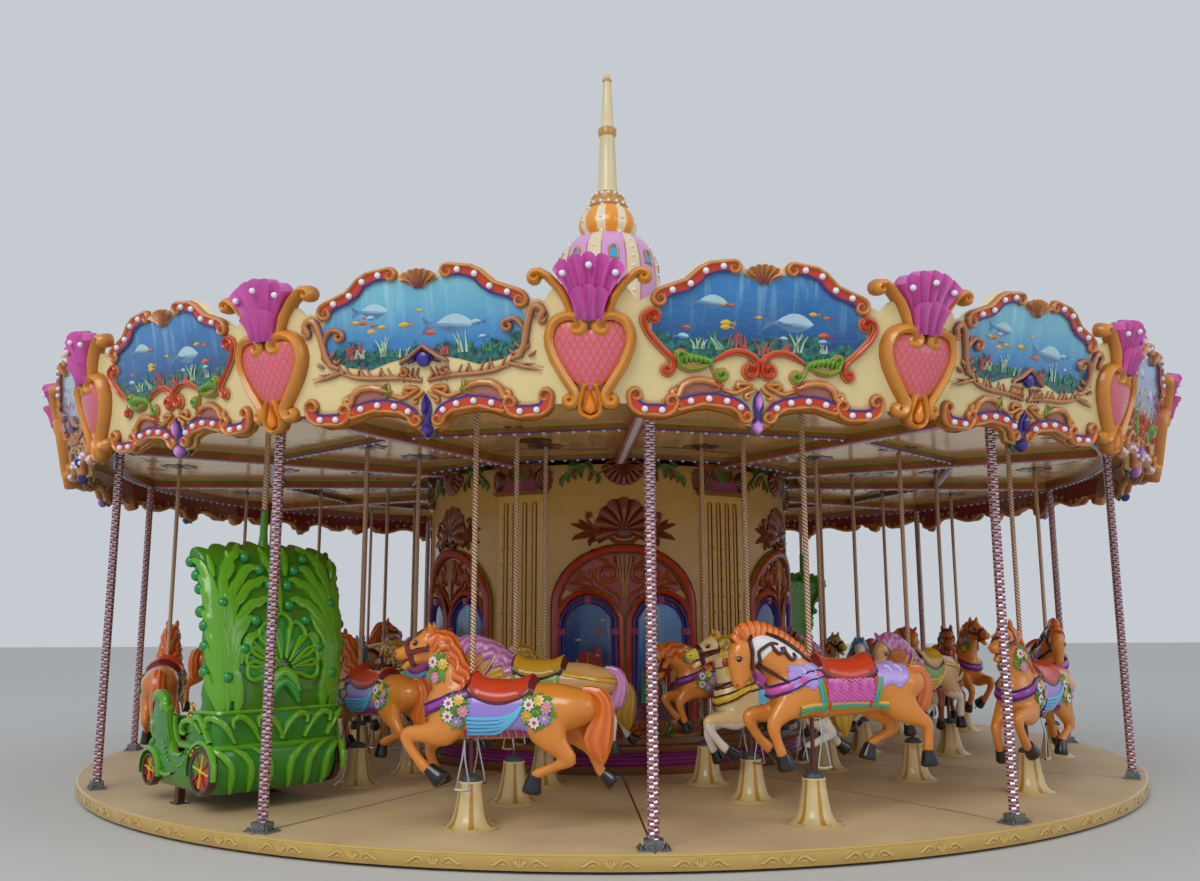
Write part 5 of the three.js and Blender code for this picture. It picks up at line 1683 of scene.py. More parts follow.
def figureOf(pose, dress):
    points, faces = bodies[pose]
    surface = Surface(points, faces)
    figure = Shape()
    # painted shade: the coat darkens towards the hooves and in the crease under the belly
    low = np.clip((0.62 - points[:, 2]) / 0.25, 0, 1)
    bellyShade = np.clip(1 - np.abs(points[:, 1]) / 0.05, 0, 1) * (points[:, 2] < 0.75)
    figure.add(points, faces, "coat", np.clip(0.25 * low + 0.4 * bellyShade, 0, 1))
    muzzle = np.array(poses[pose]["head"][6][:3])
    for index, corners in enumerate(faces):
        middle = points[list(corners)].mean(0)
        if np.linalg.norm(middle - muzzle) < 0.085:
            figure.paints[index] = "muzzle"
        elif middle[2] < 0.64:
            figure.paints[index] = "legs"
    hoofs(figure, pose)
    face(figure, surface, pose)
    if dress != "lace":
        bridle(figure, surface, pose, "tack")
    saddle(figure, surface)
    loft(figure, poses[pose]["tail"], "mane", sides=14, lobes=7, depth=0.10, twist=1.2, step=0.04)
    if dress == "lace":
        maneRibs(figure, pose, "mane")
        laceDress(figure, surface)
        chestStraps(figure, surface, "fringe", "tack")
    else:
        maneLocks(figure, surface, pose, "mane")
        caparison(figure, surface)
    if dress == "garland":
        garland(figure, surface, [(0.06, 0.83, 0.10, 0.11, 5), (-0.50, 0.83, 0.12, 0.11, 6),
                                  (0.215, 1.10, 0.065, 0.10, 3)])
        chestStraps(figure, surface, "fringe", "navyLine")
    if dress == "stripes":
        stripesDress(figure, surface, pose)
        chestStraps(figure, surface, "saddleSeat", "petalGold")
        crupper(figure, surface, "saddleSeat", "petalGold")
    if dress == "patches":
        patchesDress(figure, surface, pose)
        chestStraps(figure, surface, "petalGold", "tack")
        crupper(figure, surface, "fringe", "petalGold")
    stirrups(figure)
    return figure


# What each livery paints its parts with
liveries = {
    "garlandOrange": ("garland", {"coat": "coatOrange", "mane": "maneFlame", "tack": "tackMaroon",
                                  "cloth": "clothLilac", "swag": "swagBlue", "saddleSeat": "redEnamel",
                                  "saddleEdge": "tackMaroon", "earPaint": "coatOrange",
                                  "fringe": "fringePurple"}),
    "laceOrange": ("lace", {"coat": "coatOrange", "mane": "maneFlame", "tack": "navyLine",
                            "fringe": "magentaShell", "saddleSeat": "redEnamel", "saddleEdge": "tackMaroon",
                            "earPaint": "coatOrange"}),
    "fawnPink": ("stripes", {"coat": "coatFawn", "mane": "manePink", "tack": "tackMaroon",
                             "stripe": "stripeOrange", "cloth": "leafGreen", "swag": "petalGold",
                             "fringe": "fringePurple", "saddleSeat": "saddleGold",
                             "saddleEdge": "scrollBrown", "earPaint": "petalPink", "muzzle": "petalPink",
                             "legs": "coatWhite"}),
    "bayBrown": ("patches", {"coat": "coatBay", "mane": "maneDark", "tack": "tackMaroon",
                             "cloth": "magentaShell", "swag": "petalGold", "fringe": "redEnamel",
                             "saddleSeat": "scrollBrown", "saddleEdge": "petalGold", "earPaint": "coatBay"}),
    "fawnYellow": ("patches", {"coat": "coatCream", "mane": "saddleGold", "tack": "scrollBrown",
                               "cloth": "swagBlue", "swag": "fringePurple", "fringe": "redEnamel",
                               "saddleSeat": "magentaShell", "saddleEdge": "fringePurple",
                               "earPaint": "petalGold", "muzzle": "muzzleYellow", "legs": "coatWhite"}),
    "whiteBlue": ("stripes", {"coat": "coatWhite", "mane": "maneBlue", "tack": "fringePurple",
                              "stripe": "redEnamel", "cloth": "quiltPink", "swag": "swagBlue",
                              "fringe": "tealPaint", "saddleSeat": "redEnamel", "saddleEdge": "tackMaroon",
                              "earPaint": "swagBlue", "muzzle": "swagBlue"}),
}


def mountList():
    mounts = []
    inward = ["fawnPink", "bayBrown", "fawnYellow", "whiteBlue", "garlandOrange", "fawnPink", "fawnYellow"]
    for bay in range(12):
        for rank, (row, (radius, scale)) in enumerate(horses["rows"].items()):
            chariotHere = bay in horses["chariotBays"]
            if row == "outer" and chariotHere:
                continue
            moved = row == "middle" and chariotHere
            high = (bay + rank) % 2 == 0
            livery = "laceOrange" if high else "garlandOrange"
            if row != "outer":
                livery = inward[(bay * 3 + rank * 2) % len(inward)]
            mounts.append({"name": f"{row}_horse_{bay + 1:02d}", "radius": radius - 0.15 * moved,
                           "angle": 15 + 30 * bay + 2.9 * moved, "scale": scale, "high": high,
                           "livery": livery})
    return mounts


mounts = mountList()
bodies = {pose: poseBody(pose) for pose in poses}
figures = {}


# A figure's own x and y, turned to face the way that its place on the ride moves
def facingRound(radius, angle):
    turn = math.radians(angle + 180)
    cx, cy = around(radius, angle)
    return lambda x, y, z: np.column_stack([cx + x * math.cos(turn) - y * math.sin(turn),
                                            cy + x * math.sin(turn) + y * math.cos(turn), z])


def makeMount(mount):
    dress, colours = liveries[mount["livery"]]
    pose = "down" if mount["high"] else "up"
    if (pose, dress) not in figures:
        figures[(pose, dress)] = figureOf(pose, dress)
    scale, still = mount["scale"], horses["scaleHeight"]
    lift = ride["deckTop"] + (horses["restLift"] if mount["high"] else -horses["restLift"])
    spot = facingRound(mount["radius"], mount["angle"])

    def place(p, size=scale):
        return spot(p[:, 0] * size, p[:, 1] * size, still + (p[:, 2] - still) * size + lift)

    whole = Shape()
    whole.merge(figures[(pose, dress)], place)
    spare = {"muzzle": colours["coat"], "legs": colours["coat"]}
    whole.paints = [colours.get(paint, spare.get(paint, paint)) for paint in whole.paints]
    staff = Shape()
    poleFoot = still + (horses["saddleTop"] - still) * scale
    for foot, top, radius, paint in ((poleFoot, horses["poleTop"], horses["poleRadius"], "twistedBrass"),
                                     (horses["rodFoot"], still + horses["rodTop"] * scale,
                                      horses["rodRadius"], "rodMaroon")):
        loft(staff, [(0, 0, foot, radius, radius), (0, 0, top, radius, radius)], paint, sides=12, step=1.0)
    staff.flats = np.tile([*around(mount["radius"], mount["angle"]), 0.0], (staff.count, 1))
    whole.merge(staff, lambda p: place(p, 1.0))
    makePiece(mount["name"] + "_figure", whole, mount["name"], [mount["name"]], 50)


for mount in mounts:
    makeMount(mount)
print("mounts made")


# Painted finishes of the deck, the posts and the ceiling
addPaints({
    "fasciaOchre": ("#D9B767", "#9C7636"),
    "seamBrown": ("#7A4430", "#4E2A1C"),
    "bellCream": ("#EAD8A2", "#B8975A"),
    "bellGold": ("#CF9A3A", "#946420"),
    "stripPink": ("#C88CA4", "#824C66"),
    "stripViolet": ("#5A4A86", "#32264E"),
    "rimBrown": ("#96581F", "#552E10"),
    "rosetteMaroon": ("#6A2024", "#34100F"),
    "ventBlack": ("#151713", "#080908"),
    "roofBeige": ("#CDBE98", "#9A8B68"),
})


# Painted anti-slip sheet: dull, finely gritty, with dusty patches as wide as a step and small scuffs
def antiSlipPaint():
    material, tree, shader = newMaterial("antiSlipDeckPaint", 0.62, relief=(420.0, 2.0, 0.25, 0.001))
    dust = patches(tree, 0.9, 5.0, 0.35, 0.68)
    base = addNode(tree, "ShaderNodeMix", {0: dust, 6: linear("#D2B88C"), 7: linear("#BCA07A")}, 2,
                   data_type="RGBA")
    scuffs = patches(tree, 14.0, 6.0, 0.6, 0.76, 0.0, 0.5, roughness=0.7)
    colour = addNode(tree, "ShaderNodeMix", {0: scuffs, 6: base, 7: linear("#9A8466")}, 2, data_type="RGBA")
    tree.links.new(colour, shader.inputs["Base Color"])
    return material


# Hot-dip galvanised steel: dull grey spangle in grains of some 9 mm
def galvanisedSteel(name, colour, metallic, roughness):
    material, tree, shader = newMaterial(name, roughness, metallic, relief=(90.0, 2.0, 0.08, 0.001))
    place = addNode(tree, "ShaderNodeTexCoord", out="Object")
    spangle = addNode(tree, "ShaderNodeTexVoronoi", {"Vector": place, "Scale": 110.0}, "Distance")
    tone = addNode(tree, "ShaderNodeMapRange", {0: spangle, 1: 0.0, 2: 0.8}, 0)
    grey = addNode(tree, "ShaderNodeMix", {0: tone, 6: linear(colour), 7: linear("#5C6062")}, 2,
                   data_type="RGBA")
    tree.links.new(grey, shader.inputs["Base Color"])
    return material


# Metallised tape that the posts are wound with: bright chips, a rose base between them
def metalTape(name, light, dark, metallic, roughness):
    material, tree, shader = newMaterial(name, roughness, metallic, relief=(240.0, 1.0, 0.1, 0.001))
    glints = patches(tree, 60.0, 2.0, 0.35, 0.65)
    colour = addNode(tree, "ShaderNodeMix", {0: glints, 6: linear(light), 7: linear(dark)}, 2,
                     data_type="RGBA")
    tree.links.new(colour, shader.inputs["Base Color"])
    return material


paints["deckSheet"] = antiSlipPaint()
paints["galvanised"] = galvanisedSteel("galvanisedSteel", "#A8ACAE", 0.75, 0.42)
paints["collarIron"] = galvanisedSteel("castIronCollar", "#3A4248", 0.4, 0.5)
paints["tapeSilver"] = metalTape("silverTapeChips", "#F0E6EC", "#C8AEBA", 0.55, 0.18)
paints["tapeRose"] = metalTape("roseTapeChips", "#B8627A", "#8E3C52", 0.45, 0.25)
paints["tapeGap"] = metalTape("maroonTapeGap", "#7A2C3C", "#541C28", 0.2, 0.4)

# Turning deck: sheet, fascia with raised shells, and the bells that guide the mounts' rods
deck = {
    "radius": 5.115,
    "innerRadius": 2.08,
    "foot": 0.06,
    "fasciaWidth": 0.05,
    "fasciaFoot": 0.02,
    "ornaments": 60,
    "seamWidth": 0.016,
    "bellSides": 24,
}
bellProfile = [(0.188, -0.004), (0.187, 0.012), (0.166, 0.021), (0.136, 0.040), (0.114, 0.085),
               (0.100, 0.150), (0.087, 0.225), (0.079, 0.288), (0.083, 0.296), (0.078, 0.304), (0.070, 0.304)]
collarProfile = [(0.070, 0.300), (0.069, 0.320), (0.055, 0.337), (0.034, 0.347), (0.0165, 0.350),
                 (0.0165, 0.015)]


def fasciaOrnament():
    shape = Shape()
    for index in range(-2, 3):
        lean = 0.42 * index
        tip = (0.052 * math.sin(lean), 0.022 + 0.048 * math.cos(lean))
        bead(shape, np.array([(tip[0] * 0.25, 0.020), (tip[0] * 0.7, 0.012 + tip[1] * 0.62), tip]), 0.024,
             0.010, "fasciaOchre", taper=(0.4, 0.9))
    for side in (1, -1):
        hump = np.array([(0.058, 0.030), (0.078, 0.056), (0.108, 0.062), (0.136, 0.044), (0.158, 0.030),
                         (0.182, 0.034)])
        bead(shape, hump * [side, 1], 0.020, 0.009, "fasciaOchre", taper=(0.5, 0.3))
        bead(shape, np.array([(0.082, 0.026), (0.106, 0.036), (0.126, 0.024)]) * [side, 1], 0.014, 0.007,
             "fasciaOchre")
    return shape


def bell(shape, radius, angle):
    centre = around(radius, angle)

    def fluted(row, column):
        return "bellGold" if column % 4 == 0 and 2 <= row <= 7 else "bellCream"
    # painted shade: the bell darker towards the deck
    for profile, paint, tones in ((bellProfile, fluted, np.linspace(0.8, 0.0, 11)),
                                  (collarProfile, "collarIron", None)):
        lifted = np.array(profile) + [0, ride["deckTop"]]
        turned(shape, lifted, paint, deck["bellSides"], centre, tones, caps=(False, paint == "collarIron"))


def makeDeck():
    top, ornament = ride["deckTop"], fasciaOrnament()
    inner, rim = deck["innerRadius"], deck["radius"]
    back = rim - deck["fasciaWidth"]
    section = [(inner, deck["foot"]), (back, deck["foot"]), (back, deck["fasciaFoot"]),
               (rim, deck["fasciaFoot"]), (rim, top - 0.016), (rim + 0.004, top - 0.012),
               (rim + 0.004, top - 0.003), (rim - 0.006, top), (inner, top), (inner, deck["foot"])]
    for quarter in range(4):
        shape, start = Shape(), 90 * quarter
        screws, facings = [], []
        # painted shade: the fascia darker towards its foot
        turned(shape, section, lambda row, _: "fasciaOchre" if 2 <= row <= 6 else "deckSheet", 30,
               arc=(start, start + 90), tones=[0, 0, 1, 0.7, 0.2, 0, 0, 0, 0, 0])
        for index in range(3):
            angle = start + 30 * index
            bar(shape, (*around(inner, angle), top), (*around(rim - 0.01, angle), top), deck["seamWidth"],
                0.0008, "seamBrown")
        for mount in mounts:
            if start < mount["angle"] < start + 90:
                bell(shape, mount["radius"], mount["angle"])
                for turn in range(0, 360, 60):
                    x, y = around(mount["radius"], mount["angle"])
                    dx, dy = around(0.168, turn + 20)
                    screws.append((x + dx, y + dy, top + 0.020))
                    facings.append((0, 0, 1))
        whole = Shape()
        whole.merge(shape)
        for index in range(deck["ornaments"] // 4):
            angle = start + (index + 0.5) * 360 / deck["ornaments"]
            whole.merge(ornament, onRing(angle, rim - 0.001, deck["fasciaFoot"]))
        makePiece(f"deck_sheet_{quarter + 1}", whole, "rotor", [f"deck_{quarter + 1}"])
        growBulbs(f"bell_screws_{quarter + 1}", screws, facings, 0.006, "rotor", "galvanised", 6, 4)
    print("deck made")


makeDeck()

# Posts wound with tape, their foot flanges and the rim that they carry
posts = {
    "foot": 0.135,
    "top": 2.93,
    "pitch": 0.018,
    "chips": 8,
    "low": 0.0330,
    "high": 0.0375,
    "flange": (0.20, 0.13, 0.012),
    "block": (0.115, 0.095, 0.050),
    "rimHalf": 0.045,
    "stripHalf": 0.024,
    "stripDrop": 0.010,
    "bulbPitch": 0.12,
    "bulbRadius": 0.016,
}


# Each turn of the tape has a lower and an upper slope, in chips that take turns
def woundShaft(shape, angle):
    cx, cy = around(ride["postCircle"], angle)
    chips, pitch = posts["chips"], posts["pitch"]
    count = int((posts["top"] - posts["foot"]) / pitch) * chips
    steps = np.arange(count + 1)
    turn = 2 * math.pi * steps / chips
    points = np.zeros((count + 1, 2, 3))
    for column, (radius, rise) in enumerate(((posts["low"], 0.0), (posts["high"], pitch / 2))):
        points[:, column, 0] = cx + radius * np.sin(turn)
        points[:, column, 1] = cy - radius * np.cos(turn)
        points[:, column, 2] = posts["foot"] + pitch * steps / chips + rise
    lower = [(2 * n, 2 * n + 2, 2 * n + 3, 2 * n + 1) for n in range(count)]
    upper = [(2 * n + 1, 2 * n + 3, 2 * (n + chips) + 2, 2 * (n + chips)) for n in range(count - chips)]
    first = len(shape.paints)
    shape.add(points, lower + upper, "tapeSilver")
    for n in range(count):
        shape.paints[first + n] = "tapeRose" if n % 3 == 0 else "tapeSilver"
    for n in range(count - chips):
        shape.paints[first + count + n] = "tapeSilver" if n % 3 == 1 else "tapeGap"


def footFlange(shape, angle):
    length, depth, thickness = posts["flange"]
    foot = ride["deckTop"] + 0.0005
    out = np.array([*around(1.0, angle), 0])
    along = np.array([-out[1], out[0], 0])
    centre = ride["postCircle"] * out + np.array([0, 0, foot])
    bar(shape, centre - along * length / 2, centre + along * length / 2, depth, thickness, "galvanised")
    length, depth, height = posts["block"]
    raised = centre + np.array([0, 0, thickness])
    bar(shape, raised - along * length / 2, raised + along * length / 2, depth, height, "galvanised", 0.4)
    for s in (1, -1):
        for t in (1, -1):
            x, y, _ = centre + along * 0.08 * s + out * 0.045 * t
            turned(shape, [(0.012, raised[2]), (0.012, raised[2] + 0.009), (0.006, raised[2] + 0.010),
                           (0.006, raised[2] + 0.018)], "galvanised", 6, (x, y), caps=(False, True))


# Small bulbs that hang from a strip at even steps along a path
def bulbRow(places, facings, path):
    reach = np.concatenate([[0], np.cumsum(np.linalg.norm(np.diff(path, axis=0), axis=1))])
    for along in np.arange(posts["bulbPitch"] / 2, reach[-1], posts["bulbPitch"]):
        places.append([np.interp(along, reach, path[:, axis]) for axis in range(3)])
        facings.append((0, 0, -1))


def makePosts():
    ringRadius, rimTop = ride["postCircle"], ride["ceilingFoot"] - 0.0005
    for quarter in range(4):
        shape, places, facings = Shape(), [], []
        start = 90 * quarter
        for index in range(3):
            woundShaft(shape, start + 30 * index)
            footFlange(shape, start + 30 * index)
        for half, foot, top, paint in ((posts["rimHalf"], ride["beamFoot"], rimTop, "rimBrown"),
                                       (posts["stripHalf"], ride["beamFoot"] - posts["stripDrop"],
                                        ride["beamFoot"], "stripViolet")):
            turned(shape, [(ringRadius - half, foot), (ringRadius + half, foot), (ringRadius + half, top),
                           (ringRadius - half, top),
                           (ringRadius - half, foot)], paint, 30, arc=(start - 15, start + 75))
        arc = [(*around(ringRadius, angle), ride["beamFoot"] - posts["stripDrop"] - 0.001)
               for angle in np.linspace(start - 15, start + 75, 60)]
        bulbRow(places, facings, np.array(arc))
        makePiece(f"wound_posts_{quarter + 1}", shape, "rotor", [f"posts_{quarter + 1}"], 20)
        growBulbs(f"rim_bulbs_{quarter + 1}", places, facings, posts["bulbRadius"], "rotor", "bulb", 6, 3)
    print("posts made")


makePosts()


# Ceiling sheet of polished gold laminate, which mirrors the ride a little wavily, on brown painted beams
def ceilingFinish():
    material, tree, shader = newMaterial("goldLaminateAndBeams", 0.1, relief=(3.0, 2.0, 0.25, 0.02))
    place = addNode(tree, "ShaderNodeTexCoord", out="Object")
    height = addNode(tree, "ShaderNodeSeparateXYZ", {0: place}, "Z")
    foot = ride["ceilingFoot"]
    sheet = addNode(tree, "ShaderNodeMapRange", {0: height, 1: foot - 0.0012, 2: foot - 0.0006}, 0)
    line = addNode(tree, "ShaderNodeMapRange", {0: height, 1: foot - 0.010, 2: foot - 0.009}, 0)
    tones = {0: patches(tree, 5.0, 3.0, 0.35, 0.65), 6: linear("#A8662A"), 7: linear("#8A5020")}
    brown = addNode(tree, "ShaderNodeMix", tones, 2, data_type="RGBA")
    beam = addNode(tree, "ShaderNodeMix", {0: line, 6: brown, 7: linear("#4E8A1C")}, 2, data_type="RGBA")
    tones = {0: patches(tree, 1.3, 3.0, 0.35, 0.65), 6: linear("#FFDC98"), 7: linear("#F4C880")}
    gold = addNode(tree, "ShaderNodeMix", tones, 2, data_type="RGBA")
    colour = addNode(tree, "ShaderNodeMix", {0: sheet, 6: beam, 7: gold}, 2, data_type="RGBA")
    tree.links.new(colour, shader.inputs["Base Color"])
    for socket, onBeams, onSheet in (("Metallic", 0.0, 0.42), ("Roughness", 0.35, 0.16)):
        value = addNode(tree, "ShaderNodeMapRange", {0: sheet, 3: onBeams, 4: onSheet}, 0)
        tree.links.new(value, shader.inputs[socket])
    return material


def rosette(shape, radius, angle):
    x, y = around(radius, angle)
    count = 36
    turns = fullTurn(count)
    spikes = 0.105 + 0.070 * np.abs(np.cos(4.5 * turns)) ** 0.7 * (0.8 + 0.2 * np.cos(9 * turns))
    foot = ride["ceilingFoot"]
    rings = [(0.026, 0.001), (0.026, 0.014), (0.060, 0.012), (0.062, 0.008), (spikes, 0.006), (spikes, 0.001)]
    grid = np.zeros((len(rings), count, 3))
    for row, (reach, drop) in enumerate(rings):
        grid[row, :, 0] = x + reach * np.cos(turns)
        grid[row, :, 1] = y - reach * np.sin(turns)
        grid[row, :, 2] = foot - drop
    first = len(shape.paints)
    faces = gridFaces(len(rings), count, closed=True)
    shape.add(grid, [face[::-1] for face in faces], "rosetteMaroon",
              np.repeat([0, 0, 0, 0.8, 0.1, 0.5], count))
    for index in range(2 * count):
        shape.paints[first + index] = "ventBlack"


def makeCeiling():
    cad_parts["ceiling"].data.materials.clear()
    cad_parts["ceiling"].data.materials.append(ceilingFinish())
    shape, places, facings = Shape(), [], []
    foot, drop = ride["beamFoot"], posts["stripDrop"]
    for bay in range(12):
        angle = bay * 30
        dashed = bay in (0, 10)
        start, stop = (np.array([*around(radius, angle), foot - drop]) for radius in (1.99, 4.925))
        bar(shape, start, stop, 0.080, drop, "stripPink")
        if dashed:
            for t in np.arange(0.03, 0.99, 0.0155):
                centre = start + (stop - start) * t
                ahead = (stop - start) / np.linalg.norm(stop - start) * 0.013
                bar(shape, centre - ahead - [0, 0, 0.006], centre + ahead - [0, 0, 0.006],
                    0.042, 0.006, "bulb")
        else:
            bulbRow(places, facings, np.array([start, stop]) - [0, 0, 0.001])
        for ringRadius in (2.10, 3.57):
            middle = np.array(around(ringRadius, angle + 15))
            half = ringRadius * math.tan(math.radians(15)) - 0.06
            along = np.array([-middle[1], middle[0]]) / ringRadius * half
            low = ride["ceilingFoot"] - 0.040 - drop
            start, stop = (np.array([*(middle + s * along), low]) for s in (-1, 1))
            bar(shape, start, stop, 0.046, drop, "stripViolet")
            bulbRow(places, facings, np.array([start, stop]) - [0, 0, 0.001])
        # a painted reflection: a wavy maroon line on the gold sheet just outside the inner cross strips,
        # where the drum's frieze would mirror
        wave = [(*around(2.46 + 0.07 * math.sin(math.radians(12 * a)), angle + a),
                 ride["ceilingFoot"] - 0.001)
                for a in np.linspace(3, 27, 25)]
        laid(shape, [(np.array(p), np.array([0, 0, -1.0])) for p in wave], 0.036, 0.002,
             "rosetteMaroon", (0.2, 0.0), 0.3)
        # painted reflections: curled brown strokes on the gold sheet near the rim, where the boards' ornament
        # would mirror
        for a in (7, 11, 19, 23):
            for turn in (-0.5, 0.5):
                petal = [(*around(4.62 + 0.16 * s, angle + a + (turn + (a - 15) * 0.05) * 3.2 * s * s),
                          ride["ceilingFoot"] - 0.001) for s in np.linspace(0, 1, 7)]
                laid(shape, [(np.array(p), np.array([0, 0, -1.0])) for p in petal], 0.050, 0.002, "rimBrown",
                     (0.6, 0.0), 0.2)
        if bay in (2, 5, 8, 11):
            x, y = around(2.93, angle + 14.8)
            turned(shape, [(0.10, 2.952), (0.14, 2.952), (0.145, 2.959)], "ventBlack", 24, (x, y),
                   caps=(True, False))
    for mount in mounts:
        rosette(shape, mount["radius"], mount["angle"])
    makePiece("ceiling_trim", shape, "rotor")
    growBulbs("ceiling_bulbs", places, facings, posts["bulbRadius"], "rotor", "bulb", 6, 3)
    print("ceiling made")


makeCeiling()


# Roof, dome, pumpkin and spire: sprayed shells with beads and windows
addPaints({
    "domePink": ("#E6ACDC", "#C070B4"),
    "domeCream": ("#F2E2BC", "#D0B47E"),
    "windowBlue": ("#3FA8DC", "#1E5E9A"),
    "pumpkinOrange": ("#F4A02C", "#C86E14"),
    "ringGold": ("#C8924A", "#8A5A28"),
    "spireCream": ("#E2D2A6", "#B49A68"),
    "pearlWhite": ("#F4F0EC", "#C8C4C8"),
})

top = {"periods": 8, "pinkCentre": 3.5, "pinkHalf": 13.5, "orangeCentre": 4.9, "orangeHalf": 14.0,
       "segments": 96}
domeProfile = [(0.560, 4.7205), (0.590, 4.970), (0.600, 5.220), (0.588, 5.314), (0.574, 5.433),
               (0.535, 5.572), (0.480, 5.660), (0.412, 5.732), (0.330, 5.765), (0.250, 5.780), (0.002, 5.780)]
pumpkinProfile = [(0.250, 5.7806), (0.300, 5.835), (0.322, 5.880), (0.330, 5.930), (0.322, 5.990),
                  (0.300, 6.050), (0.262, 6.100), (0.230, 6.130), (0.002, 6.130)]
spireProfile = [(0.215, 6.1309), (0.232, 6.150), (0.236, 6.170), (0.232, 6.190), (0.215, 6.220),
                (0.190, 6.224), (0.180, 6.232), (0.188, 6.270), (0.186, 6.298), (0.176, 6.306),
                (0.150, 6.312), (0.130, 6.325), (0.136, 6.335), (0.118, 6.346), (0.110, 6.500),
                (0.088, 7.034), (0.104, 7.060), (0.110, 7.085), (0.108, 7.130), (0.086, 7.150),
                (0.078, 7.169), (0.047, 7.725), (0.058, 7.745), (0.057, 7.757), (0.036, 7.780),
                (0.035, 7.820), (0.018, 7.838), (0.002, 7.844)]
spireGold = {0, 1, 2, 3, 4, 6, 7, 8, 11, 15, 16, 17, 18, 21, 22, 23}


def striped(centre, half, first, second):
    def paint(_, column):
        angle = (column + 0.5) * 360 / top["segments"]
        off = abs((angle - centre + 22.5) % 45 - 22.5)
        return first if off < half else second
    return paint


def ogive(half, foot, springing, crown):
    t = np.linspace(0, 1, 7)
    right = np.column_stack([half * np.cos(t * math.pi / 2) ** 0.8,
                             springing + (crown - springing) * t ** 0.85])
    return np.vstack([[(half, foot)], right, right[-2::-1] * [-1, 1], [(-half, foot)]])


def makeTop():
    roof = Shape()
    # painted shade: dark underneath, lightest at the eave's top edge
    turned(roof, [(0.002, 4.678), (0.60, 4.678), (5.09, 3.078), (5.09, 2.991), (5.15, 2.991), (5.152, 3.118),
                  (5.13, 3.128), (0.64, 4.72), (0.002, 4.72)], "roofBeige", 96, caps=(True, True),
           tones=[0.8, 0.8, 0.8, 0.6, 0.4, 0.2, 0, 0.3, 0.3])
    for index in range(24):
        low, high = ((*around(radius, 15 * index + 3.75), height) for radius,
                     height in ((5.12, 3.128), (0.66, 4.708)))
        bar(roof, low, high, 0.030, 0.026, "roofBeige", 0.25)
    makePiece("roof_sheets", roof, "rotor", ["roof"], 30)
    dome, pumpkin, spire = Shape(), Shape(), Shape()
    # painted shade: the dome darker towards its foot, none at the top
    turned(dome, domeProfile, striped(top["pinkCentre"], top["pinkHalf"], "domePink", "domeCream"),
           top["segments"],
           tones=np.linspace(0.5, 0, len(domeProfile)), caps=(True, True))
    turned(pumpkin, pumpkinProfile, striped(top["orangeCentre"], top["orangeHalf"], "pumpkinOrange",
                                            "domeCream"),
           top["segments"], caps=(True, True), swell=lambda a: 1
           + 0.022 * np.cos(8 * (a - math.radians(4.9))))
    turned(spire, spireProfile, lambda row, _: "ringGold" if row in spireGold else "spireCream", 48,
           caps=(True, True))
    places, facings = [], []
    trims = Shape()
    for index in range(top["periods"]):
        cream = top["pinkCentre"] + 22.5 + 45 * index
        window = Shape()
        outline = ogive(0.040, 5.375, 5.455, 5.515)
        fieldPlate(window, [outline], 0.008, "windowBlue", 0.03)
        bead(window, ogive(0.050, 5.362, 5.455, 5.532)[::-1], 0.034, 0.026, "ringGold")
        bead(window, np.array([(-0.066, 5.362), (0, 5.358), (0.066, 5.362)]), 0.034, 0.026, "ringGold")
        trims.merge(window, onLathe(cream - 22.5, domeProfile[:-1]))
        for edge in (-1, 1):
            line = Shape()
            bead(line, np.array([(0.0, z) for z in np.linspace(4.73, 5.775, 16)]), 0.010, 0.007, "ringGold")
            trims.merge(line, onLathe(cream + edge * (22.5 - top["pinkHalf"]), domeProfile[:-1]))
        for height in (5.02, 5.16, 5.30, 5.42, 5.53, 5.63):
            radius = np.interp(height, [z for _, z in domeProfile], [r for r, _ in domeProfile])
            places.append((*around(radius, cream), height))
            facings.append((*around(1, cream), 0.3))
        for height, radius in ((5.95, 0.327), (5.80, 0.268), (6.12, 0.243)):
            angle = top["orangeCentre"] + 22.5 + 45 * index
            places.append((*around(radius, angle), height))
            facings.append((*around(1, angle), 0.2))
    for index in range(16):
        for height, radius in ((6.285, 0.187), (6.170, 0.236)):
            places.append((*around(radius, 22.5 * index), height))
            facings.append((*around(1, 22.5 * index), 0))
    whole = Shape()
    whole.merge(dome)
    whole.merge(trims)
    makePiece("dome_shell", whole, "rotor", ["dome"])
    makePiece("pumpkin_shell", pumpkin, "rotor", ["pumpkin"])
    makePiece("spire_shell", spire, "rotor", ["spire"])
    growBulbs("top_beads", places, facings, 0.021, "rotor", "pearlWhite", 8, 5)
    print("top made")


makeTop()


# Painted finishes of the drum: gloss enamels with painted shade in their grooves
addPaints({
    "drumOchre": ("#D0A450", "#8E6424"),
    "pilasterOchre": ("#E2B654", "#9E7428"),
    "fluteGold": ("#C48430", "#744818"),
    "studLilac": ("#D8D4E0", "#9A94B0"),
    "archRed": ("#B23012", "#6A1408"),
    "carvedBrown": ("#B4581E", "#6E240C"),
    "shellBrown": ("#92421E", "#481608"),
    "urnOchre": ("#C08A3C", "#6E4818"),
    "frameViolet": ("#54429E", "#281F5E"),
    "blockPink": ("#A83A6A", "#661C42"),
    "capitalBrown": ("#9C5C26", "#44220E"),
    "bandPink": ("#A83A78", "#641A48"),
    "abacusGrey": ("#3E3A38", "#1E1C1C"),
    "garlandGreen": ("#6A8428", "#2C4210"),
    "baseBrown": ("#7E4A24", "#3A1E0E"),
    "baseMaroon": ("#5A1C3A", "#300E1E"),
    "basePurple": ("#8E2C7C", "#481242"),
})
paints["duskWater"] = seaPanel("duskDoorPrint", "#2A5AA0", "#10142A", "#1E5A58", 7.7, 0.60, 0.90, 0.0)
paints["dayWater"] = seaPanel("dayDoorPrint", "#5A9CDC", "#1E3A86", "#4A3A6A", 12.3, 0.60, 0.90, 0.0)

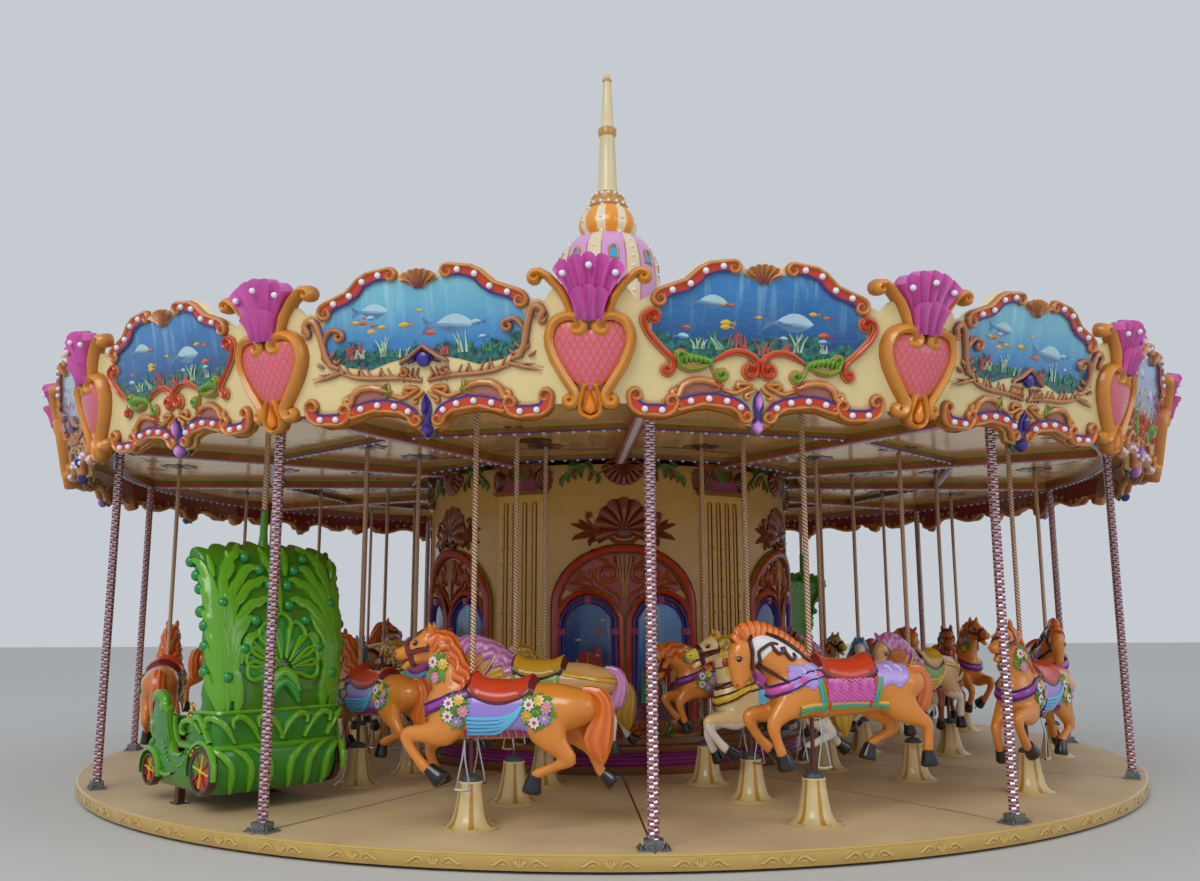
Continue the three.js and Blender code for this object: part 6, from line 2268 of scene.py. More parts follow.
# Drum: six equal sides, each with two painted doors in an arch, a shell and a palmette, and pilasters
# between them. Design planes have v from the deck and w from the wall
drum = {
    "wall": 1.900,
    "inside": 1.853,
    "reach": 1.925,
    "foot": 0.4205,
    "top": 2.893,
    "turn": 1.2,
    "sides": 6,
    "doorCentre": 0.334,
    "fluteHalf": 0.021,
    "studPitch": 0.148,
    "archHalf": 0.640,
    "archFoot": 0.33,
    "springing": 1.466,
    "archCrown": 1.990,
    "doorSpringing": 1.265,
}
baseProfile = [(2.046, 0.002), (2.046, 0.172), (2.036, 0.184), (2.012, 0.190), (2.022, 0.206), (2.010, 0.222),
               (2.022, 0.240), (2.010, 0.258), (2.022, 0.276), (2.012, 0.294), (2.040, 0.304), (2.046, 0.322),
               (2.044, 0.352), (2.030, 0.364), (1.992, 0.372), (1.985, 0.420)]


def archPath(half, foot, springing, crown, centre=0.0):
    angles = np.linspace(0, math.pi, max(9, int(half * 75)))
    arch = np.column_stack([half * np.cos(angles), springing + (crown - springing) * np.sin(angles)])
    return np.vstack([[(half, foot)], arch, [(-half, foot)]]) + [centre, 0]


# A ribbed fan about a hinge; angles are from straight up, ribs rise between grooves
def fan(shape, hinge, radius, span, lobes, paint, lift, relief, start=0.15, heading=0.0, squeeze=1.0):
    columns, rows = 6 * lobes + 1, 5
    s, t = np.linspace(-1, 1, columns), np.linspace(start, 1, rows)
    wave = np.abs(np.cos(lobes * math.pi * s / 2))
    angle = np.radians(heading + span * s)
    reach = radius * t[:, None] * (1 + 0.06 * (wave - 0.5) * (t[:, None] > 0.99))
    points = np.zeros((rows, columns, 3))
    points[:, :, 0] = hinge[0] + reach * np.sin(angle) * squeeze
    points[:, :, 1] = hinge[1] + reach * np.cos(angle)
    swell = np.sin(math.pi * np.clip(t * 0.9, 0, 1))[:, None]
    points[:, :, 2] = lift + relief * (wave * np.minimum(1, 0.2 + t[:, None]) * 0.7 + 0.5 * swell)
    points[-1, :, 2] = lift + relief * 0.35 * wave
    # painted shade in the grooves between the ribs
    shape.add(points, gridFaces(rows, columns, flip=True), paint,
              ((1 - wave)[None] * 0.9 * np.ones((rows, 1))).ravel())
    rim = np.vstack([points[-1], points[-1] * [1, 1, 0]])
    shape.add(rim, [(i, columns + i, columns + i + 1, i + 1) for i in range(columns - 1)], paint,
              [0.7] * 2 * columns)


# A carved leaf: ribs that leave a stem together, swell apart and meet in its tip
def feather(shape, points, width, ribs, paint, base=0.004, height=0.016):
    path = smoothPath(points, 0.024)
    swell = np.sin(math.pi * np.linspace(0.06, 0.97, len(path)))
    side = sideways(path)
    for rib in range(ribs):
        off = (rib - (ribs - 1) / 2) / max(1, ribs - 1) * width * 0.8
        bead(shape, path + side * (off * swell)[:, None], width / ribs * 1.15,
             height * (1 - 0.3 * abs(off) / width), paint, base=base, taper=(0.35, 0.25))


def curl(shape, points, end, width, height, paint, base=0.004, taper=(0.4, 0.5)):
    bead(shape, scrollPath(points, endCurl=end, step=0.016), width, height, paint, base=base, taper=taper)


def doorHalf(shape, water):
    centre, springing = drum["doorCentre"], drum["doorSpringing"]
    fieldPlate(shape, [archPath(0.222, 0.585, springing, 1.485, centre)], 0.004, water, 0.16)
    for half, crown, width, height, paint, base in ((0.303, 1.595, 0.060, 0.038, "archRed", 0.012),
                                                    (0.262, 1.540, 0.034, 0.034, "frameViolet", 0.010),
                                                    (0.231, 1.498, 0.026, 0.026, "frameViolet", 0.004)):
        arch = archPath(half, 0.56, springing, crown, centre)
        bead(shape, arch, width, height, paint, base=base, taper=(1, 1))
    bead(shape, archPath(0.330, 0.56, springing, 1.626, centre), 0.010, 0.012, "urnOchre", base=0.030,
         taper=(1, 1))
    for u, v, wide, tall in ((centre, 1.516, 0.058, 0.066), (centre + 0.248, 1.232, 0.066, 0.060),
                             (centre - 0.248, 1.232, 0.066, 0.060)):
        block = [(u + wide * s / 2, v + tall * t / 2) for s, t in ((-1, -1), (1, -1), (1, 1), (-1, 1))]
        cutPlate(shape, block, 0.0, 0.050, "blockPink")
        inner = [(u + wide * s * 0.3, v + tall * t * 0.3) for s, t in ((-1, -1), (1, -1), (1, 1), (-1, 1))]
        cutPlate(shape, inner, 0.045, 0.056, "blockPink", shade=0.7)


def tympanumHalf(shape):
    curl(shape, [(0.020, 1.465), (0.060, 1.560), (0.150, 1.622), (0.225, 1.665), (0.243, 1.735)],
         (0.098, 2.1, 1),
         0.032, 0.026, "carvedBrown", taper=(0.4, 0.35))
    curl(shape, [(0.100, 1.535), (0.215, 1.600), (0.300, 1.655), (0.335, 1.725)], (0.048, 1.5, 1), 0.022,
         0.020,
         "carvedBrown")
    curl(shape, [(0.250, 1.625), (0.345, 1.650), (0.420, 1.675), (0.440, 1.715)], (0.032, 1.4, 1), 0.018,
         0.018,
         "carvedBrown")
    for points, width in (([(0.205, 1.660), (0.280, 1.745), (0.275, 1.845)], 0.060),
                          ([(0.320, 1.690), (0.395, 1.735), (0.405, 1.790)], 0.046),
                          ([(0.130, 1.830), (0.180, 1.875), (0.245, 1.885)], 0.044),
                          ([(0.385, 1.655), (0.465, 1.680), (0.515, 1.660)], 0.040),
                          ([(0.300, 1.640), (0.370, 1.622), (0.440, 1.630)], 0.036),
                          ([(0.060, 1.830), (0.085, 1.885), (0.075, 1.925)], 0.034)):
        feather(shape, points, width, 3, "carvedBrown", base=0.006)
    for points in ([(0.006, 1.530), (0.010, 1.700), (0.020, 1.850), (0.022, 1.925)],
                   [(0.014, 1.545), (0.026, 1.700), (0.052, 1.830), (0.066, 1.905)]):
        bead(shape, smoothPath(points, 0.03), 0.022, 0.022, "urnOchre", base=0.006, taper=(0.5, 1.1))
    corner = [(0.46, 1.585), (0.52, 1.548), (0.578, 1.470), (0.590, 1.560), (0.545, 1.615)]
    cutPlate(shape, corner, 0.0, 0.016, "urnOchre", ease=0.004)


def shellHalf(shape):
    paint = "shellBrown"
    bead(shape, scrollPath([(0.0, 2.038), (0.070, 2.048), (0.125, 2.085), (0.150, 2.130)],
                           endCurl=(0.030, 1.3, -1),
                           step=0.018), 0.040, 0.036, paint, base=0.008, taper=(1.0, 0.6))
    bead(shape, smoothPath([(0.0, 2.088), (0.060, 2.098), (0.105, 2.130)], 0.03), 0.026, 0.030, paint,
         base=0.020,
         taper=(1.0, 0.5))
    curl(shape, [(0.185, 2.125), (0.270, 2.175), (0.335, 2.235), (0.352, 2.290)], (0.026, 1.2, 1), 0.030,
         0.024, paint)
    for points, width in (([(0.160, 2.115), (0.290, 2.165), (0.400, 2.195), (0.500, 2.218)], 0.062),
                          ([(0.180, 2.110), (0.320, 2.128), (0.420, 2.105), (0.492, 2.072)], 0.066),
                          ([(0.170, 2.100), (0.270, 2.088), (0.320, 2.052), (0.318, 2.010)], 0.056),
                          ([(0.280, 2.160), (0.350, 2.195), (0.425, 2.262)], 0.044)):
        feather(shape, points, width, 4, paint, height=0.022)


def friezeHalf(shape):
    curl(shape, [(0.020, 2.790), (0.075, 2.800), (0.150, 2.790), (0.168, 2.755)], (0.032, 1.4, -1), 0.026,
         0.026,
         "shellBrown", base=0.016)
    bead(shape, smoothPath([(0.205, 2.700), (0.265, 2.680), (0.325, 2.735), (0.385, 2.775), (0.460, 2.752),
                            (0.535, 2.690), (0.600, 2.600)], 0.03), 0.034, 0.024, "garlandGreen", base=0.006)
    for points, width, paint in (([(0.250, 2.690), (0.240, 2.630), (0.262, 2.588)], 0.046, "garlandGreen"),
                                ([(0.320, 2.730), (0.310, 2.660), (0.335, 2.615)], 0.044, "capitalBrown"),
                                ([(0.370, 2.770), (0.410, 2.700), (0.392, 2.640)], 0.052, "garlandGreen"),
                                ([(0.440, 2.755), (0.470, 2.690), (0.455, 2.625)], 0.048, "capitalBrown"),
                                ([(0.495, 2.725), (0.530, 2.660), (0.520, 2.600)], 0.050, "garlandGreen"),
                                ([(0.550, 2.680), (0.590, 2.630), (0.588, 2.570)], 0.046, "garlandGreen"),
                                ([(0.290, 2.715), (0.320, 2.778), (0.362, 2.795)], 0.036, "garlandGreen"),
                                ([(0.430, 2.760), (0.480, 2.785), (0.530, 2.755)], 0.036, "garlandGreen")):
        feather(shape, points, width, 3, paint, height=0.020)


def skirtHalf(shape):
    curl(shape, [(0.030, 0.330), (0.100, 0.318), (0.175, 0.345), (0.205, 0.385)], (0.034, 1.3, 1), 0.030,
         0.026,
         "carvedBrown")
    curl(shape, [(0.150, 0.330), (0.270, 0.312), (0.390, 0.345), (0.425, 0.392)], (0.030, 1.2, 1), 0.026,
         0.024,
         "garlandGreen")
    for points, width, paint in (([(0.080, 0.325), (0.150, 0.390), (0.135, 0.440)], 0.060, "carvedBrown"),
                                ([(0.230, 0.335), (0.300, 0.395), (0.290, 0.440)], 0.060, "garlandGreen"),
                                ([(0.300, 0.325), (0.420, 0.335), (0.520, 0.385)], 0.054, "garlandGreen"),
                                ([(0.420, 0.350), (0.540, 0.340), (0.620, 0.318)], 0.050, "carvedBrown")):
        feather(shape, points, width, 4, paint, height=0.022)


def drumSide():
    half, whole = Shape(), Shape()
    foot, springing = drum["archFoot"], drum["springing"]
    for offset, width, height, paint, base in ((0.0, 0.084, 0.048, "archRed", 0.010),
                                               (-0.040, 0.012, 0.030, "urnOchre", 0.014),
                                               (0.044, 0.012, 0.030, "urnOchre", 0.014)):
        path = archPath(drum["archHalf"] + offset, foot, springing, drum["archCrown"] + offset)
        bead(half, path[:2 + (len(path) - 2) // 2], width, height, paint, base=base, taper=(1, 1))
    for part in (tympanumHalf, shellHalf, friezeHalf, skirtHalf):
        part(half)
    doors = {paint: Shape() for paint in ("dayWater", "duskWater")}
    for paint, door in doors.items():
        doorHalf(door, paint)
    plate = Shape()
    arch = archPath(0.645, foot, springing, 1.995)
    fieldPlate(plate, [arch], 0.0015, "archRed", 0.16, 0.45)
    t = np.linspace(0.03, 0.97, 19) * math.pi
    upper = np.column_stack([0.600 * np.cos(t), springing + 0.480 * np.sin(t)])
    s = np.linspace(2.22, 0.40, 9)
    lower = np.column_stack([-drum["doorCentre"] + 0.345 * np.cos(s),
                             drum["doorSpringing"] + 0.385 * np.sin(s)])
    fieldPlate(plate, [np.vstack([upper, lower, lower[::-1] * [-1, 1]])], 0.005, "archRed", 0.10, 0.35)
    strip = [(-0.72, 0.445), (0.72, 0.445), (0.72, 0.565), (-0.72, 0.565)]
    fieldPlate(plate, [strip], 0.0025, "baseMaroon", 0.16)
    bead(plate, np.array([(u, 0.575) for u in np.linspace(-0.72, 0.72, 13)]), 0.026, 0.022, "baseBrown",
         taper=(1, 1))
    fan(plate, (0, 2.165), 0.292, 118, 9, "shellBrown", 0.006, 0.046, start=0.04, squeeze=0.93)
    disc(plate, (0, 2.140), 0.060, 0.026, "shellBrown", 0.7)
    fan(plate, (0, 2.790), 0.215, 80, 9, "shellBrown", 0.006, 0.034, start=0.05, heading=180)
    fan(plate, (0, 0.300), 0.150, 82, 7, "carvedBrown", 0.004, 0.026)
    random = np.random.default_rng(4)
    swim = Shape()
    for index, (u, v, size) in enumerate(((0.27, 1.30, 0.055), (0.42, 1.13, 0.048), (0.26, 0.98, 0.060),
                                          (-0.40, 1.16, 0.052), (-0.27, 1.02, 0.046), (-0.36, 0.84, 0.060),
                                          (-0.22, 1.34, 0.040))):
        fishShape(swim, u, v, size, (-1) ** index,
                  ("yellowFish", "silverFish", "orangeFish")[index % 3], 0.0056)
    for index in range(14):
        u = (0.334 + random.uniform(-0.17, 0.17)) * (1 if index % 2 else -1)
        weedTuft(swim, u, 0.60, random.uniform(0.12, 0.30), ("weed", "coral", "paleCoral")[index % 3],
                 0.0062 + 0.0002 * index, random)
    for part in (plate, doors["dayWater"], mirroredShape(doors["duskWater"]), swim, half,
                 mirroredShape(half)):
        whole.merge(part)
    return whole


# Pilaster with round-topped flutes and studs; its capital has two volutes turned outwards
def drumPilaster(whole, angle, places, facings):
    deckTop, shape = ride["deckTop"], Shape()
    for radius, low, high, half, paint in ((1.929, 0.300, 2.500, 7.2, "pilasterOchre"),
                                           (1.958, 2.500, 2.516, 8.0, "capitalBrown"),
                                           (1.966, 2.516, 2.540, 8.4, "capitalBrown"),
                                           (1.940, 2.540, 2.790, 6.9, "capitalBrown"),
                                           (1.950, 2.566, 2.622, 7.1, "bandPink"),
                                           (1.972, 2.770, 2.790, 8.2, "capitalBrown"),
                                           (1.984, 2.790, 2.832, 9.0, "abacusGrey"),
                                           (1.944, 0.300, 0.440, 8.0, "baseBrown")):
        # painted shade: each face darker towards its foot, and on its sides
        section = [(1.896, low), (radius, low), (radius, high), (1.896, high), (1.896, low)]
        turned(whole, np.array(section) + [0, deckTop], paint, 8, arc=(angle - half, angle + half),
               tones=[0.6, 0.3, 0, 0.2, 0.6])
    bent = onRing(angle, 1.929, deckTop)
    fluteHalf = drum["fluteHalf"]
    for offset in (-4.6, -1.55, 1.55, 4.6):
        u = math.radians(offset) * 1.929
        turns = np.linspace(0, math.pi, 8)
        crown = np.column_stack([u + fluteHalf * np.cos(turns), 2.410 + fluteHalf * np.sin(turns)])
        loop = np.vstack([[(u + fluteHalf, 0.470)], crown, [(u - fluteHalf, 0.470), (u, 0.455)]])
        bead(shape, np.vstack([loop, loop[:2]]), 0.013, 0.012, "fluteGold", taper=(1, 1))
    for offset in (-6.1, -3.05, 0.0, 3.05, 6.1):
        for height in np.arange(0.52, 2.42, drum["studPitch"]):
            turn = angle + offset
            places.append((*around(1.930, turn), deckTop + height))
            facings.append((*around(1, turn), 0))
    for u in np.arange(-0.21, 0.22, 0.03):
        bead(shape, np.array([(u, 2.570), (u, 2.618)]), 0.020, 0.030, "bandPink", taper=(0.8, 0.8))
    for spread in (-0.055, 0.0, 0.055):
        feather(shape, [(spread * 0.3, 2.605), (spread * 0.8, 2.690),
                        (spread * 1.5, 2.760 - abs(spread) * 0.5)], 0.050, 3,
                "garlandGreen", base=0.012, height=0.024)
    for side in (-1, 1):
        curlLeaf = [(side * 0.075, 2.640), (side * 0.115, 2.700), (side * 0.110, 2.765)]
        feather(shape, curlLeaf, 0.044, 3, "capitalBrown", base=0.012, height=0.022)
    whole.merge(shape, bent)
    for side in (-1, 1):
        volute = Shape()
        cutPlate(volute, circle((0, 0), 0.106, 20), -0.05, 0.012, "capitalBrown", ease=0.010, shade=0.8)
        reach = np.linspace(0.096, 0.014, 44)
        wind = np.linspace(0, 5.2 * math.pi, 44)
        bead(volute, np.column_stack([side * reach * np.cos(wind), reach * np.sin(wind)]), 0.022, 0.016,
             "capitalBrown", base=0.010, taper=(1, 0.8))
        cabochon(volute, (0, 0, 0.010), 0.014, 0.016, "capitalBrown")
        whole.merge(volute, onStand(1.925, angle + side * 7.8, side * 36, deckTop + 2.645))


def makeDrum():
    base, facade = Shape(), Shape()
    places, facings = [], []
    turned(base, baseProfile, lambda row, _: "basePurple" if 2 <= row <= 9 else "baseBrown", 96,
           caps=(True, True))
    makePiece("drum_base_mouldings", base, "drum", ["drum_base"], 30)
    wall, inside = drum["wall"], drum["inside"]
    foot, crest = drum["foot"], drum["top"]
    ring = Shape()
    # painted shade: the wall darker at its foot and in a band under the ceiling at its top
    turned(ring, [(inside, foot), (wall, foot), (wall, crest - 0.10), (wall, crest), (inside, crest),
                  (inside, foot)],
           "drumOchre", 120, tones=[0.5, 0.25, 0, 0.35, 0.6, 0.6])
    facade.merge(ring)
    side = drumSide()
    for index in range(drum["sides"]):
        angle = drum["turn"] + 60 * index
        facade.merge(side, onRing(angle, wall, ride["deckTop"], drum["reach"]))
        pilaster = Shape()
        drumPilaster(pilaster, angle + 30, places, facings)
        facade.merge(pilaster)
    makePiece("drum_facade", facade, "drum", ["drum_arcade"])
    growBulbs("drum_studs", places, facings, 0.017, "drum", "studLilac", 6, 3)
    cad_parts["drum_housing"].data.materials.clear()
    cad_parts["drum_housing"].data.materials.append(paints["drumOchre"])
    print("drum made")


makeDrum()


# Lacquers of the chariots: translucent greens, with shade painted darker into the grooves
addPaints({
    "leafShell": ("#4E9216", "#346A0C"),
    "bladeGreen": ("#66AC20", "#3C7C12"),
    "lobeGreen": ("#2F9A34", "#1E6E22"),
    "knobGreen": ("#1E8C3C", "#125E26"),
    "tubGreen": ("#2E9222", "#2A6E14"),
    "innerRed": ("#8E2A12", "#45100A"),
    "tyreBrown": ("#3E1C16", "#1E0C0A"),
    "legMaroon": ("#4A1A18", "#220A0A"),
    "petalYellow": ("#E8C22A", "#A87C14"),
    "petalRed": ("#B8281C", "#661008"),
}, roughness=0.16)

# Chariots, driving along x: a tub on wheels under a tall leaf that curls forward.
# q runs along the plan from the middle of the rear (0) to the outer front edge (1), t or z upwards
chariots = {
    "radius": 4.30,
    "bays": (4, 10),
    "turn": -1.5,
    "leafFoot": 0.665,
    "leafTop": 1.925,
    "wall": 0.045,
    "floor": 0.30,
    "tubFoot": 0.135,
    "doorFoot": 0.37,
    "doorMiddle": -0.1525,
    "doorHalf": 0.1925,
    "pole": (-0.33, 0.022),
    "wheelSide": 0.500,
}
leafRear = [(0.66, -0.715), (0.80, -0.735), (1.20, -0.685), (1.55, -0.605), (1.75, -0.535), (1.86, -0.455),
            (1.925, -0.330), (1.96, -0.26)]
leafFront = [(0.66, -0.48), (0.90, -0.54), (1.15, -0.545), (1.40, -0.505), (1.65, -0.42), (1.78, -0.35),
             (1.92, -0.28)]
leafHalfWidth = [(0.66, 0.515), (1.2, 0.545), (1.9, 0.55)]
tubPlan = [(-0.742, 0.0), (-0.742, 0.26), (-0.732, 0.435), (-0.680, 0.503), (-0.450, 0.522), (0.00, 0.518),
           (0.280, 0.505), (0.450, 0.425), (0.560, 0.250), (0.600, 0.0)]
tubSwell = [(0.13, 0.88), (0.18, 0.95), (0.30, 1.0), (0.42, 0.99), (0.455, 0.955), (0.49, 0.985), (0.60, 1.0),
            (0.9, 1.0)]
tubTop = [(-0.76, 0.70), (-0.36, 0.70), (0.06, 0.67), (0.13, 0.76), (0.33, 0.75), (0.43, 0.60), (0.56, 0.50),
          (0.61, 0.48)]
roundTable = np.linspace(0, math.pi / 2, 300)
roundReach = np.concatenate([[0], np.cumsum(np.hypot(np.diff(-0.13 * np.cos(roundTable) ** 0.62),
                                                      np.diff(0.54 * np.sin(roundTable) ** 0.62)))])
tubDense = smoothPath(tubPlan, 0.02)
tubReach = np.concatenate([[0], np.cumsum(np.linalg.norm(np.diff(tubDense, axis=0), axis=1))])


def profileAt(profile, height):
    return np.interp(height, [z for z, _ in profile], [r for _, r in profile])


def leafPlace(q, t):
    q, t = np.asarray(q, float), np.asarray(t, float)
    notches = np.abs(np.cos(4.5 * math.pi * np.abs(q) ** 0.9)) ** 0.6
    top = chariots["leafTop"] - 0.09 * q ** 2 + 0.042 * notches
    z = chariots["leafFoot"] + (top - chariots["leafFoot"]) * t
    rear, front = profileAt(leafRear, z), profileAt(leafFront, z)
    turn = np.interp(np.clip(np.abs(q), 0, 1) * roundReach[-1], roundReach, roundTable)
    scallop = 0.022 * np.abs(q) ** 6 * np.cos(2 * math.pi * 6.2 * t)
    x = front + scallop - (front - rear) * np.cos(turn) ** 0.62
    y = profileAt(leafHalfWidth, z) * np.sin(turn) ** 0.62
    flare = 0.035 * np.clip(t - 0.8, 0, 1) / 0.2
    return np.stack([x - flare * np.cos(turn), (y + flare * np.sin(turn)) * np.sign(q), z], -1)


def tubPlace(q, z):
    q, z = np.asarray(q, float), np.asarray(z, float)
    reach = np.clip(np.abs(q), 0, 1) * tubReach[-1]
    x, y = (np.interp(reach, tubReach, tubDense[:, axis]) for axis in (0, 1))
    swell = profileAt(tubSwell, z)
    return np.stack([-0.07 + (x + 0.07) * swell, y * swell * np.sign(q), z + np.zeros_like(x)], -1)


# Places and outward normals along a route on one of these surfaces
def framesOn(place, route, step=0.03):
    flat = smoothPath(route, step)
    q, t = flat[:, 0], flat[:, 1]
    small = 1e-3
    upward, onward = place(q, t + small) - place(q, t - small), place(q + small, t) - place(q - small, t)
    return list(zip(place(q, t), unit(np.cross(upward, onward))))


def ribOn(shape, place, route, width, height, paint, taper=0.35, both=True, step=0.03):
    for side in ((1, -1) if both else (1,)):
        frames = framesOn(place, [(side * q, t) for q, t in route], step)
        laid(shape, frames, width, height, paint, (1.0, 0.1), taper)


def knobOn(shape, place, q, t, size):
    for side in (1, -1):
        (spot, normal), = framesOn(place, [(side * q, t), (side * q + 0.001, t)], 1.0)[:1]
        ellipsoid(shape, spot + normal * size * 0.25, (size, size, size), "knobGreen", 12, 8)


# A wall with edges on all sides: outer face, rim, inner face; its rows go up
def wall(shape, outer, inner, paint, innerPaint):
    rows, columns = outer.shape[:2]
    shape.add(outer, gridFaces(rows, columns, flip=True), paint, [0.55] * rows * columns)
    shape.add(inner, gridFaces(rows, columns), innerPaint, [0.3] * rows * columns)
    for outerEdge, innerEdge, flip in ((outer[0], inner[0], False), (outer[-1], inner[-1], True),
                                       (outer[:, 0], inner[:, 0], True), (outer[:, -1], inner[:, -1], False)):
        shape.add(np.stack([outerEdge, innerEdge]), gridFaces(2, len(outerEdge), flip=flip), paint)


def chariotLeaf(shape):
    q, t = np.linspace(-1, 1, 73), np.concatenate([np.linspace(0, 0.8, 18), np.linspace(0.83, 1, 9)])
    outer = leafPlace(q[None] + 0 * t[:, None], t[:, None] + 0 * q[None])
    along = np.gradient(outer, axis=1)
    rise = np.gradient(outer, axis=0)
    normals = unit(np.cross(rise, along))
    wall(shape, outer, outer - normals * chariots["wall"], "leafShell", "leafShell")
    knobs = [(0.12, 0.62), (0.12, 0.735), (0.34, 0.535), (0.50, 0.385), (0.235, 0.825), (0.39, 0.895),
             (0.725, 0.66), (0.71, 0.23), (0.975, 0.94), (0.975, 0.855), (0.96, 0.765), (0.97, 0.63),
             (0.94, 0.54), (0.95, 0.42), (0.95, 0.27)]
    fingers = [
        [(0.60, 0.03), (0.585, 0.16), (0.63, 0.255), (0.71, 0.235)],
        [(0.66, 0.10), (0.63, 0.28), (0.57, 0.385), (0.50, 0.395)],
        [(0.68, 0.20), (0.61, 0.42), (0.46, 0.535), (0.34, 0.545)],
        [(0.69, 0.34), (0.60, 0.52), (0.38, 0.625), (0.21, 0.650), (0.12, 0.63)],
        [(0.70, 0.45), (0.60, 0.63), (0.38, 0.735), (0.21, 0.765), (0.12, 0.745)],
        [(0.70, 0.54), (0.62, 0.70), (0.45, 0.81), (0.31, 0.850), (0.235, 0.835)],
        [(0.75, 0.42), (0.74, 0.63), (0.68, 0.81), (0.55, 0.915), (0.44, 0.935), (0.39, 0.905)],
        [(0.70, 0.22), (0.65, 0.45), (0.635, 0.61), (0.675, 0.705), (0.725, 0.67)],
        [(0.76, 0.22), (0.79, 0.50), (0.83, 0.74), (0.90, 0.90), (0.975, 0.95)],
        [(0.78, 0.35), (0.83, 0.62), (0.89, 0.79), (0.975, 0.87)],
        [(0.78, 0.28), (0.83, 0.54), (0.885, 0.69), (0.96, 0.775)],
        [(0.77, 0.16), (0.82, 0.40), (0.88, 0.56), (0.97, 0.64)],
        [(0.76, 0.10), (0.81, 0.30), (0.86, 0.46), (0.94, 0.55)],
        [(0.75, 0.05), (0.81, 0.22), (0.88, 0.35), (0.95, 0.43)],
        [(0.76, 0.01), (0.84, 0.13), (0.95, 0.27)],
        [(0.70, 0.02), (0.715, 0.20), (0.725, 0.42), (0.745, 0.60)],
        [(0.55, 0.30), (0.46, 0.43), (0.36, 0.46)],
        [(0.64, 0.78), (0.58, 0.86), (0.60, 0.94)],
        [(0.60, 0.92), (0.46, 0.950), (0.38, 0.965)],
        [(0.10, 0.80), (0.12, 0.88), (0.16, 0.94)],
        [(0.78, 0.82), (0.80, 0.88), (0.80, 0.94)],
    ]
    for index, route in enumerate(fingers):
        ribOn(shape, leafPlace, route, 0.098 if index < 15 else 0.070, 0.036, "bladeGreen")
    ribOn(shape, leafPlace, [(0.0, 0.56), (0.0, 0.75), (0.0, 0.93)], 0.060, 0.024, "bladeGreen", both=False)
    for q, t in knobs:
        knobOn(shape, leafPlace, q, t, 0.044)
    # shell of spoon-shaped lobes with raised rims, over a rolled cup
    hinge = np.array([0.0, 0.250])
    for angle, length, broad in ((0, 0.40, 0.075), (24, 0.36, 0.070), (47, 0.33, 0.068), (68, 0.31, 0.066),
                                 (89, 0.29, 0.064)):
        a = math.radians(angle)
        ahead, across = np.array([math.sin(a) / 0.60, math.cos(a) / 1.25]), np.array([math.cos(a) / 0.60,
                                                                                    -math.sin(a) / 1.25])
        rim = [hinge + ahead * length * reach + across * broad * side for reach, side in
               ((0.22, 0.20), (0.50, 0.55), (0.80, 1.0), (0.97, 0.55), (0.97, -0.55), (0.80, -1.0),
                (0.50, -0.55), (0.22, -0.20))]
        middle = [hinge + ahead * length * reach for reach in (0.25, 0.55, 0.80, 0.93)]
        ribOn(shape, leafPlace, middle, broad * 1.7, 0.010, "lobeGreen", 0.5, angle > 0)
        ribOn(shape, leafPlace, rim, 0.042, 0.040, "bladeGreen", 0.6, angle > 0, 0.05)
    for drop, paint in ((0.0, "bladeGreen"), (-0.055, "lobeGreen")):
        ribOn(shape, leafPlace, [(-0.20, 0.13 + drop), (-0.11, 0.215 + drop), (0.0, 0.24 + drop),
                                 (0.11, 0.215 + drop), (0.20, 0.13 + drop)], 0.090, 0.055, paint, 0.4, False)


def tubHeight(x, y):
    top = np.interp(x, [a for a, _ in tubTop], [b for _, b in tubTop])
    off = np.abs(x - chariots["doorMiddle"]) / chariots["doorHalf"]
    door = chariots["doorFoot"] + 0.34 * off ** 4
    return np.where((y > 0.3) & (off < 1.02), np.minimum(top, door), top)


def chariotTub(shape):
    q = np.linspace(-1, 1, 140, endpoint=False)
    foot, floor = chariots["tubFoot"], chariots["floor"]
    plan = tubPlace(q, np.full_like(q, 0.5))
    top = tubHeight(plan[:, 0], plan[:, 1])
    t = np.linspace(0, 1, 13)[:, None]
    outer = tubPlace(q[None] + 0 * t, foot + (top[None] - foot) * t)
    inward = np.array([-0.07, 0, 0]) - outer
    inward[:, :, 2] = 0
    inward /= np.linalg.norm(inward, axis=2)[:, :, None]
    s = np.linspace(0, 1, 5)[:, None]
    inner = outer[-1][None] + inward[-1][None] * 0.05
    inner = np.repeat(inner, 5, 0)
    inner[:, :, 2] = floor + (top[None] - floor) * s
    count = len(q)
    # painted shade: darker towards the deck and on the bottom; the floor inside darker than the inner wall
    shape.add(outer, gridFaces(13, count, closed=True, flip=True), "tubGreen",
              np.repeat(np.interp(t[:, 0], [0, 0.2, 1], [0.9, 0.4, 0.4]), count))
    shape.add(inner, gridFaces(5, count, closed=True), "innerRed", [0.3] * 5 * count)
    shape.add(np.stack([outer[-1], inner[-1]]), gridFaces(2, count, closed=True, flip=True), "bladeGreen")
    shape.add(outer[0], [tuple(range(count))], "tubGreen", [1.0] * count)
    shape.add(inner[0], [tuple(range(count))[::-1]], "innerRed", [0.6] * count)
    rim = [((outer[-1][i % count] + inner[-1][i % count]) / 2, np.array([0, 0, 1.0]))
           for i in range(count + 1)]
    laid(shape, rim, 0.066, 0.022, "bladeGreen", (0.9, 0.0))


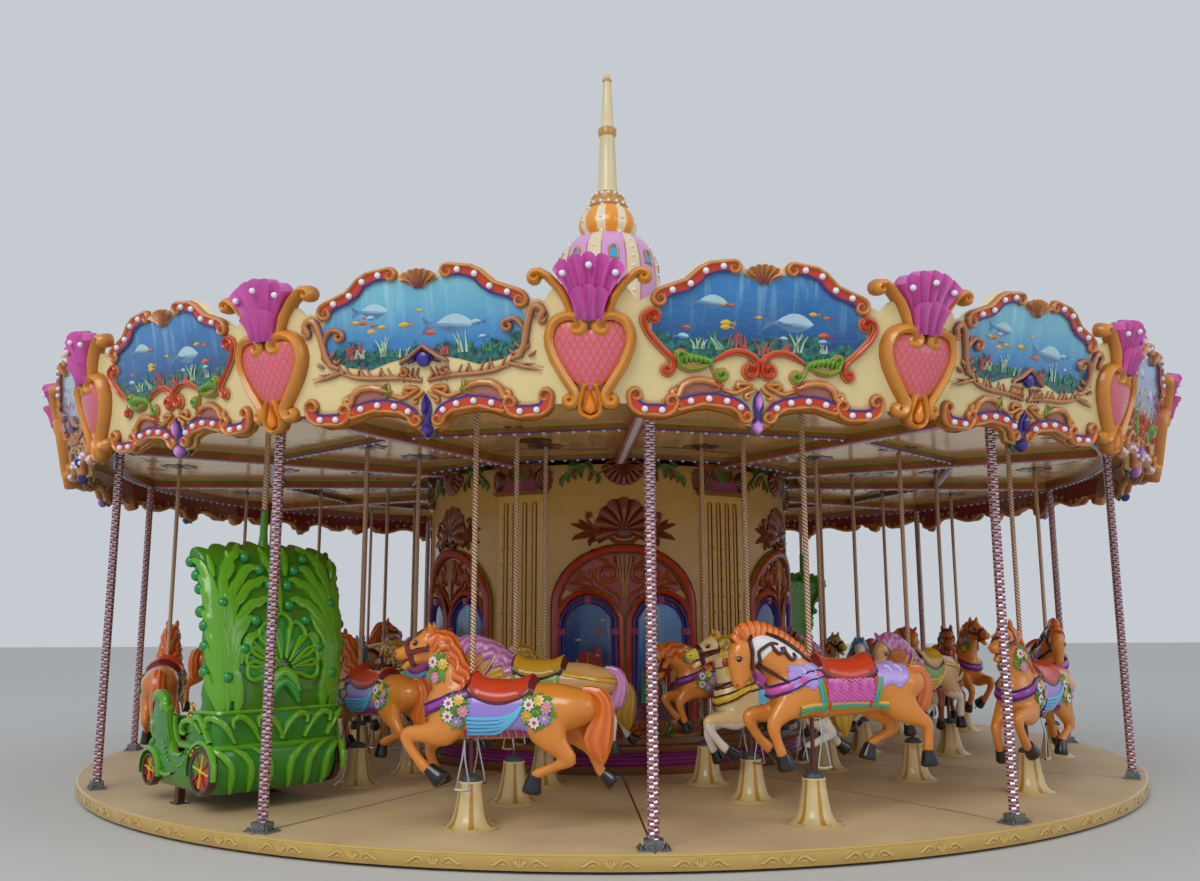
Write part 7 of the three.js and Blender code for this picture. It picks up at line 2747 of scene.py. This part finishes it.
def chariotRelief(shape):
    # petals of the lower body, bowed towards the middle of the rear; the band above them leans the same way
    for q in (0.06, 0.13, 0.20):
        ribOn(shape, tubPlace, [(q + 0.06, 0.450), (q + 0.010, 0.410), (q - 0.022, 0.310),
                                (q - 0.016, 0.160)], 0.060,
              0.034, "bladeGreen", 0.4)
    for q in (0.04, 0.13, 0.22, 0.30):
        ribOn(shape, tubPlace, [(q - 0.045, 0.500), (q - 0.020, 0.600), (q + 0.020, 0.672),
                                (q + 0.052, 0.655), (q + 0.050, 0.600)], 0.056, 0.040, "bladeGreen", 0.45)
    ribOn(shape, tubPlace, [(q, 0.462) for q in np.linspace(-0.47, 0.47, 20)], 0.052, 0.030, "bladeGreen",
          1.0, False)
    ribOn(shape, tubPlace, [(0.30, 0.56), (0.37, 0.64), (0.44, 0.62), (0.45, 0.55), (0.41, 0.54)], 0.050,
          0.030,
          "bladeGreen")
    for route in ([(0.47, 0.46), (0.50, 0.56), (0.50, 0.66)],
                  [(0.52, 0.24), (0.58, 0.22), (0.66, 0.24), (0.72, 0.32)],
                  [(0.74, 0.36), (0.745, 0.48), (0.76, 0.60), (0.80, 0.70)],
                  [(0.86, 0.30), (0.90, 0.40), (0.98, 0.44)], [(0.82, 0.56), (0.88, 0.50), (0.96, 0.48)]):
        ribOn(shape, tubPlace, route, 0.040, 0.026, "bladeGreen", 0.4)
    # dotted rim of the doorway
    for angle in np.linspace(200, 340, 15):
        a = math.radians(angle)
        x = chariots["doorMiddle"] + 0.235 * math.cos(a)
        z = 0.53 + 0.235 * math.sin(a)
        ellipsoid(shape, (x, 0.522, z), (0.012, 0.012, 0.012), "bladeGreen", 6, 4)
    # rolled scrolls on the front rim
    for side in (1, -1):
        loft(shape, [(0.10, side * 0.49, 0.70, 0.030, 0.030), (0.16, side * 0.49, 0.775, 0.042, 0.042),
                     (0.27, side * 0.485, 0.785, 0.045, 0.045), (0.38, side * 0.44, 0.735, 0.042, 0.042),
                     (0.46, side * 0.36, 0.650, 0.036, 0.036), (0.53, side * 0.22, 0.575, 0.032, 0.032),
                     (0.56, side * 0.03, 0.555, 0.030, 0.030)], "bladeGreen", 10, tones=(0.3, 0.3))
        ellipsoid(shape, (0.125, side * 0.50, 0.715), (0.052, 0.040, 0.052), "bladeGreen", 12, 8)
        ellipsoid(shape, (0.42, side * 0.43, 0.600), (0.045, 0.040, 0.045), "bladeGreen", 12, 8)
    for x, z in ((-0.40, 0.735), (-0.42, 0.42), (-0.36, 0.66)):
        for petal in range(5):
            a = math.radians(72 * petal)
            ellipsoid(shape, (x + 0.022 * math.cos(a), 0.528, z + 0.022 * math.sin(a)), (0.014, 0.010, 0.014),
                      "petalRed" if petal % 2 else "petalYellow", 6, 4)


def chariotWheel(shape, x, z, radius):
    side = chariots["wheelSide"]
    for sign in (1, -1):
        tyre = Shape()
        profile = [(0.002, -0.030), (radius * 0.80, -0.030), (radius, -0.022), (radius, 0.022),
                   (radius * 0.93, 0.032), (radius * 0.80, 0.030), (radius * 0.76, 0.012), (0.002, 0.012)]
        turned(tyre, profile, lambda row, _: "petalRed" if row >= 6 else "tyreBrown", 24, caps=(True, True))
        wheel = Shape()
        wheel.merge(tyre, lambda p: np.column_stack([p[:, 0], p[:, 2] * sign, -p[:, 1] * sign]))
        for petal in range(8):
            a = math.radians(45 * petal + 12)
            ahead = np.array([math.cos(a), 0, math.sin(a)])
            frames = [(ahead * radius * reach + np.array([0, sign * 0.013, 0]), np.array([0, sign * 1.0, 0]))
                      for reach in (0.12, 0.3, 0.5, 0.7)]
            laid(wheel, frames, radius * 0.24, 0.014, "petalRed" if petal % 2 else "petalYellow",
                 (0.6, 0.0), 0.4)
        ellipsoid(wheel, (0, sign * 0.016, 0), (radius * 0.15, 0.018, radius * 0.15), "petalYellow", 10, 6)
        shape.merge(wheel, lambda p: p + [x, sign * side, z])
        arch = [((x + (radius + 0.022) * math.cos(a), sign * 0.520, z + (radius + 0.022) * math.sin(a)),
                 np.array([math.cos(a), 0, math.sin(a)])) for a in np.linspace(-0.25, math.pi + 0.25, 22)]
        frames = Shape()
        laid(frames, [(np.array(p), n) for p, n in arch], 0.050, 0.024, "bladeGreen", (0.8, 0.0), 0.8)
        shape.merge(frames)


def chariotFittings(shape):
    x, _ = chariots["pole"]
    turned(shape, [(0.052, 1.845), (0.048, 1.90), (0.036, 1.955), (0.030, 2.02), (0.029, 2.20),
                   (0.024, 2.215)],
           "leafShell", 16, (x, 0), caps=(True, True))
    seat = [(-0.665, -0.32), (-0.32, -0.45), (-0.32, 0.45), (-0.56, 0.43), (-0.665, 0.32)]
    cutPlate(shape, seat, 0.29, 0.572, "innerRed", ease=0.02)
    for y in (0.40, -0.35):
        bar(shape, (-0.03, y, 0.001), (0.03, y, 0.001), 0.055, 0.19, "legMaroon")
        bar(shape, (-0.055, y, 0.0008), (0.055, y, 0.0008), 0.10, 0.012, "legMaroon")


def makeChariots():
    body = Shape()
    for part in (chariotLeaf, chariotTub, chariotRelief, chariotFittings):
        piece = Shape()
        part(piece)
        body.merge(piece)
    for x, z, radius in ((0.28, 0.237, 0.125), (-0.562, 0.297, 0.172)):
        piece = Shape()
        chariotWheel(piece, x, z, radius)
        body.merge(piece)
    for index, bay in enumerate(chariots["bays"]):
        angle = 15 + 30 * bay + chariots["turn"]
        spot = facingRound(chariots["radius"], angle)

        def place(p):
            return spot(p[:, 0], p[:, 1], p[:, 2] + ride["deckTop"])
        whole, staff = Shape(), Shape()
        whole.merge(body, place)
        poleX, radius = chariots["pole"]
        loft(staff, [(poleX, 0, 2.19, radius, radius), (poleX, 0, 2.838, radius, radius)],
             "twistedBrass", 12, step=1.0)
        axis = place(np.array([[poleX, 0.0, 0.0]]))[0]
        staff.flats = np.tile([axis[0], axis[1], 0.0], (staff.count, 1))
        whole.merge(staff, place)
        makePiece(f"leaf_chariot_{index + 1}", whole, "rotor", [f"chariot_{index + 1}"], 45)
    print("chariots made")


makeChariots()


# Floor, light and camera
def makeStage():
    bpy.context.scene.view_settings.view_transform = "Standard"
    bpy.ops.mesh.primitive_plane_add(size=80)
    floor = bpy.context.object
    floor.name = "floor"
    material, _, shader = newMaterial("paleStudioFloor", 0.8)
    shader.inputs["Base Color"].default_value = linear("#CBCBC7")
    floor.data.materials.append(material)
    world = bpy.data.worlds.new("softSky")
    bpy.context.scene.world = world
    world.use_nodes = True
    background = world.node_tree.nodes["Background"]
    background.inputs["Color"].default_value = linear("#EEF4FC")
    background.inputs["Strength"].default_value = 0.66
    for name, place, size, energy in (("keyLight", (-7, -16, 12), 9, 1150),
                                      ("sideLight", (14, -12, 9), 9, 380)):
        light = bpy.data.lights.new(name, "AREA")
        light.size = size
        light.energy = energy
        lamp = bpy.data.objects.new(name, light)
        lamp.location = place
        lamp.rotation_euler = (Vector((0, 0, 2)) - Vector(place)).to_track_quat("-Z", "Y").to_euler()
        bpy.context.scene.collection.objects.link(lamp)


def makeCamera():
    data = bpy.data.cameras.new("camera")
    data.sensor_width = 36
    data.lens = 31.5
    camera = bpy.data.objects.new("camera", data)
    heading, pitch, roll = math.radians(-2.516), math.radians(9.33), -0.0029324
    level = Vector((math.cos(heading), math.sin(heading), 0))
    ahead = Vector((-math.sin(heading) * math.cos(pitch), math.cos(heading) * math.cos(pitch),
                    math.sin(pitch)))
    rise = level.cross(ahead)
    right = math.cos(roll) * level + math.sin(roll) * rise
    up = math.cos(roll) * rise - math.sin(roll) * level
    turn = Matrix((right, up, -ahead)).transposed()
    camera.matrix_world = Matrix.Translation((-0.6054, -11.591, 1.522)) @ turn.to_4x4()
    bpy.context.scene.collection.objects.link(camera)
    bpy.context.scene.camera = camera


makeStage()
makeCamera()
